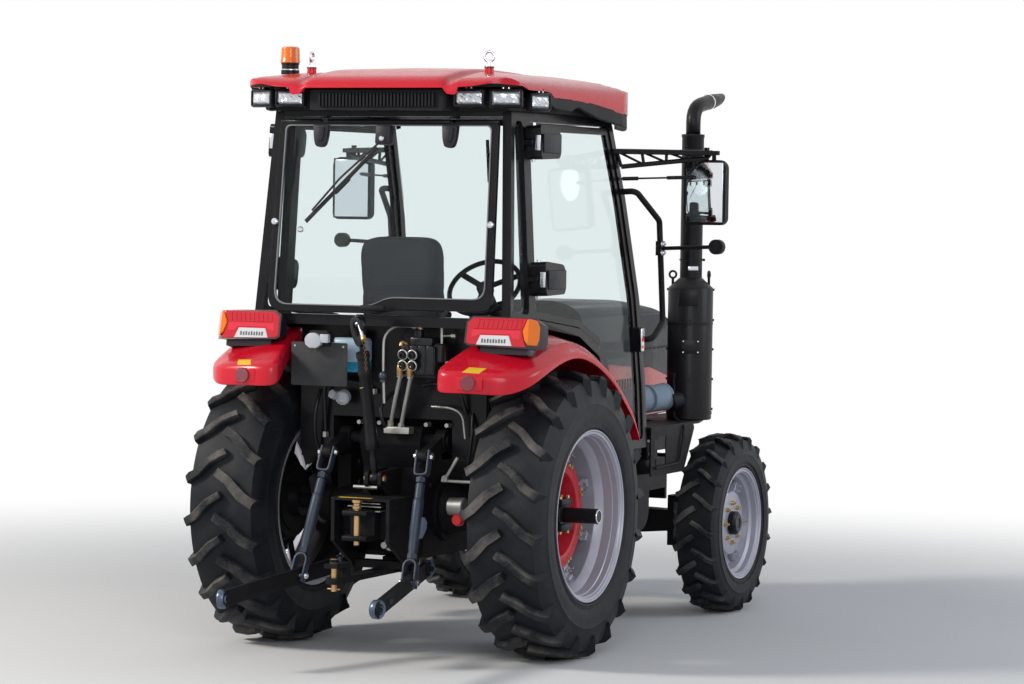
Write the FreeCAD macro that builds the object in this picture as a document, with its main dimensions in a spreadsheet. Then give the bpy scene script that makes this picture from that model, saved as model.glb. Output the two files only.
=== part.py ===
import FreeCAD, Part
import math
import os
from FreeCAD import Vector, Rotation, Placement

os.makedirs("parts", exist_ok=True)

# Farm tractor with a glazed cab and a rear three-point hitch.
# X is forward, Y to the driver's left, Z up, and the origin is the middle of its footprint on the ground.
# Lengths along X are taken from the rear axle, which stands axle_shift from the origin.
SIZES = [
    ("axle_shift", -869, "rear axle from the origin, along X"),
    ("wheelbase", 2434, "rear axle to front axle"),
    ("rear_track", 1625, "between the middles of the rear tyres"),
    ("front_track", 1700, "between the middles of the front tyres"),
    ("rear_tyre_radius", 765, "to the tips of the rear lugs"),
    ("front_tyre_radius", 530, "to the tips of the front lugs"),
    ("rear_lug_height", 40, "rear lug above the carcass"),
    ("front_lug_height", 30, "front lug above the carcass"),
    ("rear_lug_pairs", 20, "rear lugs on each side of a tyre"),
    ("front_lug_pairs", 20, "front lugs on each side of a tyre"),
    ("rear_tyre_half", 218, "half the rear tyre's section width"),
    ("front_tyre_half", 128, "half the front tyre's section width"),
    ("rear_seat_radius", 432, "rear bead seat of the rim"),
    ("front_seat_radius", 305, "front bead seat of the rim"),
    ("rear_flange_radius", 456, "rear rim flange"),
    ("front_flange_radius", 329, "front rim flange"),
    ("rear_flange_half", 208, "tyre middle to rear rim flange"),
    ("front_flange_half", 118, "tyre middle to front rim flange"),
    ("fit_gap", 0.3, "clearance at turned seats"),
    ("rim_wall", 8, "rolled rim thickness"),
    ("bar_radius", 40.5, "rear bar axle"),
    ("bar_end", 1064, "bar axle end from the middle of the tractor"),
    ("wheel_inset", 256.5, "middle of a rear tyre to the end of the axle trumpet"),
    ("hood_overhang", 636, "front axle to the nose of the hood"),
    ("king_pin_half", 640, "steering pivot from the middle"),
    ("cab_half", 750, "half the cab's width at its waist"),
    ("waist_z", 1795, "height where the cab sides start to lean"),
    ("side_lean", 3.1, "lean of the cab sides in degrees"),
    ("side_wall", 50, "thickness of the cab side frame"),
    ("door_gap", 8, "gap round a door or window"),
    ("door_rim", 37, "width of the door's frame"),
    ("glass_wall", 6, "thickness of the panes"),
    ("floor_z", 1080, "top of the cab floor"),
    ("roof_half", 810, "half the roof's width"),
    ("hood_half", 370, "half the hood's width"),
    ("hood_wall", 6, "hood skin"),
    ("link_ball_x", -1352, "ball end of a lower link, from the rear axle"),
    ("link_ball_half", 440, "ball end of a lower link, from the middle"),
    ("link_ball_z", 375, "height of the lower link's ball"),
    ("link_pivot_x", -400, "front pivot of a lower link, from the rear axle"),
    ("link_pivot_half", 255, "front pivot of a lower link, from the middle"),
    ("link_pivot_z", 480, "height of the lower link's front pivot"),
    ("link_pin_radius", 14.35, "bore of the lower link's ball"),
    ("top_pin_radius", 12.85, "bore of the top link's ball"),
    ("pto_radius", 17.4, "power take-off shaft"),
    ("pto_length", 76, "power take-off shaft past its flange"),
]

doc = FreeCAD.newDocument("Tractor")
sheet = doc.addObject("Spreadsheet::Sheet", "Dims")
for row, (name, value, meaning) in enumerate(SIZES, start=1):
    sheet.set(f"A{row}", meaning)
    sheet.set(f"B{row}", str(value))
    sheet.setAlias(f"B{row}", name)
doc.recompute()


def size(name):
    return float(sheet.get(name))


# What the sketches' lines and arcs are worked out from, read back from the sheet.
wheelbase = size("wheelbase")
rear_track = size("rear_track")
front_track = size("front_track")
rear_radius = size("rear_tyre_radius")
front_radius = size("front_tyre_radius")
gap = size("fit_gap")
cab_half = size("cab_half")
waist_z = size("waist_z")
side_wall = size("side_wall")
door_gap = size("door_gap")
door_rim = size("door_rim")
glass_wall = size("glass_wall")
floor_z = size("floor_z")
roof_half = size("roof_half")
hood_half = size("hood_half")
hood_wall = size("hood_wall")
king_pin_half = size("king_pin_half")
trumpet_end = rear_track / 2 - size("wheel_inset")
fender_in = trumpet_end - 1
floor_half = fender_in - 8.3
hood_nose = wheelbase + size("hood_overhang")
frame_front = wheelbase + 606
bar_radius = size("bar_radius")

UPRIGHT_XZ = Rotation(Vector(1, 0, 0), 90)
UPRIGHT_YZ = Rotation(0.5, 0.5, 0.5, 0.5)
LEFT, RIGHT = 1, -1
pieces = []


def cell(name):
    return "Dims." + name


def box(name, corner, lengths):
    solid = doc.addObject("Part::Box", name)
    for prop, length in zip(("Length", "Width", "Height"), lengths):
        if isinstance(length, str):
            solid.setExpression(prop, cell(length))
        else:
            setattr(solid, prop, length)
    solid.Placement.Base = Vector(*corner)
    return solid


def rod(name, start, end, radius):
    axis = Vector(*end) - Vector(*start)
    solid = doc.addObject("Part::Cylinder", name)
    if isinstance(radius, str):
        solid.setExpression("Radius", cell(radius))
    else:
        solid.Radius = radius
    solid.Height = axis.Length
    solid.Placement = Placement(Vector(*start), Rotation(Vector(0, 0, 1), axis))
    return solid


def cone(name, start, end, radius1, radius2):
    axis = Vector(*end) - Vector(*start)
    solid = doc.addObject("Part::Cone", name)
    solid.Radius1 = radius1
    solid.Radius2 = radius2
    solid.Height = axis.Length
    solid.Placement = Placement(Vector(*start), Rotation(Vector(0, 0, 1), axis))
    return solid


def outline(name, points, turn, origin=(0, 0, 0)):
    """Closed sketch through (u, v) or (u, v, corner radius), in a plane turned from XY."""
    sketch = doc.addObject("Sketcher::SketchObject", name)
    count = len(points)
    starts, ends, arcs = [], [], []
    for i, point in enumerate(points):
        here = Vector(point[0], point[1], 0)
        back = Vector(points[i - 1][0], points[i - 1][1], 0) - here
        ahead = Vector(points[(i + 1) % count][0], points[(i + 1) % count][1], 0) - here
        radius = point[2] if len(point) > 2 else 0
        if radius:
            shorter = min(back.Length, ahead.Length)
            back.normalize()
            ahead.normalize()
            half = back.getAngle(ahead) / 2
            radius = min(radius, 0.48 * shorter * math.tan(half))
            inwards = back + ahead
            inwards.normalize()
            first = here + back * (radius / math.tan(half))
            last = here + ahead * (radius / math.tan(half))
            middle = here + inwards * (radius / math.sin(half) - radius)
            arcs.append(Part.Arc(first, middle, last))
            starts.append(first)
            ends.append(last)
        else:
            arcs.append(None)
            starts.append(here)
            ends.append(here)
    shapes = []
    for i in range(count):
        if arcs[i]:
            shapes.append(arcs[i])
        run = starts[(i + 1) % count] - ends[i]
        if run.Length > 0.001:
            shapes.append(Part.LineSegment(ends[i], starts[(i + 1) % count]))
    sketch.addGeometry(shapes, False)
    sketch.Placement = Placement(Vector(*origin), turn)
    return sketch


def inset(points, step):
    """The same outline drawn in by a step all round, its round corners kept parallel."""
    count = len(points)
    area = sum(points[i - 1][0] * points[i][1] - points[i][0] * points[i - 1][1] for i in range(count))
    way = 1 if area > 0 else -1
    moved = []
    for i in range(count):
        here = Vector(points[i][0], points[i][1], 0)
        back = here - Vector(points[i - 1][0], points[i - 1][1], 0)
        ahead = Vector(points[(i + 1) % count][0], points[(i + 1) % count][1], 0) - here
        back.normalize()
        ahead.normalize()
        turn = (back.x * ahead.y - back.y * ahead.x) * way
        first = Vector(-back.y, back.x, 0) * way
        second = Vector(-ahead.y, ahead.x, 0) * way
        corner = here + (first + second) * (step / (1 + first.dot(second)))
        radius = points[i][2] if len(points[i]) > 2 else 0
        if radius:
            radius = max(radius - step, 1) if turn > 0 else radius + step
        moved.append((corner.x, corner.y, radius))
    return moved


def extrude(name, sketch, direction, length):
    solid = doc.addObject("Part::Extrusion", name)
    solid.Base = sketch
    solid.DirMode = "Custom"
    solid.Dir = Vector(*direction)
    if isinstance(length, str):
        solid.setExpression("LengthFwd", cell(length))
    else:
        solid.LengthFwd = length
    solid.Solid = True
    return solid


def side_plate(name, points, y0, y1):
    """Plate whose outline is drawn in X and Z, from y0 to y1."""
    return extrude(name, outline(name + "Lines", points, UPRIGHT_XZ, (0, y0, 0)), (0, 1, 0), y1 - y0)


def cross_plate(name, points, x0, x1):
    """Plate whose outline is drawn in Y and Z, from x0 to x1."""
    return extrude(name, outline(name + "Lines", points, UPRIGHT_YZ, (x0, 0, 0)), (1, 0, 0), x1 - x0)


def level_plate(name, points, z0, z1):
    """Plate whose outline is drawn in X and Y, from z0 to z1."""
    return extrude(name, outline(name + "Lines", points, Rotation(), (0, 0, z0)), (0, 0, 1), z1 - z0)


def turned(name, points, axis=(0, 1, 0)):
    """Turned piece about Y through the origin, from (along the axis, radius) points."""
    sketch = outline(name + "Lines", points, UPRIGHT_YZ)
    solid = doc.addObject("Part::Revolution", name)
    solid.Source = sketch
    solid.Axis = Vector(*axis)
    solid.Base = Vector(0, 0, 0)
    solid.Angle = 360
    solid.Solid = True
    return solid


def tube(name, points, radius, bends=None):
    """Round bar or pipe along straight runs joined by tangent arcs."""
    points = [Vector(*p) for p in points]
    edges = []
    last = points[0]
    for i in range(1, len(points) - 1):
        back = points[i - 1] - points[i]
        ahead = points[i + 1] - points[i]
        short = min(back.Length, ahead.Length)
        back.normalize()
        ahead.normalize()
        half = back.getAngle(ahead) / 2
        bend = bends if bends else 0.42 * short * math.tan(half)
        first = points[i] + back * (bend / math.tan(half))
        after = points[i] + ahead * (bend / math.tan(half))
        inwards = back + ahead
        inwards.normalize()
        middle = points[i] + inwards * (bend / math.sin(half) - bend)
        edges.append(Part.LineSegment(last, first).toShape())
        edges.append(Part.Arc(first, middle, after).toShape())
        last = after
    edges.append(Part.LineSegment(last, points[-1]).toShape())
    path = Part.Wire(edges)
    ring = Part.Wire(Part.makeCircle(radius, points[0], points[1] - points[0]))
    piece = doc.addObject("Part::Feature", name)
    piece.Shape = path.makePipeShell([ring], True, False)
    return piece


def fuse(name, shapes):
    piece = doc.addObject("Part::MultiFuse", name)
    piece.Shapes = shapes
    piece.Refine = True
    return piece


def cut(name, base, tools):
    piece = doc.addObject("Part::Cut", name)
    piece.Base = base
    piece.Tool = tools[0] if len(tools) == 1 else fuse(name + "Tools", tools)
    return piece


def common(name, shapes):
    piece = doc.addObject("Part::MultiCommon", name)
    piece.Shapes = shapes
    return piece


def group(name, shapes):
    piece = doc.addObject("Part::Compound", name)
    piece.Links = shapes
    return piece


def other_side(source):
    piece = doc.addObject("Part::Mirroring", source.Name + "Right")
    piece.Source = source
    piece.Base = Vector(0, 0, 0)
    piece.Normal = Vector(0, 1, 0)
    return piece


def both_sides(name, source):
    """One sub-part of two like pieces, left and right."""
    return group(name, [source, other_side(source)])


def finish(piece, label, at=(0, 0, 0)):
    """Gives a sub-part its label and sets it on the tractor from the rear axle."""
    piece.Label = label
    piece.setExpression("Placement.Base.x", f"Dims.axle_shift + {at[0]}")
    piece.Placement.Base.y = at[1]
    piece.Placement.Base.z = at[2]
    pieces.append(piece)
    return piece


def finish_mirror(source, label):
    """The same sub-part on the other side of the tractor."""
    piece = other_side(source)
    piece.Label = label
    pieces.append(piece)
    return piece


# Lugged tyres: a carcass of revolution with two rows of slanting bars, half a pitch apart.
# columns: name, radius, bar centre line, bar half width, middle of the tyre
TYRES = [
    ("rear", rear_radius, [(165, -14), (118, 62), (42, 138), (0, 206)], 19, rear_track / 2),
    ("front", front_radius, [(84, -8), (58, 36), (22, 78), (0, 117)], 12, front_track / 2),
]


def bar_outline(line, half, side, start):
    """Outline of one tread bar on the plane under the tread, broader at its shoulder end."""
    left, right = [], []
    for i, (x, y) in enumerate(line):
        before = line[max(i - 1, 0)]
        after = line[min(i + 1, len(line) - 1)]
        run = Vector(after[0] - before[0], after[1] - before[1], 0)
        run.normalize()
        wide = half * (1 + 0.1 * i)
        left.append((x - run.y * wide, y + run.x * wide))
        right.append((x + run.y * wide, y - run.x * wide))
    ends = left + right[::-1]
    return [(x - start, side * y) for x, y in ends]


for name, radius, line, bar_half, middle in TYRES:
    lug = size(name + "_lug_height")
    half = size(name + "_tyre_half")
    seat = size(name + "_seat_radius") + gap
    flange = size(name + "_flange_radius")
    flange_half = size(name + "_flange_half")
    bead = flange_half - size("rim_wall") - gap
    pairs = int(size(name + "_lug_pairs"))
    base = radius - lug
    wall = base - seat
    carcass = turned(name.title() + "Carcass", [
        (-bead + 7, seat), (bead - 7, seat), (bead, flange), (bead, flange + 3), (flange_half, flange + 6),
        (half, seat + 0.42 * wall), (0.96 * half, seat + 0.7 * wall), (0.84 * half, base - 0.04 * wall),
        (0.4 * half, base), (-0.4 * half, base), (-0.84 * half, base - 0.04 * wall),
        (-0.96 * half, seat + 0.7 * wall), (-half, seat + 0.42 * wall), (-flange_half, flange + 6),
        (-bead, flange + 3), (-bead, flange)])
    root = seat + 0.72 * wall
    pitch = 360 / pairs
    bars = []
    for side in (LEFT, RIGHT):
        points = bar_outline(line, bar_half, side, line[0][0] / 2)
        lines = outline(f"{name.title()}Bar{side + 1}Lines", points, Rotation(), (0, 0, root))
        bar = extrude(f"{name.title()}Bar{side + 1}", lines, (0, 0, 1), radius + 30 - root)
        doc.recompute()
        for i in range(pairs):
            turn = Rotation(Vector(0, 1, 0), pitch * (i + (0.5 if side == RIGHT else 0)))
            copy = bar.Shape.copy()
            copy.Placement = Placement(Vector(), turn).multiply(copy.Placement)
            bars.append(copy)
    row = doc.addObject("Part::Feature", name.title() + "Bars")
    row.Shape = Part.makeCompound(bars)
    envelope = turned(name.title() + "Envelope", [
        (-0.95 * half, root - 5), (0.95 * half, root - 5), (0.95 * half, radius - 0.7 * lug),
        (0.5 * half, radius - 0.12 * lug), (0.2 * half, radius), (-0.2 * half, radius),
        (-0.5 * half, radius - 0.12 * lug), (-0.95 * half, radius - 0.7 * lug)])
    tread = common(name.title() + "Tread", [row, envelope])
    tyre = fuse(name.title() + "Tyre", [carcass, tread])
    finish(tyre, f"{name}_tyre_left", (0 if name == "rear" else wheelbase, middle, radius))
    finish_mirror(tyre, f"{name}_tyre_right")


# Rear wheels: rolled rim with stepped barrel, lugs to a dished red disc, and a hub clamped on the bar axle.
rear_seat = size("rear_seat_radius")
rear_flange = size("rear_flange_radius")
rear_flange_half = size("rear_flange_half")
rim_wall = size("rim_wall")
disc_face = -10
disc_radius = 285
rear_rim_profile = [
    (-rear_flange_half, rear_flange), (-rear_flange_half + rim_wall, rear_flange),
    (-rear_flange_half + 14, rear_seat), (-120, rear_seat), (-95, rear_seat - 34), (60, rear_seat - 34),
    (100, rear_seat - 4), (rear_flange_half - 14, rear_seat), (rear_flange_half - rim_wall, rear_flange),
    (rear_flange_half, rear_flange), (rear_flange_half, rear_flange - rim_wall),
    (rear_flange_half - 8, rear_seat - rim_wall), (104, rear_seat - 4 - rim_wall),
    (64, rear_seat - 34 - rim_wall), (-98, rear_seat - 34 - rim_wall), (-124, rear_seat - rim_wall),
    (-rear_flange_half + 8, rear_seat - rim_wall), (-rear_flange_half, rear_flange - rim_wall)]
rear_rim = turned("RearRim", rear_rim_profile)
lug_count = 8
rim_lugs = []
for i in range(lug_count):
    lug = box(f"RimLug{i}", (-30, disc_face - 4, disc_radius - 25), (60, 8, rear_seat - disc_radius - 12))
    lug.Placement = Placement(Vector(), Rotation(Vector(0, 1, 0), 360 * (i + 0.5) / lug_count)).multiply(lug.Placement)
    rim_lugs.append(lug)
rear_disc = turned("RearDisc", [
    (disc_face - 4, disc_radius), (disc_face + 8, disc_radius), (disc_face + 8, 232), (disc_face - 42, 190),
    (disc_face - 42, 96), (disc_face - 54, 96), (disc_face - 54, 196), (disc_face - 4, 238)])
hub_face = disc_face - 54
rear_hub = turned("RearHub", [
    (hub_face - 10, 165), (hub_face, 165), (hub_face, 95.5), (hub_face + 55, 95.5), (hub_face + 70, 78),
    (hub_face + 120, 74), (hub_face + 120, 0), (trumpet_end + gap - rear_track / 2, 0),
    (trumpet_end + gap - rear_track / 2, bar_radius), (hub_face - 60, bar_radius), (hub_face - 60, 80),
    (hub_face - 10, 90)])
clamp_top = box("ClampTop", (-70, hub_face + 13, 46), (140, 121, 40))
clamp_bottom = box("ClampBottom", (-70, hub_face + 13, -86), (140, 121, 40))
bar_stub = rod("BarStub", (0, hub_face, 0), (0, size("bar_end") - rear_track / 2, 0), "bar_radius")
wheel = fuse("RearWheel", [rear_rim, rear_disc] + rim_lugs)
finish(wheel, "rear_rim_left", (0, rear_track / 2, rear_radius))
hub = fuse("RearHubBar", [rear_hub, clamp_top, clamp_bottom, bar_stub])
finish(hub, "rear_hub_left", (0, rear_track / 2, rear_radius))

# Front wheels: one-piece rim and dished disc on the hub of a driven axle.
front_seat = size("front_seat_radius")
front_flange = size("front_flange_radius")
front_flange_half = size("front_flange_half")
front_disc = 62
front_rim = turned("FrontRim", [
    (-front_flange_half, front_flange), (-front_flange_half + rim_wall, front_flange),
    (-front_flange_half + 13, front_seat), (-62, front_seat), (-48, front_seat - 26), (30, front_seat - 26),
    (60, front_seat - 4), (front_flange_half - 13, front_seat), (front_flange_half - rim_wall, front_flange),
    (front_flange_half, front_flange), (front_flange_half, front_flange - rim_wall),
    (front_flange_half - 7, front_seat - rim_wall), (64, front_seat - 4 - rim_wall),
    (front_disc - 4, front_seat - 30), (front_disc + 20, 235), (front_disc - 10, 170), (front_disc - 10, 70.5),
    (front_disc - 20, 70.5), (front_disc - 20, 176), (front_disc + 8, 235), (front_disc - 14, front_seat - 34),
    (-50, front_seat - 26 - rim_wall), (-66, front_seat - rim_wall),
    (-front_flange_half + 7, front_seat - rim_wall), (-front_flange_half, front_flange - rim_wall)])
finish(front_rim, "front_rim_left", (wheelbase, front_track / 2, front_radius))
front_hub = turned("FrontHub", [
    (-105, 0), (-105, 118), (-70, 125), (front_disc - 20, 125), (front_disc - 20, 70), (front_disc + 24, 70),
    (front_disc + 36, 55), (front_disc + 36, 0)])
finish(front_hub, "front_hub_left", (wheelbase, front_track / 2, front_radius))
for source, label in ((wheel, "rear_rim_right"), (hub, "rear_hub_right"),
                      (front_rim, "front_rim_right"), (front_hub, "front_hub_right")):
    finish_mirror(source, label)

# Transaxle: gearbox tunnel, rear housing and the two axle trumpets.
axle_z = rear_radius
housing = side_plate("RearHousing", [
    (-290, 520, 40), (420, 520, 20), (420, 960, 20), (330, 1030, 40), (-60, 1030, 20), (-120, 1215, 40),
    (-310, 1225, 40), (-345, 1130, 30), (-290, 1000)], -178, 178)
shaft_x, shaft_z, shaft_radius = -270, 1150, 32
shaft_bore = rod("ShaftBore", (shaft_x, -300, shaft_z), (shaft_x, 300, shaft_z), shaft_radius + gap)
tunnel = side_plate("GearTunnel", [(400, 560, 10), (1400, 560, 10), (1400, 900, 10), (400, 930, 10)], -150, 150)
trumpets = []
for side in (LEFT, RIGHT):
    trumpets.append(cone(f"Trumpet{side + 1}", (0, 170 * side, axle_z), (0, (trumpet_end - 70) * side, axle_z), 150, 90))
    trumpets.append(rod(f"TrumpetEnd{side + 1}", (0, (trumpet_end - 75) * side, axle_z),
                        (0, trumpet_end * side, axle_z), 98))
    trumpets.append(rod(f"TrumpetFlange{side + 1}", (0, 176 * side, axle_z), (0, 200 * side, axle_z), 175))
mounts = []
for side in (LEFT, RIGHT):
    for i, x in enumerate((-40, 1180)):
        y0 = fender_in - 175 if side == LEFT else 95 - fender_in
        mounts.append(box(f"CabPost{side + 1}{i}", (x, y0, 700 if i == 0 else 820), (80, 80, 339.7 if i == 0 else 219.7)))
    y0 = 140 if side == LEFT else 95 - fender_in
    mounts.append(box(f"Outrigger{side + 1}", (1180, y0, 780), (80, fender_in - 235, 70)))
mounts.append(box("TransferBox", (1180, -250, 455), (219.7, 110, 190)))
transaxle = cut("Transaxle", fuse("TransaxleSolid", [housing, tunnel] + trumpets + mounts), [shaft_bore])
finish(transaxle, "transaxle")

# Engine: one block bolted to the front of the gearbox, with the post that carries the hood's hinge.
engine_front, engine_top = wheelbase - 154, 1160
hood_hinge_x, hood_hinge_z = 1465, 1815
engine = side_plate("Engine", [(1400, 640), (engine_front, 640), (engine_front, engine_top), (1400, engine_top)],
                    -215, 215)
hood_post = [box("HoodPost", (hood_hinge_x + 35, -15, engine_top - 1), (40, 30, hood_hinge_z - 10 - engine_top)),
             box("HoodPostFoot", (hood_hinge_x + 20, -40, engine_top - 1), (70, 80, 20)),
             box("HoodHingeEar", (hood_hinge_x - 13, -15, hood_hinge_z - 15), (88, 30, 28)),
             rod("HoodHingePin", (hood_hinge_x, -44, hood_hinge_z), (hood_hinge_x, 44, hood_hinge_z), 8)]
finish(fuse("EngineSet", [engine] + hood_post), "engine_block")

# Front frame: two side rails beside the engine, cross members, the axle trunnion and a tow block.
rail_z0, rail_z1 = 660, 800
rail_rear = 1262
frame_parts = []
for side in (LEFT, RIGHT):
    y0 = 216 if side == LEFT else -246
    frame_parts.append(side_plate(f"Rail{side + 1}", [
        (rail_rear, rail_z0, 10), (frame_front, rail_z0 + 10, 10), (frame_front, rail_z1 + 60, 30),
        (wheelbase - 84, rail_z1 + 60, 20), (wheelbase - 184, rail_z1, 20), (rail_rear, rail_z1, 10)], y0, y0 + 30))
frame_parts.append(box("FrontPlate", (frame_front - 30, -246, 600), (30, 492, 280)))
frame_parts.append(box("RadiatorSill", (wheelbase - 104, -246, 830), (frame_front - wheelbase + 104, 492, 30)))
frame_parts.append(box("Bolster", (wheelbase - 130, -246, 690), (260, 492, 60)))
frame_parts.append(box("BolsterEarRear", (wheelbase - 130, -90, 540), (30, 180, 160)))
frame_parts.append(box("BolsterEarFront", (wheelbase + 100, -90, 540), (30, 180, 160)))
for side in (LEFT, RIGHT):
    frame_parts.append(box(f"GearPad{side + 1}", (rail_rear, 150 if side == LEFT else -217, 690), (60, 67, 80)))
tow_top = box("TowTop", (frame_front, -110, 700), (100, 220, 26))
tow_bottom = box("TowBottom", (frame_front, -110, 610), (100, 220, 26))
tow_back = box("TowBack", (frame_front, -110, 610), (20, 220, 116))
frame = cut("FrontFrame", fuse("FrontFrameSolid", frame_parts + [tow_top, tow_bottom, tow_back]),
            [rod("TowHole", (frame_front + 64, 0, 590), (frame_front + 64, 0, 740), 15),
             rod("TrunnionBore", (wheelbase - 200, 0, front_radius + 30), (wheelbase + 200, 0, front_radius + 30),
                 38 + gap)])
finish(frame, "front_frame")

# Front axle: cast beam swinging on its trunnion, with fork ends for the steering pivots.
axle_height = front_radius
beam = cross_plate("AxleBeam", [
    (-560, axle_height - 60, 20), (-150, axle_height - 95, 60), (150, axle_height - 95, 60),
    (560, axle_height - 60, 20), (560, axle_height + 60, 20), (150, axle_height + 70, 60),
    (-150, axle_height + 70, 60), (-560, axle_height + 60, 20)], wheelbase - 60, wheelbase + 60)
trunnion = rod("Trunnion", (wheelbase - 150, 0, axle_height + 30), (wheelbase + 150, 0, axle_height + 30), 38)
drive_y, drive_z = -195, front_radius - 15
drive_nose = cone("DriveNose", (wheelbase - 40, drive_y, drive_z), (wheelbase - 230, drive_y, drive_z), 95, 50)
drive_shaft = rod("DriveShaft", (1400, drive_y, drive_z), (wheelbase - 220, drive_y, drive_z), 24)
fork_parts = []
fork_start = 540
for side in (LEFT, RIGHT):
    y0 = fork_start if side == LEFT else -king_pin_half - 40
    long = king_pin_half + 40 - fork_start
    for z in (axle_height - 150, axle_height + 112):
        fork_parts.append(box(f"Fork{side + 1}{int(z)}", (wheelbase - 45, y0, z), (90, long, 38)))
    fork_parts.append(box(f"ForkRoot{side + 1}", (wheelbase - 45, 530 * side - 20, axle_height - 150), (90, 40, 300)))
front_axle = fuse("FrontAxle", [beam, trunnion, drive_nose, drive_shaft] + fork_parts)
finish(front_axle, "front_axle")

# Steering knuckles: each turns between the fork's arms and carries the hub.
knuckle_z0, knuckle_z1 = axle_height - 111.7, axle_height + 111.7
knuckle_post = rod("KnucklePost", (wheelbase, king_pin_half, knuckle_z0), (wheelbase, king_pin_half, knuckle_z1), 42)
knuckle_hub = rod("KnuckleHub", (wheelbase, king_pin_half - 20, axle_height),
                  (wheelbase, front_track / 2 - 105 - gap, axle_height), 92)
knuckle_arm = level_plate("KnuckleArm", [
    (wheelbase - 190, king_pin_half - 30, 18), (wheelbase - 190, king_pin_half + 10, 18),
    (wheelbase + 10, king_pin_half + 42, 10), (wheelbase + 10, king_pin_half - 42, 10)],
    axle_height - 106, axle_height - 82)
knuckle = fuse("Knuckle", [knuckle_post, knuckle_hub, knuckle_arm])
finish(knuckle, "steering_knuckle_left")
finish_mirror(knuckle, "steering_knuckle_right")

# Fenders: arched plate over the wheel, higher at the cab, with the wheelhouse wall under it.
fender_out = rear_track / 2 + 187.5
skirt_foot = 1420
fender_outer = [(744, 1120), (664, 1310), (420, 1512), (140, 1640), (-120, 1690), (-400, 1615), (-640, 1550), (-700, 1505)]
fender_inner = [(744, 1120), (664, 1340), (420, 1575), (140, 1715), (-120, 1775), (-450, 1668), (-735, 1590), (-790, 1540)]
fender_drop = [(0, 0), (-12, -4), (-6, -9), (-4, -11), (0, -12), (3, -12), (6, -12), (10, -6)]
sections, fills = [], []
for tag, y, points in (("In", fender_in, fender_inner), ("Out", fender_out, fender_outer)):
    top = [(x, z) for x, z in points]
    under = []
    for (x, z), (dx, dz) in zip(points, fender_drop):
        under.append((x + dx * 0.9, z + dz * 0.9))
    rear_foot = (points[-1][0], skirt_foot)
    rear_under = (points[-1][0] + 10, skirt_foot)
    front_under = (points[0][0] - 11, points[0][1])
    fills.append(outline("FenderFill" + tag, top + [rear_foot, (-600, 900), (700, 900)], UPRIGHT_XZ, (0, y, 0)))
    sections.append(outline("Fender" + tag, top + [rear_foot, rear_under] + under[:0:-1] + [front_under],
                            UPRIGHT_XZ, (0, y, 0)))
arch = doc.addObject("Part::Loft", "FenderArch")
arch.Sections = sections
arch.Solid = True
arch.Ruled = True
fender_fill = doc.addObject("Part::Loft", "FenderFill")
fender_fill.Sections = fills
fender_fill.Solid = True
fender_fill.Ruled = True
wall = side_plate("FenderWall", [
    (733, 1120), (733, 1081), (-300, 1081), (-300, 1660)] + [
    (x + (-11 if i == 0 else 0), z - 6) for i, (x, z) in reversed(list(enumerate(fender_inner[1:5], start=1)))],
    fender_in - 8, fender_in + 1)
fender = fuse("FenderLeft", [arch, wall])
finish(both_sides("Fenders", fender), "fenders")

# Cab: the side frames lean inwards above the waist, so their pieces are drawn flat and then leaned.
lean = size("side_lean")
side_hinge = Vector(0, cab_half, waist_z)


def leaned(piece):
    """Leans a piece drawn against the left waist plane inwards about the waist line."""
    turn = Rotation(Vector(1, 0, 0), lean)
    about = side_hinge - turn.multVec(side_hinge)
    piece.Placement = Placement(about, turn)
    return piece


side_outline = [(-470, 1802, 10), (-362, 2885), (890, 2885), (985, 2874, 20), (1150, 2450, 900), (1310, 1870, 700), (1350, 1400),
                (1350, 1040), (838, 1040, 12), (818, 1310, 60), (700, 1575, 60), (430, 1692, 60)]
door_hole = [(-165, 1800, 40), (-165, 2838, 50), (944, 2838, 40), (1095, 2450, 900), (1255, 1870, 700), (1292, 1400),
             (1292, 1090, 30), (888, 1090, 30), (868, 1330, 80), (738, 1622, 90), (440, 1735, 200)]
quarter_hole = [(-425, 1845, 35), (-325, 2838, 40), (-225, 2838, 40), (-225, 1822, 35)]
side_frame = side_plate("SideFrame", side_outline, cab_half - side_wall, cab_half)
door_space = side_plate("DoorSpace", door_hole, cab_half - side_wall - 5, cab_half + 5)
quarter_space = side_plate("QuarterSpace", quarter_hole, cab_half - side_wall - 5, cab_half + 5)
hinge_x, hinge_out = -205, 44
hinge_levels = (2725, 2010)
hinge_lugs = []
for i, z in enumerate(hinge_levels):
    hinge_lugs.append(box(f"HingeLug{i}", (hinge_x - 14, cab_half - 1, z - 14), (28, hinge_out + 1, 28)))
    hinge_lugs.append(rod(f"HingeLugEnd{i}", (hinge_x, cab_half + hinge_out, z - 14),
                          (hinge_x, cab_half + hinge_out, z + 14), 14))
    hinge_lugs.append(rod(f"HingePin{i}", (hinge_x, cab_half + hinge_out, z - 42),
                          (hinge_x, cab_half + hinge_out, z + 42), 8))
side_left = leaned(fuse("SideLeft", [cut("SideOpen", side_frame, [door_space, quarter_space])] + hinge_lugs))
side_right = other_side(side_left)

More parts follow.
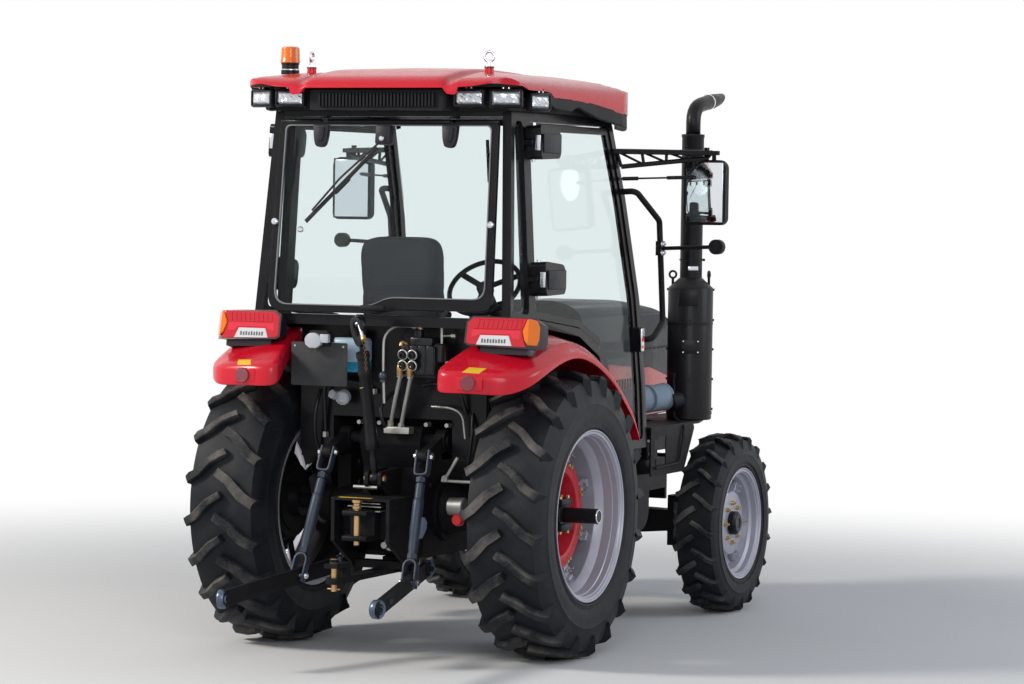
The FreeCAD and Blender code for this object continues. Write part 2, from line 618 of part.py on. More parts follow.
# Rear and front cross members join the two sides; the rear window closes against the rear ones.
window_hinge_x, window_hinge_z = -391.9, 2848
window_lugs = []
for side in (LEFT, RIGHT):
    y = 377 * side
    window_lugs.append(box(f"WindowLug{side + 1}", (window_hinge_x - 9, y - 11, window_hinge_z - 3.5), (60, 22, 13.5)))
    window_lugs.append(rod(f"WindowPin{side + 1}", (window_hinge_x, y - 28, window_hinge_z),
                           (window_hinge_x, y + 28, window_hinge_z), 5))
rear_top_bar = cross_plate("RearTopBar", [(-660, 2855), (660, 2855), (660, 2885), (-660, 2885)], -362, -300)
front_top_bar = cross_plate("FrontTopBar", [(-660, 2840), (660, 2840), (660, 2874), (-660, 2874)], 900, 975)
shelf_z = 1752
wall_x = -310
rear_sill = side_plate("RearSill", [
    (-476, shelf_z), (wall_x + 10, shelf_z), (wall_x + 10, shelf_z + 14), (-420, shelf_z + 14), (-420, 1806),
    (-472, 1806)], -705, 705)
rear_wall = cross_plate("RearWall", [
    (-floor_half, floor_z), (-350, floor_z), (-350, 1262), (350, 1262), (350, floor_z), (floor_half, floor_z),
    (floor_half, 1724), (660, 1724), (660, shelf_z), (-660, shelf_z), (-660, 1724), (-floor_half, 1724)],
    wall_x, wall_x + 10)
cowl = cross_plate("Cowl", [
    (-745, 1040), (745, 1040), (745, 1180, 30), (440, 1478, 60), (-440, 1478, 60), (-745, 1180, 30)], 1330, 1350)
screen_foot = 1482
ledge = level_plate("ScreenLedge", [
    (1330, -440), (1402, -440), (1438, -100), (1438, 100), (1402, 440), (1330, 440)], screen_foot - 20, screen_foot - gap)
cab_frame = fuse("CabFrame", [side_left, side_right, rear_top_bar, front_top_bar, rear_sill, rear_wall, cowl, ledge]
                 + window_lugs)
finish(cab_frame, "cab_frame")

# Floor: a flat platform between the wheelhouses, wider in front of them.
front_floor = level_plate("FrontFloor", [
    (300, -floor_half), (832, -floor_half), (832, -738), (1329.7, -738), (1329.7, 738), (832, 738),
    (832, floor_half), (300, floor_half)],
    floor_z - 40, floor_z)
seat_step = side_plate("SeatStep", [
    (wall_x + 10, 1262), (230, 1262, 40), (260, floor_z - 40), (310, floor_z - 40), (270, 1300, 30),
    (wall_x + 10, 1300)], -floor_half, floor_half)
rear_floor = []
for side in (LEFT, RIGHT):
    y0 = 350 if side == LEFT else -floor_half
    rear_floor.append(box(f"RearFloor{side + 1}", (wall_x + 10, y0, floor_z - 40),
                          (310 - wall_x - 10, floor_half - 350, 40)))
    rear_floor.append(box(f"FloorStepSide{side + 1}", (wall_x + 10, 350 if side == LEFT else -360, floor_z - 40),
                          (310 - wall_x - 10, 10, 250)))
floor = fuse("Floor", [front_floor, seat_step] + rear_floor)
finish(floor, "cab_floor")

# Fixed glass: windscreen bowed in plan, and the two rear quarter panes.

def screen_section(name, front, half, z):
    """Horizontal outline of the bowed windscreen at one height."""
    depth = 95
    points = [(front - depth, -half), (front, 0), (front - depth, half),
              (front - depth - glass_wall, half), (front - glass_wall, 0), (front - depth - glass_wall, -half)]
    sketch = doc.addObject("Sketcher::SketchObject", name)
    v = [Vector(x, y, 0) for x, y in points]
    sketch.addGeometry([Part.Arc(v[0], v[1], v[2]), Part.LineSegment(v[2], v[3]), Part.Arc(v[3], v[4], v[5]),
                        Part.LineSegment(v[5], v[0])], False)
    sketch.Placement.Base = Vector(0, 0, z)
    return sketch


screen = doc.addObject("Part::Loft", "Windscreen")
screen.Sections = [screen_section("ScreenFoot", 1440, 690, screen_foot), screen_section("ScreenMid", 1380, 672, 1960),
                   screen_section("ScreenHead", 1074, 634, 2838)]
screen.Solid = True
screen.Ruled = True
quarter = leaned(side_plate("QuarterPane", quarter_hole, cab_half - 22, cab_half - 22 + glass_wall))
fixed_glass = group("FixedGlass", [screen, quarter, other_side(quarter)])
finish(fixed_glass, "fixed_glass")

# Doors: a narrow black frame round a full-height pane, hung at the rear on two covered hinges.
door_edge = inset(door_hole, door_gap)
pane_edge = inset(door_edge, door_rim)
door_solid = side_plate("DoorSolid", door_edge, cab_half - 38, cab_half - 8)
door_open = side_plate("DoorOpen", pane_edge, cab_half - 45, cab_half)
door_ring = cut("DoorRing", door_solid, [door_open])
covers, hinge_bores = [], []
for i, z in enumerate(hinge_levels):
    covers.append(side_plate(f"HingeCover{i}", [
        (hinge_x - 24, z - 90, 22), (25, z - 84, 40), (38, z + 70, 50), (hinge_x - 24, z + 92, 22)],
        cab_half + 16, cab_half + 104))
    covers.append(side_plate(f"HingeFoot{i}", [
        (-150, z - 30), (-122, z - 30), (-122, z + 30), (-150, z + 30)], cab_half - 20, cab_half + 20))
    hinge_bores.append(box(f"HingeSlot{i}", (hinge_x - 30, cab_half + 10, z - 20), (50, 54, 40)))
    hinge_bores.append(rod(f"HingeBore{i}", (hinge_x, cab_half + hinge_out, z - 50),
                           (hinge_x, cab_half + hinge_out, z + 50), 8 + gap))
handle = side_plate("DoorHandle", [(1216, 1720, 10), (1258, 1720, 10), (1268, 1580, 10), (1236, 1580, 10)],
                    cab_half - 12, cab_half + 30)
door = leaned(cut("Door", fuse("DoorSolids", [door_ring] + covers + [handle]), hinge_bores))
pane = leaned(side_plate("DoorPane", pane_edge, cab_half - 22, cab_half - 22 + glass_wall))
for source, label in ((door, "door_frame"), (pane, "door_glass")):
    finish(group(source.Name + "Left", [source]), label + "_left")
    finish_mirror(doc.getObject(source.Name + "Left"), label + "_right")

# Rear window: framed pane hinged at its top edge, with covers, a latch handle and the wiper.
window_slope = math.degrees(math.atan(0.1))
hinge_z = 2846


def on_window(piece):
    """Sets a piece drawn upright against x = 0, hanging from z = 0, on the sloping rear window."""
    piece.Placement = Placement(Vector(-372, 0, hinge_z), Rotation(Vector(0, 1, 0), window_slope))
    return piece


window_edge = [(-655, -1035, 90), (-640, -6, 50), (640, -6, 50), (655, -1035, 90)]
window_pane = [(-618, -1000, 72), (-604, -40, 30), (604, -40, 30), (618, -1000, 72)]
window_face = -22 - gap
window_solid = cross_plate("WindowSolid", window_edge, -34, -6)
window_open = cross_plate("WindowOpen", window_pane, -45, 0)
window_ring = cut("WindowRing", window_solid, [window_open])
window_bits = [window_ring]
for side in (LEFT, RIGHT):
    window_bits.append(cross_plate(f"WindowCover{side + 1}", [
        (377 * side - 60, -115, 14), (377 * side - 60, -45, 14), (377 * side + 60, -45, 14), (377 * side + 60, -115, 14)],
        -72, window_face))
    window_bits.append(cross_plate(f"CoverFoot{side + 1}", [
        (377 * side - 40, -60), (377 * side - 40, -32), (377 * side + 40, -32), (377 * side + 40, -60)],
        -50, window_face))
    window_bits.append(rod(f"StrutKnob{side + 1}", (window_face, 632 * side, -560), (-62, 632 * side, -560), 20))
for side in (LEFT, RIGHT):
    for i, y in enumerate((377 * side - 22, 377 * side + 22)):
        window_bits.append(rod(f"WindowKnuckle{side + 1}{i}", (-20, y - 5, 0), (-20, y + 5, 0), 10))
window_bores = [rod("WindowBores", (-20, -420, 0), (-20, 420, 0), 5 + gap)]
for side in (LEFT, RIGHT):
    window_bores.append(box(f"LugNotch{side + 1}", (-45, 377 * side - 13, -25), (50, 26, 40)))
window_bits.append(cross_plate("WiperFoot", [(-45, -150, 14), (-45, -20), (45, -20), (45, -150, 14)],
                               -66, window_face))
window_bits.append(tube("WiperArm", [(-66, 0, -120), (-78, 0, -130), (-70, 470, -600)], 6, 6))
window_bits.append(tube("WiperBlade", [(-58, 300, -480), (-62, 470, -600), (-58, 600, -695)], 10, 60))
window_bits.append(rod("LatchPost", (window_face, 0, -1010), (-95, 0, -1010), 16))
window_bits.append(box("LatchGrip", (-104, -70, -1024), (18, 140, 28)))
window_frame = on_window(cut("WindowFrame", fuse("WindowSolids", window_bits), window_bores))
window_glass = on_window(cross_plate("WindowPane", window_pane, -22, -22 + glass_wall))
finish(group("WindowFrameSet", [window_frame]), "rear_window_frame")
finish(group("WindowGlassSet", [window_glass]), "rear_window_glass")

# Roof: a crowned red shell with rounded corners over a black housing that holds the lamps and the air grille.
roof_side = side_plate("RoofSide", [
    (-600, 2992), (-600, 3010), (-330, 3105, 400), (60, 3132, 900), (760, 3095, 900), (1235, 2965, 60), (1235, 2862),
    (1140, 2866), (430, 2932), (-330, 2958), (-420, 2992)], -roof_half - 20, roof_half + 20)
roof_front = cross_plate("RoofFront", [
    (-roof_half, 2700), (-roof_half, 3010, 30), (-roof_half + 70, 3072, 80), (-380, 3125, 900), (380, 3125, 900),
    (roof_half - 70, 3072, 80), (roof_half, 3010, 30), (roof_half, 2700)], -700, 1300)
roof_plan = level_plate("RoofPlan", [
    (-600, -640, 60), (-480, -roof_half, 120), (1080, -roof_half + 20, 140), (1235, -460, 200), (1235, 460, 200),
    (1080, roof_half - 20, 140), (-480, roof_half, 120), (-600, 640, 60)], 2690, 3200)
roof = common("RoofShell", [roof_side, roof_front, roof_plan])
finish(group("RoofSet", [roof]), "roof")
roof_clear = group("RoofClear", [roof])
roof_clear.Placement.Base.z = gap

# Under the roof: the black housing with an air grille across its back, and lamps in its corners.
housing_body = level_plate("HousingBody", [
    (-545, -395, 20), (-545, 395, 20), (-430, 430, 20), (-430, 700, 20), (-360, 740, 30), (1090, 730, 60),
    (1150, 560, 80), (1150, -560, 80), (1090, -730, 60), (-360, -740, 30), (-430, -700, 20), (-430, -430, 20)],
    2885, 2990)
housing_top = side_plate("HousingTop", [
    (-600, 3200), (-600, 2991.7), (-420, 2991.7), (-330, 2957.7), (430, 2931.7), (1140, 2865.7), (1300, 2861.7),
    (1300, 3200)], -800, 800)
bars = []
for i in range(34):
    y = -330 + 20 * i
    bars.append(box(f"AirBar{i}", (-560, y - 5, 2903), (20, 10, 70)))
roof_housing = fuse("RoofHousing", [cut("HousingLow", housing_body, [housing_top])] + bars)
finish(roof_housing, "roof_housing")

# Work lamps: round-cornered floodlights, three at each rear corner and two at each front corner.
# columns: x, y, height of the middle, height of the roof above, facing angle from straight back, width
lamps = []
for i, (x, y, z, roof_z, angle, wide) in enumerate((
        (-490, 517, 2937, 2992, 0, 165), (-452, 690, 2937, 2992, 25, 150), (-300, 762, 2905, 2956.4, 75, 150))):
    body = cross_plate(f"Lamp{i}", [(-wide / 2, -42, 16), (wide / 2, -42, 16), (wide / 2, 42, 16), (-wide / 2, 42, 16)],
                       -45, 0)
    hook = rod(f"LampHook{i}", (-20, 0, 40), (-20, 0, roof_z - z), 12)
    lamp = fuse(f"WorkLamp{i}", [body, hook])
    lamp.Placement = Placement(Vector(x, y, z), Rotation(Vector(0, 0, 1), -angle))
    lamps.append(lamp)
lamp_set = group("LampsLeft", lamps)
finish(both_sides("WorkLamps", lamp_set), "work_lamps")

# Beacon and the four lifting eyes on the roof.
beacon_x, beacon_y, beacon_seat = -190, 700, 3085
beacon = fuse("Beacon", [
    rod("BeaconFoot", (beacon_x, beacon_y, beacon_seat - 40), (beacon_x, beacon_y, beacon_seat + 62), 50),
    cone("BeaconDome", (beacon_x, beacon_y, beacon_seat + 62), (beacon_x, beacon_y, beacon_seat + 150), 55, 50)])
beacon_body = cut("BeaconBody", beacon, [roof_clear])
finish(beacon_body, "beacon")
eyes = []
for i, (x, y) in enumerate(((-280, 522), (-280, -522))):
    seat_z = 3060
    ring = doc.addObject("Part::Torus", f"EyeRing{i}")
    ring.Radius1 = 26
    ring.Radius2 = 7
    ring.Placement = Placement(Vector(x, y, seat_z + 112), UPRIGHT_YZ)
    eyes.append(fuse(f"LiftingEye{i}", [ring, rod(f"EyeShank{i}", (x, y, seat_z), (x, y, seat_z + 82), 12),
                                       rod(f"EyeCollar{i}", (x, y, seat_z), (x, y, seat_z + 66), 24)]))
finish(cut("LiftingEyes", group("EyePair", eyes), [roof_clear]), "lifting_eyes")

# Hood: one skin crowned across and rounded at the nose, hinged above the bulkhead, open below and behind.
hood_rear = 1478
hood_top = 1850
hood_sill = 1150


def hood_block(name, inset):
    """The hood's outer form, or its inside when inset by the skin."""
    side = side_plate(name + "Side", [
        (hood_rear - 20, hood_sill - inset * 4), (hood_rear - 20, hood_top - inset), (wheelbase - 184, hood_top - 8 - inset, 1200),
        (hood_nose - 350, 1770 - inset, 700), (hood_nose - 80 - inset, 1610 - inset, 160), (hood_nose - inset, 1380, 300),
        (hood_nose - 10 - inset, hood_sill - inset * 4)], -600, 600)
    plan = level_plate(name + "Plan", [
        (hood_rear - 10 * inset, -hood_half + inset), (wheelbase - 34, -hood_half + inset, 2000),
        (hood_nose - 70, -hood_half + 50 + inset, 160), (hood_nose + 15 - inset, -180, 300),
        (hood_nose + 15 - inset, 180, 300), (hood_nose - 70, hood_half - 50 - inset, 160),
        (wheelbase - 34, hood_half - inset, 2000), (hood_rear - 10 * inset, hood_half - inset)], 1000, 1900)
    front = cross_plate(name + "Front", [
        (-hood_half + inset, 900), (-hood_half + inset, 1560, 400), (-hood_half + 60 + inset, 1790 - inset, 90),
        (-180, hood_top - inset, 500), (180, hood_top - inset, 500), (hood_half - 60 - inset, 1790 - inset, 90),
        (hood_half - inset, 1560, 400), (hood_half - inset, 900)], 1300, 3200)
    return common(name, [side, plan, front])


nose_window = cross_plate("NoseWindow", [
    (-240, 1190, 30), (240, 1190, 30), (255, 1520, 50), (-255, 1520, 50)], hood_nose - 210, hood_nose + 90)
hood = cut("Hood", hood_block("HoodOuter", 0), [hood_block("HoodInner", hood_wall), nose_window])
hinge_tabs = [side_plate(f"HoodTab{side + 1}", [
    (hood_hinge_x - 13, hood_hinge_z - 13, 12), (hood_rear + 60, hood_hinge_z - 13), (hood_rear + 60, hood_top - 3),
    (hood_rear, hood_top - 3), (hood_hinge_x - 13, hood_hinge_z + 13, 12)],
    20 if side == LEFT else -36, 36 if side == LEFT else -20) for side in (LEFT, RIGHT)]
pin_bore = rod("HoodPinBore", (hood_hinge_x, -60, hood_hinge_z), (hood_hinge_x, 60, hood_hinge_z), 8 + gap)
finish(cut("HoodOnHinge", fuse("HoodSkin", [hood] + hinge_tabs), [pin_bore]), "hood")
grille_face = cross_plate("GrilleFace", [
    (-246, 1184, 30), (246, 1184, 30), (261, 1526, 50), (-261, 1526, 50)], hood_nose - 110, hood_nose - 92)
grille_holes = []
for i in range(9):
    z = 1206 + 24 * i
    grille_holes.append(box(f"GrilleSlot{i}", (hood_nose - 120, -225, z), (40, 450, 13)))
for side in (LEFT, RIGHT):
    grille_holes.append(cross_plate(f"LampHole{side + 1}", [
        (150 * side - 75, 1440, 14), (150 * side + 75, 1440, 14), (150 * side + 75, 1505, 14), (150 * side - 75, 1505, 14)],
        hood_nose - 120, hood_nose - 80))
surround = common("GrilleSurround", [hood_block("GrilleSpace", hood_wall), cut("SurroundRing", cross_plate(
    "SurroundOuter", [(-246, 1184, 30), (246, 1184, 30), (261, 1526, 50), (-261, 1526, 50)],
    hood_nose - 100, hood_nose + 10), [
    cross_plate("SurroundInner", [(-240, 1190, 30), (240, 1190, 30), (255, 1520, 50), (-255, 1520, 50)],
                hood_nose - 110, hood_nose + 20)])])
grille = fuse("GrilleSet", [cut("Grille", grille_face, grille_holes), surround])
finish(grille, "hood_grille")
headlamps = group("HeadLamps", [cross_plate(f"HeadLamp{side + 1}", [
    (150 * side - 74.7, 1440.3, 14), (150 * side + 74.7, 1440.3, 14), (150 * side + 74.7, 1504.7, 14),
    (150 * side - 74.7, 1504.7, 14)],
    hood_nose - 150, hood_nose - 86) for side in (LEFT, RIGHT)])
finish(headlamps, "headlamps")
radiator = box("RadiatorCore", (hood_nose - 320, -260, 860), (90, 520, 740))
fan_shroud = box("FanShroud", (hood_nose - 410, -230, 900), (90, 460, 600))
finish(fuse("Radiator", [radiator, fan_shroud]), "radiator")

# Exhaust: silencer standing on the side bracket, slim stack with a bent outlet, and a lagged elbow to the engine.
stack_x, stack_y = wheelbase - 214, -690
tray_z, tray_wall = 1135, 15
bracket_rear = 1370
bracket_run = stack_x - 160 - bracket_rear
arm_rear, arm_front = bracket_rear + 70, bracket_rear + 0.62 * bracket_run
elbow_x = arm_front + 127
silencer = fuse("Silencer", [
    rod("SilencerBody", (stack_x, stack_y, tray_z + tray_wall), (stack_x, stack_y, 1910), 122),
    cone("SilencerNeck", (stack_x, stack_y, 1910), (stack_x, stack_y, 1985), 118, 60),
    tube("Stack", [(stack_x, stack_y, 1975), (stack_x, stack_y, 2960), (stack_x + 150, stack_y, 3010)], 59, 60)])
pipe_hollow = tube("StackBore", [(stack_x, stack_y, 2500), (stack_x, stack_y, 2960), (stack_x + 160, stack_y, 3013.4)],
                   55, 60)
elbow = rod("LaggedElbow", (stack_x - 340, -470, 1265), (stack_x - 90, -610, 1290), 74)
elbow_foot = tube("ElbowFoot", [(elbow_x, -215.4, 1090), (elbow_x, -440, 1090), (elbow_x + 20, -520, 1265)], 38, 60)
finish(fuse("Exhaust", [cut("OpenSilencer", silencer, [pipe_hollow]), elbow, elbow_foot]), "exhaust")

# Side bracket under the silencer: top plate over the tyre, windowed side plate, and two arms to the frame.
cheek_plate = side_plate("CheekPlate", [
    (bracket_rear, 870, 20), (bracket_rear + 0.74 * bracket_run, 870, 30), (bracket_rear + bracket_run, tray_z, 20),
    (bracket_rear, tray_z, 10)], -806, -796)
cheek_window = side_plate("CheekWindow", [
    (bracket_rear + 0.09 * bracket_run, 930, 15), (bracket_rear + 0.65 * bracket_run, 930, 15),
    (bracket_rear + 0.78 * bracket_run, 1090, 15), (bracket_rear + 0.09 * bracket_run, 1090, 15)], -820, -780)
side_cheek = cut("SideCheek", cheek_plate, [cheek_window])
tray_plate = level_plate("TrayPlate", [
    (bracket_rear, -806), (stack_x - 100, -806, 60), (stack_x + 150, -740, 60), (stack_x + 150, -540, 40),
    (stack_x - 220, -420, 40), (bracket_rear, -420)], tray_z, tray_z + tray_wall)
tray = cut("Tray", tray_plate, [box("ElbowNotch", (elbow_x - 55, -575, tray_z - 20), (130, 170, 60))])
tray_arms = [box(f"TrayArm{i}", (x, -800, tray_z - 60), (60, 584.7, 60)) for i, x in enumerate((arm_rear, arm_front))]
finish(fuse("SideBracket", [side_cheek, tray] + tray_arms), "side_bracket")

# Mirrors: flat pierced arm from the front pillar, tall mirror head, and a thin stay with a round head below.
mirror_arm = level_plate("MirrorArm", [
    (1052, 701.4), (1100, 740, 30), (1425, 1130, 20), (1410, 1180, 14), (1375, 1180, 14), (1040, 780, 30), (1004, 701.4)],
    2692, 2716)
mirror_holes = [level_plate(f"ArmHole{i}", [
    (1098 + 79 * i, 766 + 98 * i, 8), (1150 + 79 * i, 830 + 98 * i, 8), (1130 + 79 * i, 848 + 98 * i, 8),
    (1078 + 79 * i, 784 + 98 * i, 8)], 2680, 2730) for i in range(3)]
mirror_head = cross_plate("MirrorHead", [
    (985, 2300, 40), (1232, 2300, 40), (1232, 2665, 50), (985, 2665, 50)], 1360, 1415)
mirror_stem = rod("MirrorStem", (1392, 1150, 2600), (1392, 1150, 2700), 12)
stay = rod("MirrorStay", (1366, 863.2, 2165), (1385, 1160, 2178), 11)
stay_head = rod("StayHead", (1360, 1178, 2178), (1410, 1178, 2178), 42)
mirror = fuse("Mirror", [cut("PiercedArm", mirror_arm, mirror_holes), mirror_head, mirror_stem, stay, stay_head])
finish(both_sides("Mirrors", mirror), "mirrors")

# Grab handles: bent tubes beside the doors, fixed to the front pillars.
grab = fuse("GrabHandle", [
    tube("GrabTube", [(1112, 713.5, 2480), (1112, 795, 2484.4), (1345, 845, 2320), (1420, 845, 1750),
                      (1300, 830, 1654), (1300, 758.3, 1650.1)], 17, 38),
    box("StayClamp", (1336, 828, 2125), (60, 34, 80))])
finish(both_sides("GrabHandles", grab), "grab_handles")

# Fuel tanks beside the gearbox, with three access steps on the left.
tank = side_plate("Tank", [(860, 590, 90), (1240, 590, 120), (1240, 900, 60), (860, 900, 60)], 470, 850)
tank_strap = side_plate("TankStrap", [(1185, 583), (1235, 583), (1235, 907), (1185, 907)], 460.3, 480)
tank_left = fuse("TankLeft", [tank, tank_strap])
finish(both_sides("FuelTanks", tank_left), "fuel_tanks")
steps = []
for i, (z, y) in enumerate(((420, 890), (660, 870), (880, 858))):
    steps.append(box(f"Tread{i}", (960, 851, z), (300, y - 851 + 90, 24)))
for i, x in enumerate((948, 1260)):
    steps.append(side_plate(f"StepSide{i}", [(x, 420), (x + 12, 420), (x + 12, 1038), (x, 1038)], 851, 930))
step_hanger = box("StepHanger", (948, 620, 1018), (324, 310, 20))
finish(fuse("Steps", steps + [step_hanger]), "access_steps")

# Tail lamps on the fenders, with round reflectors below them.
tail_body = cross_plate("TailLamp", [(-170, -62, 24), (140, -75, 30), (170, -20, 40), (160, 66, 30), (-170, 62, 24)], -70, 0)
tail_body.Placement = Placement(Vector(-512, 745, 1733), Rotation(Vector(0, 1, 0), 12))
tail_foot = side_plate("TailFoot", [(-520, 1560), (-440, 1595), (-440, 1748), (-520, 1748)], 712, 850)
reflector = rod("Reflector", (-720, 697, 1498), (-778, 697, 1498), 40)
tail = cut("TailLampSet", group("TailParts", [fuse("TailLampOnFoot", [tail_body, tail_foot]), reflector]), [fender_fill])

finish(both_sides("TailLamps", tail), "tail_lamps")

# Number plate carrier with its small lamp, and the washer bottle beside it.
plate_x = -545
carrier = cross_plate("PlateCarrier", [(150, 1430, 8), (485, 1430, 8), (485, 1662, 8), (150, 1662, 8)], plate_x - 5, plate_x)
carrier_legs = [box(f"PlateLeg{i}", (plate_x - 1, y, 1560), (wall_x - plate_x + 1, 30, 30)) for i, y in enumerate((322, 440))]
plate_lamp = side_plate("PlateLamp", [
    (plate_x - 70, 1655, 12), (plate_x - 60, 1715, 22), (plate_x - 10, 1722, 12), (plate_x + 20, 1650, 8)], 300, 430)
finish(fuse("PlateSet", [carrier, plate_lamp] + carrier_legs), "plate_carrier")
bottle = cross_plate("Bottle", [
    (60, 1500, 30), (310, 1500, 30), (310, 1665, 30), (240, 1690, 20), (60, 1690, 30)], wall_x - 130, wall_x)
bottle_neck = rod("BottleNeck", (wall_x - 65, 130, 1680), (wall_x - 65, 130, 1722), 34)
finish(fuse("WasherBottle", [bottle, bottle_neck]), "washer_bottle")

# Remote valve block: stacked spools, four couplers facing back, and two rigid pipes down to the housing.
valve = box("ValveStack", (-470, -330, 1500), (160, 210, 150))
valve_lid = box("ValveLid", (-440, -300, 1640), (110, 150, 60))
couplers = []
for i, (y, z) in enumerate(((-275, 1610), (-175, 1610), (-275, 1540), (-175, 1540))):
    couplers.append(rod(f"Coupler{i}", (-471 + 10, y, z), (-530, y, z - 18), 26))
valve_pipes = [tube(f"ValvePipe{i}", [(-420, y, 1505), (-420, y, 1440), (-360, y + 25, 1290), (-333, y + 25, 1203)],
                    11, 40) for i, y in enumerate((-200, -150))]
finish(fuse("ValveBlock", [valve, valve_lid] + couplers + valve_pipes), "remote_valves")

# Hitch frame: two side plates under the housing with a top plate, tow clevis and pin, drawbar and its pin.
hitch_back = -680
hitch_cheeks = [side_plate(f"HitchCheek{side + 1}", [
    (-290, 560), (-350, 440, 20), (-440, 430, 20), (-470, 500, 20), (hitch_back, 630, 10), (hitch_back, 860, 10),
    (-290, 860)], 150 if side == LEFT else -170, 170 if side == LEFT else -150) for side in (LEFT, RIGHT)]
hitch_cover = level_plate("HitchCover", [
    (-290, -170), (-290, 170), (hitch_back, 170, 10), (hitch_back, -170, 10)], 846, 860)
clevis = side_plate("Clevis", [
    (-560, 640), (-750, 640, 30), (-750, 668, 12), (-650, 668), (-650, 772), (-750, 772, 12), (-750, 800, 30),
    (-560, 800)], -70, 70)
clevis_plate = box("ClevisPlate", (-575, -150.5, 640), (20, 301, 160))
tow_pin = fuse("TowPin", [rod("TowPinBar", (-715, 0, 612), (-715, 0, 850), 15),
                          rod("TowPinHead", (-715, 0, 838), (-715, 0, 858), 26)])
drawbar = level_plate("Drawbar", [
    (-280, -38), (-1010, -38, 30), (-1010, 38, 30), (-280, 38)], 440, 472)
drawbar_seat = box("DrawbarSeat", (-440, -150.5, 472), (80, 301, 40))
drawbar_front = box("DrawbarRoot", (-288, -60, 440), (120, 120, 80))
drawbar_jaw = fuse("DrawbarJaw", [box("JawTop", (-1010, -38, 523), (150, 76, 22)),
                                 box("JawBack", (-880, -38, 460), (30, 76, 80))])
drawbar_pin = fuse("DrawbarPin", [rod("DrawbarPinBar", (-968, 0, 400), (-968, 0, 565), 14.5),
                                 rod("DrawbarPinHead", (-968, 0, 552), (-968, 0, 568), 25)])
link_pivot_x, link_pivot_half, link_pivot_z = size("link_pivot_x"), size("link_pivot_half"), size("link_pivot_z")
link_pin_bar = fuse("LinkPinBar", [rod(f"LinkPin{side + 1}", (link_pivot_x, 150 * side, link_pivot_z),
                                      (link_pivot_x, (link_pivot_half + 36) * side, link_pivot_z), 14) for side in (LEFT, RIGHT)])
top_bracket = [side_plate(f"TopLug{side + 1}", [
    (-290, 860), (-460, 860), (-540, 915, 25), (-540, 990, 25), (-290, 1000)], 28 if side == LEFT else -48,
    48 if side == LEFT else -28) for side in (LEFT, RIGHT)]
top_bracket.append(rod("TopPin", (-506, -60, 953), (-506, 60, 953), 12.85))
top_bracket.append(box("TopBracketBack", (-310, -48, 846), (20, 96, 154)))
hitch = fuse("HitchFrame", hitch_cheeks + top_bracket + [hitch_cover, clevis, clevis_plate, tow_pin, drawbar, drawbar_seat,
                                          drawbar_front, drawbar_jaw, drawbar_pin, link_pin_bar])
finish(hitch, "hitch_frame")
pto_radius, pto_length = size("pto_radius"), size("pto_length")
pto = fuse("PtoShaft", [rod("PtoCollar", (-290, 0, 590), (-320, 0, 590), 36),
                        rod("PtoStub", (-319, 0, 590), (-320 - pto_length, 0, 590), "pto_radius")])
finish(pto, "pto_shaft")

# Lift arms on the rockshaft, above the lower links.
arm_end = Vector(-505, 280, 1080)
arm_shape = fuse("LiftArmShape", [
    side_plate("LiftArmWeb", [(shaft_x + 8, shaft_z + 50), (arm_end.x + 4, arm_end.z + 27), (arm_end.x - 4, arm_end.z - 27),
                              (shaft_x - 8, shaft_z - 56)], 256, 304),
    rod("LiftArmHub", (shaft_x, 250, shaft_z), (shaft_x, 310, shaft_z), 58),
    rod("LiftArmEye", (arm_end.x, 256, arm_end.z), (arm_end.x, 304, arm_end.z), 28)])
arm_hole = rod("LiftArmHole", (arm_end.x, 200, arm_end.z), (arm_end.x, 350, arm_end.z), 12 + gap)
lift_arm = cut("LiftArm", arm_shape, [arm_hole])
rockshaft = rod("Rockshaft", (shaft_x, -320, shaft_z), (shaft_x, 320, shaft_z), shaft_radius)
finish(fuse("LiftArms", [rockshaft, lift_arm, other_side(lift_arm)]), "lift_arms")

# Lower links: flat bars splayed outwards, with a ball at each end and a stay to the outer pivot.
ball_x, ball_half, ball_z = size("link_ball_x"), size("link_ball_half"), size("link_ball_z")
pivot = Vector(link_pivot_x, link_pivot_half, link_pivot_z)
ball = Vector(ball_x, ball_half, ball_z)
along = (ball - pivot)
link_length = along.Length
along.normalize()
link_turn = Rotation(along, Vector(0, 0, 1).cross(along), Vector(0, 0, 1), "XYZ")
bar = side_plate("LinkBar", [(0, -42, 36), (link_length, -42, 36), (link_length, 42, 36), (0, 42, 36)], -12, 12)
rod_drop = Vector(-750, 323, 445)
eye_front = rod("LinkEyeFront", (0, -20, 0), (0, 20, 0), 38)
eye_back = rod("LinkEyeBack", (link_length, -15, 0), (link_length, 15, 0), 46)
pin_way = link_turn.inverted().multVec(Vector(0, 1, 0))


def across_link(name, x, reach, radius):
    """A rod through the link at x, square to the tractor however far the link is splayed."""
    middle = Vector(x, 0, 0)
    return rod(name, tuple(middle - pin_way * reach), tuple(middle + pin_way * reach), radius)


link_ball = across_link("LinkBall", link_length, 22, 27)
bore_front = across_link("LinkBoreFront", 0, 60, 14 + gap)
bore_back = across_link("LinkBoreBack", link_length, 60, "link_pin_radius")
link = cut("LowerLink", fuse("LowerLinkSolid", [bar, eye_front, eye_back, link_ball]), [bore_front, bore_back])
link.Placement = Placement(pivot, link_turn)
finish(group("LowerLinkSet", [link]), "lower_link_left")
finish_mirror(doc.getObject("LowerLinkSet"), "lower_link_right")

# Lift rods: a fork on the lift arm, a turnbuckle body, and a fork over the lower link.
rod_axis = rod_drop - arm_end
rod_length = rod_axis.Length
rod_axis.normalize()


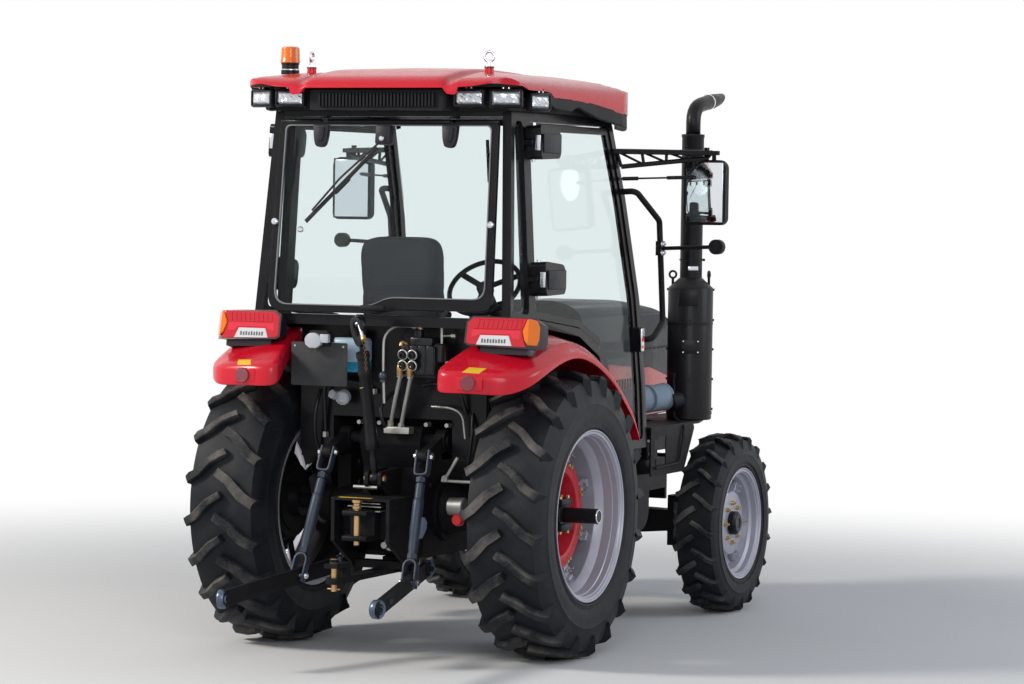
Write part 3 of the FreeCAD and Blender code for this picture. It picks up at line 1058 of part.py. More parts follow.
def fork(name, z, way, inside, wall):
    """Two cheeks either side of an eye at height z, joined by a bridge lying towards the rod's middle."""
    reach = 96
    far = z + way * reach
    low, high = min(z - way * 26, far), max(z - way * 26, far)
    cheeks = [side_plate(f"{name}Cheek{i}", [(-24, low, 20), (24, low, 20), (24, high, 10), (-24, high, 10)],
                         y, y + wall) for i, y in enumerate((inside, -inside - wall))]
    bridge = box(name + "Bridge", (-24, -inside - wall, min(far, far + way * 22)), (48, 2 * (inside + wall), 22))
    return cheeks + [bridge]


rod_y = Vector(0, 1, 0) - rod_axis * rod_axis.y
rod_y.normalize()
rod_turn = Rotation(rod_y.cross(rod_axis), rod_y, rod_axis, "ZYX")
top_pin_way = rod_turn.inverted().multVec(Vector(0, 1, 0)) * 46
upper_pin = rod("RodTopPin", tuple(-top_pin_way), tuple(top_pin_way), 12)
rod_bar = [rod("RodScrew", (0, 0, 110), (0, 0, rod_length - 110), 15),
           rod("RodBody", (0, 0, 190), (0, 0, rod_length - 190), 24),
           rod("RodNutTop", (0, 0, 140), (0, 0, 170), 27), rod("RodNutLow", (0, 0, rod_length - 170),
                                                             (0, 0, rod_length - 140), 27)]
lift_rod = fuse("LiftRod", fork("TopFork", 0, 1, 30, 12) + fork("LowFork", rod_length, -1, 29, 12) + rod_bar + [upper_pin])
lift_rod.Placement = Placement(arm_end, rod_turn)
finish(group("LiftRodSet", [lift_rod]), "lift_rod_left")
finish_mirror(doc.getObject("LiftRodSet"), "lift_rod_right")

# Top link, stowed upright: a sleeve with a ball eye at each end, pinned between two lugs on the housing.
top_foot = Vector(-506, 0, 953)
top_lean = 14
top_link_length = 860
top_parts = [rod("TopSleeve", (0, 0, 170), (0, 0, top_link_length - 170), 28),
             rod("TopScrew", (0, 0, 30), (0, 0, top_link_length - 30), 16),
             rod("TopEyeLow", (0, -22, 0), (0, 22, 0), 34), rod("TopEyeHigh", (0, -22, top_link_length),
                                                            (0, 22, top_link_length), 36)]
top_bores = [rod("TopBoreLow", (0, -40, 0), (0, 40, 0), 12.85 + gap),
             rod("TopBoreHigh", (0, -40, top_link_length), (0, 40, top_link_length), "top_pin_radius")]
top_link = cut("TopLink", fuse("TopLinkSolid", top_parts), top_bores)
top_link.Placement = Placement(top_foot, Rotation(Vector(0, 1, 0), -top_lean))
finish(group("TopLinkSet", [top_link]), "top_link")
# Seat on its box, dash with the steering column, and the wheel.
seat_box = box("SeatBox", (-190, -160, 1300), (330, 320, 210))
finish(fuse("SeatBase", [seat_box, box("SeatPan", (-220, -220, 1510), (420, 440, 30))]), "seat_base")
seat_cushion = side_plate("SeatCushion", [(-215, 1540.3, 20), (230, 1540.3, 40), (230, 1640, 40), (-215, 1640, 20)], -245, 245)
seat_back = side_plate("SeatBack", [(-218, 1640.3, 40), (-120, 1640.3, 40), (-190, 2230, 50), (-275, 2230, 40)], -240, 240)
finish(group("SeatPads", [seat_cushion, seat_back]), "seat_cushions")
dash = side_plate("Dash", [(1120, floor_z), (1329, floor_z), (1329, 1500, 60), (1200, 1780, 60), (1040, 1800, 40),
                           (1060, 1640, 60)], -190, 190)
column_foot = Vector(1080, 0, 1690)
column_top = Vector(865, 0, 1905)
column = rod("Column", tuple(column_foot), tuple(column_top), 32)
finish(fuse("DashColumn", [dash, column]), "dash_column")
wheel_axis = (column_top - column_foot).normalize()
rim_ring = doc.addObject("Part::Torus", "SteeringRing")
rim_ring.Radius1 = 205
rim_ring.Radius2 = 14
rim_ring.Placement.Base = Vector(0, 0, 40)
spokes = [box(f"Spoke{i}", (0, -16, 30), (205, 32, 12)) for i in range(3)]
for i, spoke in enumerate(spokes):
    spoke.Placement = Placement(Vector(), Rotation(Vector(0, 0, 1), 120 * i + 60)).multiply(spoke.Placement)
steering_wheel = fuse("SteeringWheel", [rim_ring, rod("WheelBoss", (0, 0, 1), (0, 0, 48), 45)] + spokes)
steering_wheel.Placement = Placement(column_top, Rotation(Vector(0, 0, 1), wheel_axis))
finish(group("SteeringWheelSet", [steering_wheel]), "steering_wheel")

doc.recompute()
for item in doc.Objects:
    if "Invalid" in item.State or "Error" in item.State:
        raise RuntimeError(f"{item.Name} did not build")
for piece in pieces:
    if piece.Shape.isNull() or not piece.Shape.isValid():
        raise RuntimeError(f"{piece.Label} has no valid shape")
for piece in pieces:
    piece.Shape.exportStep(os.path.join("parts", piece.Label + ".step"))
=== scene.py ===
import math
import bmesh
import bpy
from mathutils import Matrix, Vector
from mathutils.bvhtree import BVHTree


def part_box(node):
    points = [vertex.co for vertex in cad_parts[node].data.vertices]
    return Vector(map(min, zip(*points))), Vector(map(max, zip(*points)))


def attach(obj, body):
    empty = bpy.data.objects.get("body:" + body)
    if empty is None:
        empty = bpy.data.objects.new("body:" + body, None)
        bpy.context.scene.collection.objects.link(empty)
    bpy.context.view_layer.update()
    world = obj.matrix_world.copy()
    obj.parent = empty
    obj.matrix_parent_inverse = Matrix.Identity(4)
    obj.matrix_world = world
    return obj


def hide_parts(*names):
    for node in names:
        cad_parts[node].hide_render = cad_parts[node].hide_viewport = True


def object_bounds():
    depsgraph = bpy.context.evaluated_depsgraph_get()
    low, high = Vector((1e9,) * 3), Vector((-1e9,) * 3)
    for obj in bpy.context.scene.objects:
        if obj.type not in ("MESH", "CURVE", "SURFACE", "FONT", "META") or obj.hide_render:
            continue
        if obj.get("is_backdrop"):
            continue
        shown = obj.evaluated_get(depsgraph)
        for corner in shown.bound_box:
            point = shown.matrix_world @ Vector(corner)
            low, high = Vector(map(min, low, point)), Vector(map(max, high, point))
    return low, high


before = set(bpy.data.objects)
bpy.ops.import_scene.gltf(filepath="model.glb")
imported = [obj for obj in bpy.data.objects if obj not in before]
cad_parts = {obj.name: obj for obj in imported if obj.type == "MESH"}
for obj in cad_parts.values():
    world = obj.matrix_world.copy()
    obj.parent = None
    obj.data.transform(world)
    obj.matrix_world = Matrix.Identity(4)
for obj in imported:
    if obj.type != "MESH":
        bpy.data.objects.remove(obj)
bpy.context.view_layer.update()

# Camera: it stands well behind the tractor and to its right, a little above eye level, on a long lens.
# It has no solid form; its place was worked out from the wheels and from the edges of the cab and the hood.
axle = Vector((sum(corner.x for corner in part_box("rear_rim_left")) / 2, 0, 0))
wheelbase = sum(corner.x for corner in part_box("front_rim_left")) / 2 - axle.x
yaw, pitch, roll = math.radians(24.17), math.radians(-2.33), math.radians(0.8)
ahead = Vector((math.cos(yaw) * math.cos(pitch), math.sin(yaw) * math.cos(pitch), math.sin(pitch)))
across = ahead.cross(Vector((0, 0, 1))).normalized()
upward = across.cross(ahead)
right = across * math.cos(roll) + upward * math.sin(roll)
upward = upward * math.cos(roll) - across * math.sin(roll)
camera = bpy.data.objects.new("Camera", bpy.data.cameras.new("Camera"))
camera.data.lens = 119.7
camera.data.sensor_width = 36
camera.data.clip_end = 200
camera.matrix_world = Matrix.Translation(axle + Vector((-16.5, -7.954, 2.406))) @ Matrix(
    (right, upward, -ahead)).transposed().to_4x4()
bpy.context.scene.collection.objects.link(camera)
bpy.context.scene.camera = camera

# Studio: a pale floor that fades to white away from the tractor, a white surround, and three soft lamps.
# The floor is one flat sheet under the tyres; the lamps hang out of the picture, above and to both sides.
scene = bpy.context.scene
scene.view_settings.view_transform = "Standard"
world = bpy.data.worlds.new("Studio")
scene.world = world
world.use_nodes = True
tree = world.node_tree
tree.nodes.clear()


def seen_directly(tree):
    """Mask of the rays that see the surround itself: from the camera, in a reflection or through glass."""
    light_path = tree.nodes.new("ShaderNodeLightPath")
    first = tree.nodes.new("ShaderNodeMath")
    first.operation = "MAXIMUM"
    second = tree.nodes.new("ShaderNodeMath")
    second.operation = "MAXIMUM"
    tree.links.new(light_path.outputs["Is Camera Ray"], first.inputs[0])
    tree.links.new(light_path.outputs["Is Transmission Ray"], first.inputs[1])
    tree.links.new(first.outputs[0], second.inputs[0])
    tree.links.new(light_path.outputs["Is Glossy Ray"], second.inputs[1])
    return second.outputs[0]


white = tree.nodes.new("ShaderNodeBackground")
white.inputs["Color"].default_value = (1, 1, 1, 1)
white.inputs["Strength"].default_value = 1.0
fill = tree.nodes.new("ShaderNodeBackground")
fill.inputs["Color"].default_value = (0.8, 0.87, 1.0, 1)
fill.inputs["Strength"].default_value = 0.3
choice = tree.nodes.new("ShaderNodeMixShader")
world_output = tree.nodes.new("ShaderNodeOutputWorld")
tree.links.new(seen_directly(tree), choice.inputs["Fac"])
tree.links.new(fill.outputs[0], choice.inputs[1])
tree.links.new(white.outputs[0], choice.inputs[2])
tree.links.new(choice.outputs[0], world_output.inputs["Surface"])

floor_mesh = bpy.data.meshes.new("StudioFloor")
bm = bmesh.new()
bmesh.ops.create_circle(bm, cap_ends=True, radius=60, segments=64)
bm.to_mesh(floor_mesh)
bm.free()
studio_floor = bpy.data.objects.new("StudioFloor", floor_mesh)
scene.collection.objects.link(studio_floor)
studio_floor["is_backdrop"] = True
floor_paint = bpy.data.materials.new("pale_studio_floor")
floor_paint.use_nodes = True
tree = floor_paint.node_tree
floor_shader = tree.nodes["Principled BSDF"]
floor_shader.inputs["Base Color"].default_value = (0.8, 0.8, 0.79, 1)
floor_shader.inputs["Roughness"].default_value = 0.9
place = tree.nodes.new("ShaderNodeTexCoord")
reach = tree.nodes.new("ShaderNodeVectorMath")
reach.operation = "LENGTH"
fade = tree.nodes.new("ShaderNodeMapRange")
fade.interpolation_type = "SMOOTHSTEP"
fade.inputs["From Min"].default_value = 3.2
fade.inputs["From Max"].default_value = 9.0
only_seen = tree.nodes.new("ShaderNodeMath")
only_seen.operation = "MULTIPLY"
glow = tree.nodes.new("ShaderNodeEmission")
choice = tree.nodes.new("ShaderNodeMixShader")
tree.links.new(place.outputs["Object"], reach.inputs[0])
tree.links.new(reach.outputs["Value"], fade.inputs["Value"])
tree.links.new(fade.outputs["Result"], only_seen.inputs[0])
tree.links.new(seen_directly(tree), only_seen.inputs[1])
tree.links.new(only_seen.outputs[0], choice.inputs["Fac"])
tree.links.new(floor_shader.outputs[0], choice.inputs[1])
tree.links.new(glow.outputs[0], choice.inputs[2])
tree.links.new(choice.outputs[0], tree.nodes["Material Output"].inputs["Surface"])
floor_mesh.materials.append(floor_paint)

# columns: name, place, size, power, colour
for name, lamp_place, lamp_size, power, colour in (
        ("KeyLamp", (-7.0, 8.5, 7.5), 2.6, 1050, (1.0, 0.95, 0.88)),
        ("BackLamp", (-10.0, -5.0, 5.0), 5.0, 260, (0.93, 0.96, 1.0)),
        ("SideLamp", (3.0, -9.0, 5.5), 5.0, 230, (0.88, 0.94, 1.0))):
    lamp = bpy.data.objects.new(name, bpy.data.lights.new(name, "AREA"))
    lamp.data.shape = "DISK"
    lamp.data.size = lamp_size
    lamp.data.energy = power
    lamp.data.color = colour
    lamp.matrix_world = Matrix.Translation(lamp_place) @ (
        Vector((0, 0, 1.2)) - Vector(lamp_place)).to_track_quat("-Z", "Y").to_matrix().to_4x4()
    scene.collection.objects.link(lamp)

# Castings and the chassis under the cab: cast iron and welded plate, bolted together round the engine.
# They are sprayed dull black once assembled and carry dust from the field; the rear shaft is ground steel.
def weathering_group():
    """Dust that settles on what faces up, a faint mottle in the colour, and the fine grain of the surface."""
    group = bpy.data.node_groups.new("Weathering", "ShaderNodeTree")
    for name, kind, value in (("Colour", "NodeSocketColor", (0.5, 0.5, 0.5, 1)),
                              ("Dust colour", "NodeSocketColor", (0.14, 0.125, 0.115, 1)),
                              ("Dust", "NodeSocketFloat", 0.2), ("Mottle", "NodeSocketFloat", 0.15),
                              ("Roughness", "NodeSocketFloat", 0.5), ("Grain size", "NodeSocketFloat", 300.0)):
        socket = group.interface.new_socket(name, in_out="INPUT", socket_type=kind)
        socket.default_value = value
    for name, kind in (("Colour", "NodeSocketColor"), ("Roughness", "NodeSocketFloat"),
                       ("Grain", "NodeSocketFloat")):
        group.interface.new_socket(name, in_out="OUTPUT", socket_type=kind)
    nodes, links = group.nodes, group.links
    given = nodes.new("NodeGroupInput")
    made = nodes.new("NodeGroupOutput")
    place = nodes.new("ShaderNodeTexCoord")

    def noise(scale, detail):
        node = nodes.new("ShaderNodeTexNoise")
        if isinstance(scale, float):
            node.inputs["Scale"].default_value = scale
        else:
            links.new(scale, node.inputs["Scale"])
        node.inputs["Detail"].default_value = detail
        links.new(place.outputs["Object"], node.inputs["Vector"])
        return node.outputs["Fac"]

    def calculate(operation, first, second, clamp=False):
        node = nodes.new("ShaderNodeMath")
        node.operation = operation
        node.use_clamp = clamp
        for socket, value in zip(node.inputs, (first, second)):
            if isinstance(value, (int, float)):
                socket.default_value = value
            else:
                links.new(value, socket)
        return node.outputs[0]

    facing = nodes.new("ShaderNodeSeparateXYZ")
    normal = nodes.new("ShaderNodeNewGeometry")
    links.new(normal.outputs["Normal"], facing.inputs[0])
    up = calculate("MULTIPLY_ADD", facing.outputs["Z"], 0.45)
    up.node.inputs[2].default_value = 0.55
    patches = calculate("SUBTRACT", noise(7.0, 6.0), 0.42, True)
    specks = calculate("SUBTRACT", noise(90.0, 3.0), 0.4, True)
    cover = calculate("MULTIPLY", calculate("ADD", calculate("MULTIPLY", patches, 5.0), specks), up)
    cover = calculate("MULTIPLY", cover, given.outputs["Dust"], True)
    shade = calculate("MULTIPLY_ADD", calculate("SUBTRACT", noise(3.0, 4.0), 0.5), given.outputs["Mottle"])
    shade.node.inputs[2].default_value = 1.0
    toned = nodes.new("ShaderNodeVectorMath")
    toned.operation = "SCALE"
    links.new(given.outputs["Colour"], toned.inputs[0])
    links.new(shade, toned.inputs["Scale"])
    dusted = nodes.new("ShaderNodeMix")
    dusted.data_type = "RGBA"
    links.new(cover, dusted.inputs["Factor"])
    links.new(toned.outputs[0], dusted.inputs["A"])
    links.new(given.outputs["Dust colour"], dusted.inputs["B"])
    links.new(dusted.outputs["Result"], made.inputs["Colour"])
    rough = calculate("MULTIPLY_ADD", cover, 0.45)
    links.new(given.outputs["Roughness"], rough.node.inputs[2])
    smudged = calculate("MULTIPLY_ADD", calculate("SUBTRACT", noise(18.0, 5.0), 0.5), 0.18)
    links.new(rough, smudged.node.inputs[2])
    links.new(smudged, made.inputs["Roughness"])
    links.new(noise(given.outputs["Grain size"], 2.0), made.inputs["Grain"])
    return group


weathering = weathering_group()


def finish(name, colour, rough=0.5, metal=0.0, dust=0.2, mottle=0.2, grain=300.0, relief=0.1, coat=0.0,
           dust_colour=(0.1, 0.092, 0.085), gloss=0.35):
    """Material with the weathering on it; relief is its fine grain, gloss how much the bare paint reflects."""
    material = bpy.data.materials.new(name)
    material.use_nodes = True
    tree = material.node_tree
    shader = tree.nodes["Principled BSDF"]
    worn = tree.nodes.new("ShaderNodeGroup")
    worn.node_tree = weathering
    worn.inputs["Colour"].default_value = (*colour, 1)
    worn.inputs["Dust colour"].default_value = (*dust_colour, 1)
    worn.inputs["Dust"].default_value = dust
    worn.inputs["Mottle"].default_value = mottle
    worn.inputs["Roughness"].default_value = rough
    worn.inputs["Grain size"].default_value = grain
    bump = tree.nodes.new("ShaderNodeBump")
    bump.inputs["Strength"].default_value = relief
    bump.inputs["Distance"].default_value = 0.002
    tree.links.new(worn.outputs["Colour"], shader.inputs["Base Color"])
    tree.links.new(worn.outputs["Roughness"], shader.inputs["Roughness"])
    tree.links.new(worn.outputs["Grain"], bump.inputs["Height"])
    tree.links.new(bump.outputs["Normal"], shader.inputs["Normal"])
    shader.inputs["Metallic"].default_value = metal
    shader.inputs["Coat Weight"].default_value = coat
    shader.inputs["Specular IOR Level"].default_value = gloss
    shader.inputs["Coat Roughness"].default_value = 0.08
    return material


def dress(nodes, material, edge=0.0):
    """Gives solids of the frame their finish, and rolls their hard edges where an edge radius is given."""
    for node in nodes.split():
        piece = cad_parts[node]
        piece.data.materials.clear()
        piece.data.materials.append(material)
        if edge:
            weld = piece.modifiers.new("Weld", "WELD")
            weld.merge_threshold = 0.00002
            rolled = piece.modifiers.new("RolledEdges", "BEVEL")
            rolled.width = edge
            rolled.segments = 2
            rolled.limit_method = "ANGLE"
            rolled.angle_limit = math.radians(32)
            rolled.use_clamp_overlap = True
            rolled.harden_normals = True


chassis_black = finish("chassis_black", (0.009, 0.009, 0.011), rough=0.5, dust=0.22, mottle=0.4, grain=500,
                       relief=0.25, dust_colour=(0.04, 0.035, 0.031), gloss=0.12)
dress("transaxle engine_block front_frame front_axle steering_knuckle_left steering_knuckle_right radiator",
      chassis_black)
dress("pto_shaft", finish("ground_steel", (0.42, 0.42, 0.43), rough=0.32, metal=0.9, dust=0.25))
dress("hitch_frame lift_arms lower_link_left lower_link_right", chassis_black, 0.002)
rod_blue = finish("rod_blue_grey", (0.026, 0.038, 0.064), rough=0.4, dust=0.18, mottle=0.3, grain=500)

# Cab frame: rolled steel posts welded at the corners and sprayed satin black, and doors in the same paint.
# The floor, the console, the tanks and the steps are moulded black plastic with a fine grain.
cab_black = finish("cab_black", (0.006, 0.006, 0.008), rough=0.3, dust=0.04, mottle=0.2, relief=0.05, coat=0.05,
                   gloss=0.16)
moulded_black = finish("moulded_black", (0.011, 0.011, 0.013), rough=0.52, dust=0.1, mottle=0.25, grain=900,
                       relief=0.3, dust_colour=(0.05, 0.046, 0.042), gloss=0.14)
dress("cab_frame door_frame_left door_frame_right", cab_black, 0.0025)
dress("cab_floor dash_column steering_wheel fuel_tanks", moulded_black, 0.003)
dress("roof_housing mirrors grab_handles access_steps", moulded_black, 0.002)

# Panels: pressed sheet steel in a bright red gloss, baked after pressing, and a grey top to the hood.
# The roof and the fenders are moulded in thick plastic and sprayed in the same red.
panel_red = finish("panel_red", (0.66, 0.006, 0.024), rough=0.26, dust=0.03, mottle=0.1, relief=0.0, coat=0.16,
                   dust_colour=(0.3, 0.06, 0.06), gloss=0.3)
hood_grey = finish("hood_grey", (0.018, 0.021, 0.029), rough=0.38, dust=0.03, mottle=0.12, relief=0.03,
                   coat=0.03, gloss=0.12)
dress("hood", hood_grey, 0.003)
dress("hood_grille", moulded_black)

# Exhaust and its bracket: a rolled silencer in heat-proof black that stands on a bracket of black plate.
# The bracket is cut and folded from sheet and bolted to the side of the chassis ahead of the cab.
heat_black = finish("heat_black", (0.007, 0.007, 0.009), rough=0.4, dust=0.05, mottle=0.3, grain=700,
                    relief=0.12, coat=0.05, gloss=0.18)
dress("side_bracket", chassis_black, 0.0015)

# Glass: flat and bowed safety glass with a faint grey-green tint, bonded to the posts and the door frames.
# The headlamps behind the nose of the hood have clear moulded covers.
cab_glass = bpy.data.materials.new("cab_glass")
cab_glass.use_nodes = True
shader = cab_glass.node_tree.nodes["Principled BSDF"]
shader.inputs["Base Color"].default_value = (0.86, 0.91, 0.91, 1)
shader.inputs["Roughness"].default_value = 0.02
shader.inputs["Transmission Weight"].default_value = 1.0
shader.inputs["IOR"].default_value = 1.12
dress("fixed_glass door_glass_left door_glass_right rear_window_glass", cab_glass)
dress("headlamps", finish("headlamp_lens", (0.75, 0.76, 0.78), rough=0.15, dust=0.1, coat=0.6))

# Seat base: a black moulded box on the cab floor that carries the two pads sewn further down.
# The pads are covered in a dark grey woven cloth.
dress("seat_base", moulded_black, 0.003)
seat_cloth = finish("seat_cloth", (0.05, 0.052, 0.058), rough=0.9, dust=0.05, mottle=0.3, grain=1500,
                    relief=0.6)

# Tyres: black rubber radials with a smooth ringed sidewall and two rows of slanting bars that meet midway.
# They are moulded in one; dried dust lies on the faces of the bars and the rubber between them stays dark.
def piece_of(name, bm, material, smooth=30.0, body="chassis"):
    """Closes a mesh drawn from the rear axle, gives it its finish, and lets it ride on its body."""
    bmesh.ops.translate(bm, vec=axle, verts=bm.verts)
    bmesh.ops.remove_doubles(bm, verts=bm.verts, dist=0.00001)
    bmesh.ops.recalc_face_normals(bm, faces=bm.faces)
    mesh = bpy.data.meshes.new(name)
    bm.to_mesh(mesh)
    bm.free()
    mesh.materials.append(material)
    mesh.shade_smooth()
    mesh.set_sharp_from_angle(angle=math.radians(smooth))
    piece = bpy.data.objects.new(name, mesh)
    scene.collection.objects.link(piece)
    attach(piece, body)
    return piece


def spin_ring(bm, profile, steps):
    """Spins a closed outline of (across, radius) points about the cross axis."""
    corners = [bm.verts.new((0, across, radius)) for across, radius in profile]
    sides = [bm.edges.new((corners[i - 1], corners[i])) for i in range(len(corners))]
    bmesh.ops.spin(bm, geom=corners + sides, cent=(0, 0, 0), axis=(0, 1, 0), angle=math.tau, steps=steps,
                   use_merge=True)


def between(table, value):
    """Straight interpolation in a table of (value, result) rows."""
    for (v0, r0), (v1, r1) in zip(table, table[1:]):
        if value <= v1:
            return r0 + (r1 - r0) * (value - v0) / (v1 - v0)
    return table[-1][1]


def tyre_rubber(name, axle_x, axle_z, groove, crown):
    """Rubber whose dust grows from the groove between the bars to their faces."""
    rubber = finish(name, (0.009, 0.011, 0.015), rough=0.52, dust=0.24, mottle=0.35, grain=450, relief=0.25,
                    gloss=0.18, dust_colour=(0.175, 0.16, 0.148))
    tree = rubber.node_tree
    worn = next(node for node in tree.nodes if node.type == "GROUP")
    place = tree.nodes.new("ShaderNodeTexCoord")
    centred = tree.nodes.new("ShaderNodeMapping")
    centred.inputs["Location"].default_value = (-axle_x, 0, -axle_z)
    centred.inputs["Scale"].default_value = (1, 0, 1)
    reach = tree.nodes.new("ShaderNodeVectorMath")
    reach.operation = "LENGTH"
    face = tree.nodes.new("ShaderNodeMapRange")
    face.inputs["From Min"].default_value = groove
    face.inputs["From Max"].default_value = crown
    face.inputs["To Min"].default_value = 0.1
    face.inputs["To Max"].default_value = 1.0
    tree.links.new(place.outputs["Object"], centred.inputs["Vector"])
    tree.links.new(centred.outputs["Vector"], reach.inputs[0])
    tree.links.new(reach.outputs["Value"], face.inputs["Value"])
    tree.links.new(face.outputs["Result"], worn.inputs["Dust"])
    return rubber


def bar_tyre(radius, lug, half, seat, flange, flange_half, pairs, line, bar_half):
    """One tyre about the origin: carcass spun from its section, bars set round it half a pitch apart."""
    base = radius - lug
    wall = base - seat
    bead = flange_half - 0.0083
    side = [(bead - 0.007, seat), (bead, flange - 0.002), (bead, flange + 0.004), (flange_half, flange + 0.008),
            (flange_half + 0.003, flange + 0.016), (flange_half + 0.0005, flange + 0.019),
            (flange_half + 0.0005, flange + 0.024), (flange_half + 0.0022, flange + 0.026),
            (flange_half + 0.0008, flange + 0.028), (flange_half + 0.0008, flange + 0.034),
            (flange_half + 0.0026, flange + 0.036), (flange_half + 0.0012, flange + 0.038),
            (half - 0.004, seat + 0.3 * wall), (half, seat + 0.42 * wall), (half - 0.001, seat + 0.52 * wall),
            (half + 0.0005, seat + 0.545 * wall), (half - 0.003, seat + 0.57 * wall),
            (0.965 * half, seat + 0.68 * wall), (0.92 * half, seat + 0.82 * wall),
            (0.84 * half, base - 0.04 * wall), (0.62 * half, base - 0.012 * wall), (0.3 * half, base)]
    bm = bmesh.new()
    spin_ring(bm, side + [(-y, r) for y, r in reversed(side)], 96)
    floor_of = [(0.0, base - 0.01), (0.62 * half, base - 0.015), (0.84 * half, base - 0.04 * wall - 0.012),
                (0.92 * half, seat + 0.8 * wall - 0.01), (half, seat + 0.68 * wall)]
    face_of = [(0.0, radius), (0.2 * half, radius), (0.5 * half, radius - 0.1 * lug),
               (0.8 * half, radius - 0.38 * lug), (0.95 * half, radius - 0.68 * lug),
               (half, radius - 0.9 * lug)]
    start = line[0][0] / 2
    stations = []
    for i, (x, y) in enumerate(line):
        before, after = line[max(i - 1, 0)], line[min(i + 1, len(line) - 1)]
        run = Vector((after[0] - before[0], after[1] - before[1], 0)).normalized()
        stations.append((Vector((x - start, y, 0)), Vector((-run.y, run.x, 0)), bar_half * (1 + 0.1 * i)))
    for flip in (1, -1):
        bar = bmesh.new()
        rows = [[bar.verts.new(middle + normal * wide * way * 1.28) for way in (1, -1)]
                for middle, normal, wide in stations]
        for low, high in zip(rows, rows[1:]):
            bar.faces.new((low[0], high[0], high[1], low[1]))
        bmesh.ops.subdivide_edges(bar, edges=bar.edges, cuts=1, use_grid_fill=True)
        lifted = bmesh.ops.extrude_face_region(bar, geom=bar.faces[:])
        crown = [v for v in lifted["geom"] if isinstance(v, bmesh.types.BMVert)]
        for v in crown:
            middle = min((s[0] for s in stations), key=lambda c: (c - v.co).length)
            spine = min(((a[0] + (b[0] - a[0]) * t / 8) for a, b in zip(stations, stations[1:])
                         for t in range(9)), key=lambda c: (c - v.co).length)
            v.co = spine + (v.co - spine) * 0.78
            v.co.z = 1.0
        edges = [e for e in bar.edges if all(v.co.z > 0.9 for v in e.verts)
                 and any(all(w.co.z > 0.9 for w in f.verts) for f in e.link_faces)
                 and not all(all(w.co.z > 0.9 for w in f.verts) for f in e.link_faces)]
        for v in bar.verts:
            across = abs(v.co.y)
            height = between(floor_of, across) + (between(face_of, across) - between(floor_of, across)) * v.co.z
            turn = v.co.x / radius
            v.co = Vector((height * math.sin(turn), v.co.y * flip, height * math.cos(turn)))
        bmesh.ops.bevel(bar, geom=edges, offset=0.005, segments=1, affect="EDGES", profile=0.5, material=-1)
        pattern = bpy.data.meshes.new("bar_pattern")
        bmesh.ops.rotate(bar, verts=bar.verts, cent=(0, 0, 0),
                         matrix=Matrix.Rotation(math.pi / pairs if flip < 0 else 0, 3, "Y"))
        bar.to_mesh(pattern)
        bar.free()
        for i in range(pairs):
            pattern.transform(Matrix.Rotation(math.tau / pairs, 4, "Y"))
            bm.from_mesh(pattern)
        bpy.data.meshes.remove(pattern)
    return bm


def set_wheel(bm, x, y, z):
    """Moves a wheel piece from the origin to its axle, mirrored for the right side."""
    if y < 0:
        bmesh.ops.scale(bm, vec=(1, -1, 1), verts=bm.verts)
    bmesh.ops.translate(bm, vec=(x, y, z), verts=bm.verts)
    return bm


# columns: name, axle, half track, radius, lug, half width, bead seat, flange, its half, bars, line, bar half
for name, axle_x, track, radius, lug, half, seat, flange, flange_half, pairs, line, bar_half in (
        ("rear", 0.0, 0.8125, 0.765, 0.04, 0.218, 0.4323, 0.456, 0.208, 20,
         [(0.165, -0.014), (0.118, 0.062), (0.042, 0.138), (0.0, 0.206)], 0.0185),
        ("front", wheelbase, 0.85, 0.53, 0.03, 0.128, 0.3053, 0.329, 0.118, 20,
         [(0.084, -0.008), (0.058, 0.036), (0.022, 0.078), (0.0, 0.117)], 0.0118)):
    rubber = tyre_rubber(name + "_tyre_rubber", axle.x + axle_x, radius, radius - lug, radius - 0.3 * lug)
    for side, y in (("left", track), ("right", -track)):
        tyre = piece_of(f"{name}_tyre_bars_{side}", set_wheel(
            bar_tyre(radius, lug, half, seat, flange, flange_half, pairs, line, bar_half), axle_x, y, radius),
            rubber, 34, body=f"{name}_wheel_{side}")
        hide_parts(f"{name}_tyre_{side}")

# Rear wheels: rolled steel rims painted silver, with welded lugs bolted to a dished red disc. A silver hub
# plate with yellow-zinc bolts is wedged on the black bar axle, which sticks out past the rim.
def stud(bm, at, way, radius, height, sides=6):
    """A bolt head, nut or short bar standing on a face."""
    way = Vector(way).normalized()
    set_up = Matrix.Translation(Vector(at) + way * height / 2) @ way.to_track_quat("Z",
                                                                                   "Y").to_matrix().to_4x4()
    bmesh.ops.create_cone(bm, cap_ends=True, segments=sides, radius1=radius, radius2=radius * 0.94,
                          depth=height, matrix=set_up)


def slab(bm, low, high, roll=0.003, turn=None):
    """A block between two corners with its edges rolled."""
    low, high = Vector(map(min, low, high)), Vector(map(max, low, high))
    made = bmesh.ops.create_cube(bm, size=1.0, matrix=Matrix.Translation((low + high) / 2) @ Matrix.Diagonal(
        (*(high - low), 1)))
    edges = list({e for v in made["verts"] for e in v.link_edges})
    rolled = bmesh.ops.bevel(bm, geom=edges, offset=roll, segments=2, affect="EDGES", profile=0.5, material=-1)
    verts = list({v for f in rolled["faces"] for v in f.verts} | {v for v in made["verts"] if v.is_valid})
    if turn:
        bmesh.ops.transform(bm, matrix=turn, verts=verts)
    return verts


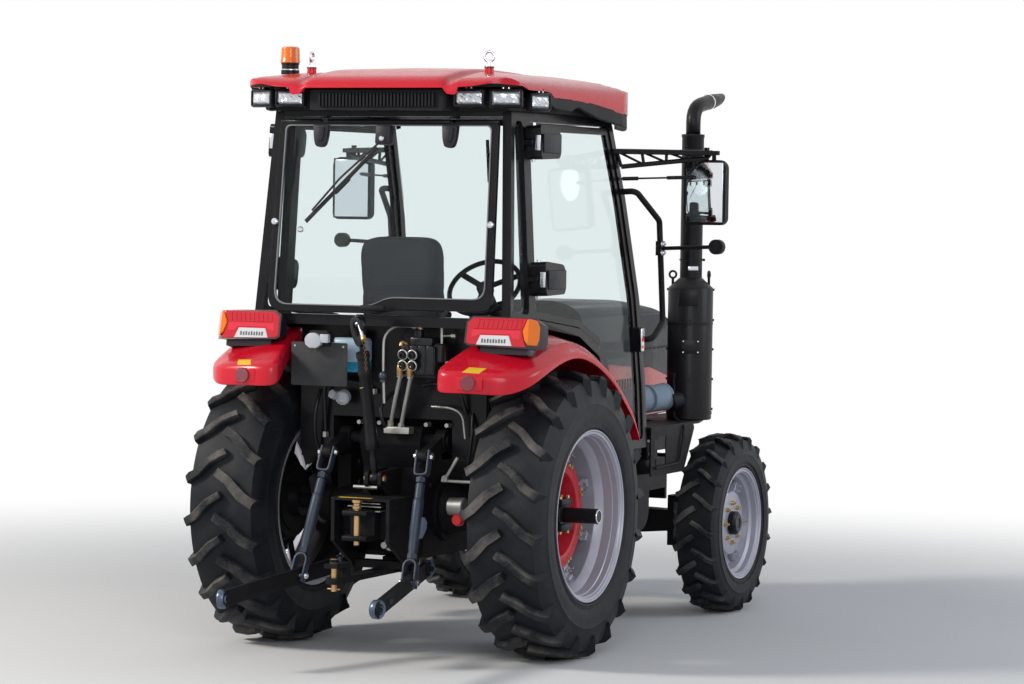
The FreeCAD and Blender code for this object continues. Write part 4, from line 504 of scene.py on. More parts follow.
rim_silver = finish("rim_silver", (0.46, 0.46, 0.53), rough=0.4, metal=0.35, dust=0.16, mottle=0.15, grain=600,
                    relief=0.08, coat=0.1)
disc_red = finish("disc_red", (0.6, 0.008, 0.024), rough=0.32, dust=0.1, mottle=0.15, coat=0.2)
zinc_yellow = finish("zinc_yellow", (0.62, 0.47, 0.24), rough=0.35, metal=0.8, dust=0.1)
bar_black = finish("bar_black", (0.008, 0.008, 0.01), rough=0.36, dust=0.06, mottle=0.3, coat=0.06, gloss=0.18)
bright_steel = finish("bright_steel", (0.62, 0.63, 0.65), rough=0.25, metal=0.9, dust=0.1)
rear_rim_section = [(-0.208, 0.456), (-0.2, 0.456), (-0.194, 0.432), (-0.12, 0.432), (-0.095, 0.398),
                    (0.06, 0.398), (0.1, 0.428), (0.194, 0.432), (0.2, 0.456), (0.208, 0.456), (0.2095, 0.452),
                    (0.2075, 0.4475), (0.2015, 0.4455), (0.2, 0.434), (0.196, 0.4315), (0.188, 0.43),
                    (0.186, 0.425), (0.156, 0.4235), (0.153, 0.4195), (0.104, 0.4175), (0.066, 0.39),
                    (0.06, 0.3885), (0.052, 0.3905), (-0.098, 0.39), (-0.124, 0.424), (-0.2, 0.424),
                    (-0.208, 0.448)]
# Painted shade: black for the inboard faces of the rear rims, discs and hub plates, standing in for the shadow
# inside the wheels.
painted_shade_inside = finish("wheel_inside_painted_shade", (0.008, 0.008, 0.01), rough=0.5, dust=0.12, mottle=0.3, gloss=0.12)


def paint_inside_shade(piece, y):
    """Paints shade on what lies inboard of the disc: black that stands in for the shadow inside the wheel."""
    piece.data.materials.append(painted_shade_inside)
    for face in piece.data.polygons:
        inboard = (face.center.y - y) * math.copysign(1, y)
        facing = face.normal.y * math.copysign(1, y)
        # On the left wheel the painted shade reaches further out along the barrel than on the right.
        barrel = inboard < (-0.115 if y < 0 else -0.02) and facing < 0.5 and (inboard > -0.195 or facing > -0.5)
        if barrel or facing < -0.5 and inboard > -0.195:
            face.material_index = 1


for side, y in (("left", 0.8125), ("right", -0.8125)):
    body = f"rear_wheel_{side}"
    bm = bmesh.new()
    spin_ring(bm, rear_rim_section, 96)
    for i in range(8):
        turn = Matrix.Rotation(math.tau * (i + 0.5) / 8, 4, "Y")
        slab(bm, (-0.03, 0.006, 0.262), (0.03, 0.0178, 0.394), 0.003, turn)
        slab(bm, (-0.026, 0.002, 0.366), (0.026, 0.04, 0.391), 0.008, turn)
    rim = piece_of(f"rear_rim_barrel_{side}", set_wheel(bm, 0, y, 0.765), rim_silver, body=body)
    # The inboard faces of the rim, the disc and the hub plate below get painted shade.
    paint_inside_shade(rim, y)
    bm = bmesh.new()
    spin_ring(bm, [(0.018, 0.291), (0.03, 0.291), (0.032, 0.286), (0.032, 0.232), (0.028, 0.224),
                   (-0.046, 0.198), (-0.052, 0.19), (-0.052, 0.152), (-0.056, 0.149), (-0.064, 0.149),
                   (-0.064, 0.204), (0.018, 0.236)], 96)
    disc = piece_of(f"rear_disc_{side}", set_wheel(bm, 0, y, 0.765), disc_red, body=body)
    paint_inside_shade(disc, y)
    bm = bmesh.new()
    spin_ring(bm, [(-0.074, 0.165), (-0.064, 0.165), (-0.0635, 0.149), (-0.058, 0.147), (-0.058, 0.096),
                   (-0.074, 0.09)], 64)
    hub = piece_of(f"rear_hub_plate_{side}", set_wheel(bm, 0, y, 0.765), rim_silver, body=body)
    paint_inside_shade(hub, y)
    bm = bmesh.new()
    for i in range(8):
        for step in (-0.016, 0.016):
            at = Matrix.Rotation(math.tau * (i + 0.5) / 8, 3, "Y") @ Vector((step, 0.032, 0.27))
            stud(bm, at, (0, 1, 0), 0.011, 0.014)
        at = Matrix.Rotation(math.tau * i / 8, 3, "Y") @ Vector((0, -0.058, 0.123))
        stud(bm, at, (0, 1, 0), 0.0125, 0.004, 16)
        stud(bm, at, (0, 1, 0), 0.0105, 0.018)
    for high in (0.066, -0.066):
        for x in (-0.05, 0.05):
            for across in (0.012, 0.05):
                stud(bm, (x, across, high + (0.02 if high > 0 else -0.02)), (0, 0, 1 if high > 0 else -1),
                     0.011, 0.014)
    piece_of(f"rear_wheel_bolts_{side}", set_wheel(bm, 0, y, 0.765), zinc_yellow, body=body)
    bm = bmesh.new()
    spin_ring(bm, [(-0.256, 0.0), (-0.256, 0.0405), (-0.124, 0.0405), (-0.124, 0.08), (-0.074, 0.09),
                   (-0.06, 0.0945), (-0.01, 0.0945), (-0.006, 0.092), (0.006, 0.078), (0.052, 0.074),
                   (0.056, 0.07), (0.056, 0.0405), (0.246, 0.0405), (0.2515, 0.036), (0.2515, 0.0)], 48)
    slab(bm, (-0.07, -0.051, 0.046), (0.07, 0.07, 0.086), 0.005)
    slab(bm, (-0.07, -0.051, -0.086), (0.07, 0.07, -0.046), 0.005)
    bar_axle = piece_of(f"rear_bar_axle_{side}", set_wheel(bm, 0, y, 0.765), bar_black, body=body)
    bm = bmesh.new()
    spin_ring(bm, [(0.25, 0.031), (0.25, 0.0375), (0.253, 0.0365), (0.253, 0.031)], 40)
    for i in range(8):
        for step in (-0.015, 0.015):
            at = Matrix.Rotation(math.tau * (i + 0.5) / 8, 3, "Y") @ Vector((step, 0.017, 0.327))
            stud(bm, at, (0, 1, 0), 0.0115, 0.012)
            stud(bm, at, (0, 1, 0), 0.0065, 0.034, 12)
    piece_of(f"rear_bar_end_{side}", set_wheel(bm, 0, y, 0.765), bright_steel, body=body)
    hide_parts(f"rear_rim_{side}")
    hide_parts(f"rear_hub_{side}")

# Front wheels: one-piece rims rolled and welded from steel, sprayed silver, with a dished disc.
# Zinc nuts hold the disc round the hub, and a black cast cap closes the reduction gear in it.
front_rim_section = [(-0.118, 0.329), (-0.11, 0.329), (-0.105, 0.305), (-0.062, 0.305), (-0.048, 0.279),
                     (0.03, 0.279), (0.06, 0.301), (0.105, 0.305), (0.11, 0.329), (0.118, 0.329),
                     (0.1195, 0.326), (0.1175, 0.3215), (0.112, 0.3195), (0.111, 0.308), (0.107, 0.305),
                     (0.1, 0.303), (0.098, 0.298), (0.07, 0.296), (0.066, 0.29), (0.058, 0.2755), (0.02, 0.27),
                     (0.006, 0.262), (0.002, 0.25), (0.002, 0.193), (0.04, 0.189), (0.05, 0.186), (0.052, 0.18),
                     (0.052, 0.0705), (0.042, 0.0705), (0.042, 0.179), (-0.008, 0.19), (-0.008, 0.256),
                     (0.008, 0.266), (-0.05, 0.271), (-0.066, 0.297), (-0.111, 0.297), (-0.118, 0.321)]
for side, y in (("left", 0.85), ("right", -0.85)):
    body = f"front_wheel_{side}"
    bm = bmesh.new()
    spin_ring(bm, front_rim_section, 96)
    for i in range(6):
        turn = Matrix.Rotation(math.tau * (i + 0.5) / 6, 4, "Y")
        slab(bm, (-0.022, 0.0, 0.188), (0.022, 0.036, 0.262), 0.006, turn)
        for step in (0.207, 0.24):
            at = turn @ Vector((0, 0.036, step))
            stud(bm, at, (0, 1, 0), 0.0125, 0.012)
            stud(bm, at, (0, 1, 0), 0.007, 0.026, 12)
    rim = piece_of(f"front_rim_dish_{side}", set_wheel(bm, wheelbase, y, 0.53), rim_silver, body=body)
    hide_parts(f"front_rim_{side}")
    bm = bmesh.new()
    for i in range(8):
        at = Matrix.Rotation(math.tau * i / 8, 3, "Y") @ Vector((0, 0.052, 0.118))
        stud(bm, at, (0, 1, 0), 0.015, 0.004, 16)
        stud(bm, at, (0, 1, 0), 0.0125, 0.02)
        stud(bm, at, (0, 1, 0), 0.006, 0.03, 12)
    piece_of(f"front_wheel_nuts_{side}", set_wheel(bm, wheelbase, y, 0.53), zinc_yellow,
             body=body)
    bm = bmesh.new()
    spin_ring(bm, [(-0.105, 0.0), (-0.105, 0.118), (-0.07, 0.125), (0.042, 0.125), (0.042, 0.07),
                   (0.082, 0.0695), (0.086, 0.067), (0.094, 0.058), (0.098, 0.052), (0.098, 0.03),
                   (0.094, 0.028), (0.094, 0.0)], 48)
    for i in range(6):
        at = Matrix.Rotation(math.tau * i / 6, 3, "Y") @ Vector((0, 0.082, 0.06))
        stud(bm, at, (0, 1, 0), 0.006, 0.01)
    hub = piece_of(f"front_hub_cap_{side}", set_wheel(bm, wheelbase, y, 0.53), bar_black,
                   body=body)
    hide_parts(f"front_hub_{side}")

# Fenders: thick moulded sheet in red gloss, crowned over the wheel and rolled down into a skirt at the
# back. A slanting band stiffens the outer edge; the inner edge is bolted to the black wheelhouse wall of
# the cab.
def outward(line, i):
    """Unit normal of an open line of (x, z) points at its point i, away from the wheel."""
    (x0, z0), (x1, z1) = line[max(i - 1, 0)], line[min(i + 1, len(line) - 1)]
    length = math.hypot(x1 - x0, z1 - z0)
    return Vector(((z1 - z0) / length, 0, (x0 - x1) / length))


def laid_on(name, target, corners, way, material, lift=0.0006, cuts=7):
    """A thin sticker: four corners cast along a direction on to a finished piece, then lifted a hair."""
    bm = bmesh.new()
    bpy.context.view_layer.update()
    base = target.evaluated_get(bpy.context.evaluated_depsgraph_get())
    way = Vector(way).normalized()
    a, b, c, d = (Vector(corner) for corner in corners)
    rows = []
    for i in range(cuts + 1):
        row = []
        for j in range(cuts + 1):
            start = a.lerp(b, i / cuts).lerp(d.lerp(c, i / cuts), j / cuts)
            found, place, *_ = base.ray_cast(start + axle, way)
            row.append(bm.verts.new((place - axle if found else start) - way * lift))
        rows.append(row)
    for low, high in zip(rows, rows[1:]):
        for j in range(cuts):
            bm.faces.new((low[j], low[j + 1], high[j + 1], high[j]))
    return piece_of(name, bm, material)


def pull_out(bm, faces, by):
    """Gives flat faces a thickness by pulling a copy of them out."""
    made = bmesh.ops.extrude_face_region(bm, geom=faces)["geom"]
    bmesh.ops.translate(bm, vec=by, verts=[v for v in made if isinstance(v, bmesh.types.BMVert)])


def posed(at, degrees, axis):
    """The matrix that turns a piece about one axis and sets it at a point."""
    return Matrix.Translation(at) @ Matrix.Rotation(math.radians(degrees), 4, axis)


wall_black = finish("wheelhouse_black", (0.008, 0.008, 0.009), rough=0.5, dust=0.12, mottle=0.3, grain=500,
                    relief=0.2, dust_colour=(0.04, 0.036, 0.032), gloss=0.1)
sticker_yellow = finish("sticker_yellow", (0.85, 0.55, 0.03), rough=0.45, dust=0.05, mottle=0.05)
reflector_red = finish("reflector_red", (0.22, 0.012, 0.03), rough=0.25, dust=0.12, grain=2200, relief=0.5,
                       coat=0.7)
fender_in = 0.555
both_sides = (("left", 1), ("right", -1))
# columns: x and height at the inner edge and at the outer edge, inner and outer distance from the middle
fender_rows = [(0.744, 1.122, 0.744, 1.122, 0.587, 0.938), (0.724, 1.21, 0.716, 1.206, 0.587, 0.936),
               (0.664, 1.335, 0.655, 1.318, 0.587, 0.934), (0.56, 1.455, 0.545, 1.422, 0.587, 0.93),
               (0.42, 1.573, 0.41, 1.514, 0.587, 0.926), (0.28, 1.655, 0.27, 1.59, 0.587, 0.92),
               (0.14, 1.716, 0.13, 1.648, 0.587, 0.914), (-0.06, 1.768, -0.06, 1.694, 0.587, 0.906),
               (-0.26, 1.744, -0.25, 1.672, 0.587, 0.902), (-0.4, 1.697, -0.38, 1.638, 0.572, 0.898),
               (-0.52, 1.657, -0.49, 1.61, 0.545, 0.89), (-0.64, 1.61, -0.57, 1.584, 0.516, 0.872),
               (-0.706, 1.574, -0.634, 1.562, 0.498, 0.83)]
fender_shares = [0.0, 0.05, 0.3, 0.6, 0.9, 1.0]
rear_bow = [0.0, 0.004, 0.014, 0.012, 0.01, 0.0]
outer_edge = [(0.006, 0.002), (0.052, 0.046), (0.059, 0.056), (0.06, 0.066), (0.06, 0.086)]
rear_edge = [(0.014, 0.004), (0.058, 0.026), (0.076, 0.046), (0.08, 0.072), (0.08, 0.146)]
inner_edge = [(0.016, 0.003), (0.028, 0.014), (0.032, 0.03), (0.032, 0.05), (0.032, 0.105)]
front_fade = [0.2, 0.45, 0.8, 1.0]


def mixed(first, second, share):
    return [(a + (c - a) * share, b + (d - b) * share) for (a, b), (c, d) in zip(first, second)]


for side, flip in both_sides:
    bm = bmesh.new()
    rows = []
    inner_line, outer_line = [row[0:2] for row in fender_rows], [row[2:4] for row in fender_rows]
    for i, (xi, zi, xo, zo, yi, yo) in enumerate(fender_rows):
        start, end = Vector((xi, yi, zi)), Vector((xo, yo, zo))
        row = []
        for share, bow in zip(fender_shares, rear_bow):
            bowed = bow * max(0.0, (i - 9) / 3)
            row.append(bm.verts.new(start.lerp(end,
                                               share) + Vector((-bowed, 0, 0.008 * math.sin(math.pi * share)))))
        rows.append(row)
    for low, high in zip(rows, rows[1:]):
        for j in range(len(fender_shares) - 1):
            bm.faces.new((low[j], low[j + 1], high[j + 1], high[j]))
    last = len(rows) - 1
    border = []
    for i, row in enumerate(rows):
        fade = front_fade[i] if i < 4 else 1.0
        blend = between([(0, 0.0), (last - 3, 0.0), (last, 0.55)], i)
        heading = Vector((-0.75 * blend, 1, 0)).normalized()
        border.append((row[-1], heading, outward(outer_line, i), mixed(outer_edge, rear_edge, blend), fade))
    for share, vert in list(zip(fender_shares, rows[last]))[-2:0:-1]:
        heading = Vector((-1, 0.45 * share * share, 0)).normalized()
        border.append((vert, heading, Vector((0, 0, 1)), rear_edge, 1.0))
    for i in range(last, -1, -1):
        fade = front_fade[i] if i < 4 else 1.0
        blend = between([(0, 0.0), (last - 1, 0.0), (last, 0.75)], i)
        heading = Vector((-1.1 * blend, -1, 0)).normalized()
        border.append((rows[i][0], heading, outward(inner_line, i), mixed(inner_edge, rear_edge, blend), fade))
    ring = [vert for vert, *_ in border]
    for level in range(5):
        after = []
        for vert, heading, up, edge, fade in border:
            out, drop = edge[level]
            if up.z > 0.85:
                up = Vector((0, 0, 1))
            after.append(bm.verts.new(vert.co + heading * out - up * drop * fade))
        for i in range(len(ring) - 1):
            bm.faces.new((ring[i], ring[i + 1], after[i + 1], after[i]))
        ring = after
    bmesh.ops.recalc_face_normals(bm, faces=bm.faces)
    bmesh.ops.solidify(bm, geom=bm.faces[:], thickness=0.006)
    bmesh.ops.transform(bm, matrix=Matrix.Diagonal((1, flip, 1, 1)), verts=bm.verts)
    arch = piece_of(f"fender_arch_{side}", bm, panel_red, 60)
    smooth = arch.modifiers.new("Crowned", "SUBSURF")
    smooth.levels = smooth.render_levels = 2
    if side == "left":
        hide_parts("fenders")
    bm = bmesh.new()
    wall = [(0.733, 1.12), (0.733, 1.081), (-0.3, 1.081), (-0.3, 1.66), (-0.12, 1.764), (0.14, 1.704),
            (0.42, 1.564), (0.655, 1.33)]
    face = bm.faces.new([bm.verts.new((x, (fender_in - 0.008) * flip, z)) for x, z in wall])
    pull_out(bm, [face], (0, 0.008 * flip, 0))
    piece_of(f"wheelhouse_wall_{side}", bm, wall_black)
    skirt = posed((-0.77, 0.652 * flip, 1.486), -5.0 * flip, "Z")
    bm = bmesh.new()
    slab(bm, (-0.005, -0.076, -0.036), (0.004, 0.062, 0.032), 0.003, skirt)
    piece_of(f"reflector_pad_{side}", bm, panel_red)
    bm = bmesh.new()
    spin_ring(bm, [(0.006, 0.0), (0.006, 0.04), (0.013, 0.04), (0.016, 0.037), (0.0165, 0.0)], 40)
    bmesh.ops.transform(bm, matrix=skirt @ Matrix.Rotation(math.pi / 2, 4, "Z"), verts=bm.verts)
    piece_of(f"reflector_disc_{side}", bm, reflector_red)
    laid_on(f"fender_sticker_{side}", arch, [
        (-0.9, y * flip, z) for y, z in ((0.612, 1.54), (0.7, 1.536), (0.722, 1.562), (0.634, 1.566))],
        (1, 0, 0), sticker_yellow)

# Tail lamps: moulded clusters on a dark housing, with a ribbed red lens, a plain red band and a clear
# window; the amber lens wraps round the outer corner. Each stands on a plate foot screwed to the fender.
lamp_shell = finish("lamp_shell", (0.02, 0.012, 0.02), rough=0.35, dust=0.08, coat=0.2)
lens_red = finish("lens_red", (0.62, 0.004, 0.02), rough=0.16, dust=0.03, mottle=0.1, relief=0.02, coat=0.4)
lens_red_light = finish("lens_red_light", (0.8, 0.02, 0.05), rough=0.2, dust=0.03, mottle=0.1, coat=0.4)
lens_amber = finish("lens_amber", (0.95, 0.2, 0.004), rough=0.2, dust=0.03, mottle=0.25, coat=0.4)
lens_white = finish("lens_white", (0.72, 0.74, 0.76), rough=0.15, metal=0.35, dust=0.04, coat=0.9)
cell_dark = finish("lens_cell_dark", (0.1, 0.11, 0.12), rough=0.2, dust=0.0, coat=0.9)
lamp_fold = 0.12


def lamp_skin(across, height, out):
    """Point of the lamp's rear face, which turns forward at its outer corner; out is above the face."""
    if across <= lamp_fold:
        return Vector((-0.064 - out, across, height))
    beyond = across - lamp_fold
    return Vector((-0.064 - out + beyond * 0.86, lamp_fold + beyond * 0.51 + out * 0.41, height))


def lens(bm, outline, base, out, taper=0.003):
    """A raised lens over an outline on the lamp's face, its sides leaning in a little."""
    middle = Vector((sum(a for a, h in outline) / len(outline), sum(h for a, h in outline) / len(outline)))
    ring = []
    for i, point in enumerate(outline):
        point, after = Vector(point), Vector(outline[(i + 1) % len(outline)])
        ring.append(point)
        if (point.x - lamp_fold) * (after.x - lamp_fold) < 0:
            ring.append(point.lerp(after, (lamp_fold - point.x) / (after.x - point.x)))
    low = [bm.verts.new(lamp_skin(p.x, p.y, base)) for p in ring]
    drawn = [p + (middle - p).normalized() * taper if abs(p.x - lamp_fold) > 1e-6 else
             Vector((p.x, p.y + math.copysign(taper, middle.y - p.y))) for p in ring]
    high = [bm.verts.new(lamp_skin(p.x, p.y, out)) for p in drawn]
    for i in range(len(ring)):
        j = (i + 1) % len(ring)
        bm.faces.new((low[i], low[j], high[j], high[i]))
    folds = [i for i, p in enumerate(ring) if abs(p.x - lamp_fold) < 1e-6]
    if len(folds) == 2:
        first, second = folds
        bm.faces.new(high[first:second + 1])
        bm.faces.new(high[second:] + high[:first + 1])
    else:
        bm.faces.new(high)


for side, flip in both_sides:
    place = posed((-0.505, 0.746 * flip, 1.735), 12, "Y") @ Matrix.Diagonal((1, 1.24 * flip, 1.22, 1))
    bm = bmesh.new()
    body = [(-0.168, -0.052), (-0.15, -0.064), (0.12, -0.072), (0.185, -0.066), (0.19, -0.03), (0.184, 0.046),
            (0.16, 0.064), (-0.138, 0.064), (-0.166, 0.038)]
    rear = [lamp_skin(a, h, 0) for a, h in body]
    front = [Vector((0.052, a * 0.9, h * 0.86)) for a, h in body]
    low, high = [bm.verts.new(p) for p in rear], [bm.verts.new(p) for p in front]
    for i in range(len(body)):
        j = (i + 1) % len(body)
        bm.faces.new((low[i], low[j], high[j], high[i]))
    bmesh.ops.holes_fill(bm, edges=[e for e in bm.edges if len(e.link_faces) == 1], sides=0)
    bmesh.ops.triangulate(bm, faces=[f for f in bm.faces if len(f.verts) > 4])
    slab(bm, (-0.02, -0.11, -0.094), (0.08, 0.11, -0.03), 0.006)
    bmesh.ops.transform(bm, matrix=place, verts=bm.verts)
    shell = piece_of(f"tail_lamp_shell_{side}", bm, lamp_shell)
    if side == "left":
        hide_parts("tail_lamps")
    bm = bmesh.new()
    lens(bm, [(-0.16, -0.048), (-0.146, -0.058), (0.116, -0.066), (0.104, -0.04), (0.09, 0.004), (0.11, 0.057),
              (-0.134, 0.057), (-0.158, 0.034)], 0, 0.003)
    for i in range(10):
        start = -0.128 + 0.0215 * i
        lens(bm, [(start, 0.008), (start + 0.0195, 0.008), (start + 0.0265, 0.05), (start + 0.007, 0.05)],
             0.0028, 0.0052, 0.0024)
    bmesh.ops.transform(bm, matrix=place, verts=bm.verts)
    piece_of(f"tail_lens_red_{side}", bm, lens_red, 20)
    bm = bmesh.new()
    lens(bm, [(-0.138, -0.03), (-0.11, -0.022), (-0.098, -0.012), (0.04, -0.012), (0.052, -0.03),
              (0.084, -0.034), (0.086, 0.004), (-0.138, 0.004)], 0.0028, 0.0046, 0.0015)
    bmesh.ops.transform(bm, matrix=place, verts=bm.verts)
    piece_of(f"tail_lens_band_{side}", bm, lens_red_light, 20)
    bm = bmesh.new()
    lens(bm, [(-0.112, -0.061), (0.052, -0.063), (0.034, -0.018), (-0.096, -0.018)], 0.0028, 0.0058, 0.004)
    bmesh.ops.transform(bm, matrix=place, verts=bm.verts)
    piece_of(f"tail_lens_clear_{side}", bm, lens_white, 20)
    bm = bmesh.new()
    for i in range(9):
        start = -0.088 + 0.0128 * i
        lens(bm, [(start, -0.052), (start + 0.0085, -0.052), (start + 0.0085, -0.034 - 0.004 * (i % 2)),
                  (start, -0.034)], 0.0056, 0.0064, 0.0008)
    bmesh.ops.transform(bm, matrix=place, verts=bm.verts)
    piece_of(f"tail_lens_cells_{side}", bm, cell_dark, 20)
    bm = bmesh.new()
    lens(bm, [(0.092, 0.004), (0.106, -0.038), (0.122, -0.056), (0.176, -0.052), (0.185, -0.024), (0.183, 0.03),
              (0.166, 0.055), (0.112, 0.057)], 0, 0.006, 0.004)
    bmesh.ops.transform(bm, matrix=place, verts=bm.verts)
    piece_of(f"tail_lens_amber_{side}", bm, lens_amber, 20)

# Roof: a moulded shell in red gloss, crowned in the middle between two grooves, with a lip that hangs in
# two tabs beside the grille and lifts over the lamp bays. It is bolted to the cab from above.
def soft_min(a, b, width):
    """The lower of two values, rounded where they cross."""
    share = max(0.0, min(1.0, 0.5 + (b - a) / (2 * width)))
    return b + (a - b) * share - width * share * (1 - share)


roof_line = [(-0.602, 2.995), (-0.598, 3.012), (-0.58, 3.035), (-0.545, 3.056), (-0.5, 3.068), (-0.33, 3.098),
             (-0.06, 3.124), (0.06, 3.128), (0.4, 3.116), (0.76, 3.088), (1.0, 3.03), (1.16, 2.985),
             (1.228, 2.955), (1.236, 2.93)]
roof_brow = [(0.0, 3.13), (0.38, 3.118), (0.56, 3.1), (0.7, 3.072), (0.77, 3.045), (0.8, 3.02), (0.8095, 2.996)]
roof_under = [(-0.62, 3.006), (-0.15, 3.0), (-0.1, 2.955), (0.43, 2.9325), (1.14, 2.8665), (1.3, 2.8625)]
roof_back = [(0.0, -0.6), (0.56, -0.598), (0.64, -0.588), (0.7, -0.566), (0.745, -0.535), (0.78, -0.495),
             (0.8, -0.455), (0.81, -0.41)]
roof_fore = [(0.0, 1.235), (0.4, 1.228), (0.56, 1.195), (0.68, 1.14), (0.75, 1.075), (0.79, 0.985),
             (0.81, 0.88)]
# lip at the back, by distance from the middle, and along the sides, by distance ahead of the rear axle
lip_back = [(0.0, 2.998), (0.404, 2.998), (0.412, 2.984), (0.43, 2.966), (0.47, 2.962), (0.482, 2.968),
            (0.492, 3.0), (0.502, 3.018), (0.52, 3.023), (0.7, 3.02), (0.81, 3.01)]
lip_side = [(-0.46, 3.01), (-0.3, 3.004), (-0.15, 2.996), (-0.11, 2.978), (-0.08, 2.964), (0.15, 2.96),
            (0.26, 2.964), (0.34, 2.957), (0.6, 2.934), (0.9, 2.908), (1.0, 2.902), (1.3, 2.9)]
across_share = [0, 0.05, 0.12, 0.2, 0.28, 0.36, 0.42, 0.458, 0.48, 0.49, 0.5, 0.512, 0.53, 0.545, 0.56, 0.572,
                0.584, 0.592, 0.6, 0.608, 0.616, 0.626, 0.65, 0.7, 0.76, 0.82, 0.87, 0.91, 0.94, 0.965, 0.985,
                1.0]
across_share = [-s for s in reversed(across_share[1:])] + across_share
along_share = [0, 0.0025, 0.006, 0.012, 0.02, 0.03, 0.042, 0.056, 0.075, 0.1, 0.13, 0.16, 0.19, 0.22, 0.25,
               0.262, 0.272, 0.282, 0.292, 0.32, 0.36, 0.4, 0.45, 0.5, 0.56, 0.62, 0.68, 0.74, 0.8, 0.85, 0.9,
               0.93, 0.955, 0.975, 0.988, 0.995, 1.0]


def roof_point(along, across, inset=0.0):
    """Plan point of the roof for its shares of length and half width."""
    y = 0.8095 * across
    back, fore = between(roof_back, abs(y)) + inset, between(roof_fore, abs(y)) - inset
    return back + (fore - back) * along, y * (1 - inset / 0.81)


def roof_height(x, y, along):
    """Height of the shell: the crowned middle, a groove either side of it, then the lower lamp pods."""
    beside = abs(y)
    high = soft_min(between(roof_line, x), between(roof_brow, beside), 0.016)
    groove = between([(0.0, 0.0), (0.372, 0.0), (0.392, 0.004), (0.414, 0.026), (0.436, 0.03), (0.462, 0.016),
                      (0.486, 0.011), (0.62, 0.008), (0.81, 0.0)], beside)
    fade = between([(-0.62, 0.25), (-0.56, 0.8), (-0.5, 1.0), (0.3, 0.9), (0.85, 0.15), (1.0, 0.0), (1.3, 0.0)],
                   x)
    return high - groove * fade


bm = bmesh.new()
outer, inner = [], []
for u in along_share:
    row, low_row = [], []
    for s in across_share:
        x, y = roof_point(u, s)
        row.append(bm.verts.new((x, y, roof_height(x, y, u))))
        x, y = roof_point(u, s, 0.014)
        low_row.append(bm.verts.new((x, y, between(roof_under, x))))
    outer.append(row)
    inner.append(low_row)
for grid in (outer, inner):
    for low, high in zip(grid, grid[1:]):
        for j in range(len(across_share) - 1):
            bm.faces.new((low[j], low[j + 1], high[j + 1], high[j]))


def rim_of(grid):
    """The border of a grid as one closed ring."""
    return (grid[0] + [row[-1] for row in grid[1:]] + grid[-1][-2::-1] + [row[0] for row in grid[-2:0:-1]])


top_ring, under_ring = rim_of(outer), rim_of(inner)
lip_outer, lip_inner = [], []
for top, under in zip(top_ring, under_ring):
    x, y = top.co.x, abs(top.co.y)
    if x < -0.455:
        low = between(lip_back, y)
    else:
        low = between(lip_side, x)
    low = min(low, top.co.z - 0.004)
    lip_outer.append(bm.verts.new((top.co.x, top.co.y, low)))
    lip_inner.append(bm.verts.new((under.co.x, under.co.y, min(low + 0.002, under.co.z - 0.0005))))
rings = (top_ring, lip_outer, lip_inner, under_ring)
for first, second in zip(rings, rings[1:]):
    for i in range(len(first)):
        j = (i + 1) % len(first)
        bm.faces.new((first[i], first[j], second[j], second[i]))
bmesh.ops.recalc_face_normals(bm, faces=bm.faces)
shell = piece_of("roof_shell", bm, panel_red, 40)
shell.data.materials.append(moulded_black)
for face in shell.data.polygons:
    if face.normal.z < -0.6 and face.area > 0.0004:
        face.material_index = 1
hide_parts("roof")

# Roof trim: a black moulded strip pressed on under the red lip along both sides of the roof.
# It is deepest over the lamps at the back and over the front post, where it hides the edge of the cab.
for side, flip in both_sides:
    bm = bmesh.new()
    rings = []
    for step in range(41):
        x = -0.118 + (1.1 + 0.118) * step / 40
        y = 0.8095
        for share in [i / 200 for i in range(201)]:
            px, py = roof_point(1.0, 1 - share * 0.5)
            if px >= x > 0.87:
                y = py
                break
        top = between(lip_side, x) + 0.004
        deep = between([(-0.12, 0.06), (0.15, 0.072), (0.24, 0.046), (0.34, 0.058), (0.6, 0.082),
                        (1.12, 0.112)], x)
        low = max(top - deep, between(roof_under, x) - 0.055)
        section = ((y - 0.004, top), (y - 0.002, low + 0.006), (y - 0.008, low), (y - 0.06, low + 0.012),
                   (y - 0.06, top), (y - 0.016, top))
        rings.append([bm.verts.new((x, a * flip, h)) for a, h in section])
    for first, second in zip(rings, rings[1:]):
        for i in range(6):
            bm.faces.new((first[i], first[(i + 1) % 6], second[(i + 1) % 6], second[i]))
    bm.faces.new(rings[0])
    bm.faces.new(rings[-1])
    piece_of(f"roof_side_trim_{side}", bm, moulded_black, 40)

# Work lamps: round-cornered black housings, each on a bent steel bracket bolted to the roof.
# A clear cover is glued over a bright pressed reflector with facets round the bulb.
lamp_black = finish("lamp_black", (0.008, 0.008, 0.01), rough=0.38, dust=0.08, grain=700, relief=0.15,
                    coat=0.05, gloss=0.16)
reflector_bright = finish("lamp_reflector", (0.62, 0.65, 0.68), rough=0.24, metal=0.5, dust=0.02, mottle=0.5,
                          coat=0.2)


def cell_height(i, j):
    """An even scatter of facet heights, the same every time."""
    return ((i * 37 + j * 59 + i * j * 13) % 17) / 17


def set_new(bm, before, place):
    """Moves all that was drawn since the set of vertices was taken."""
    bmesh.ops.transform(bm, matrix=place, verts=[v for v in bm.verts if v not in before])


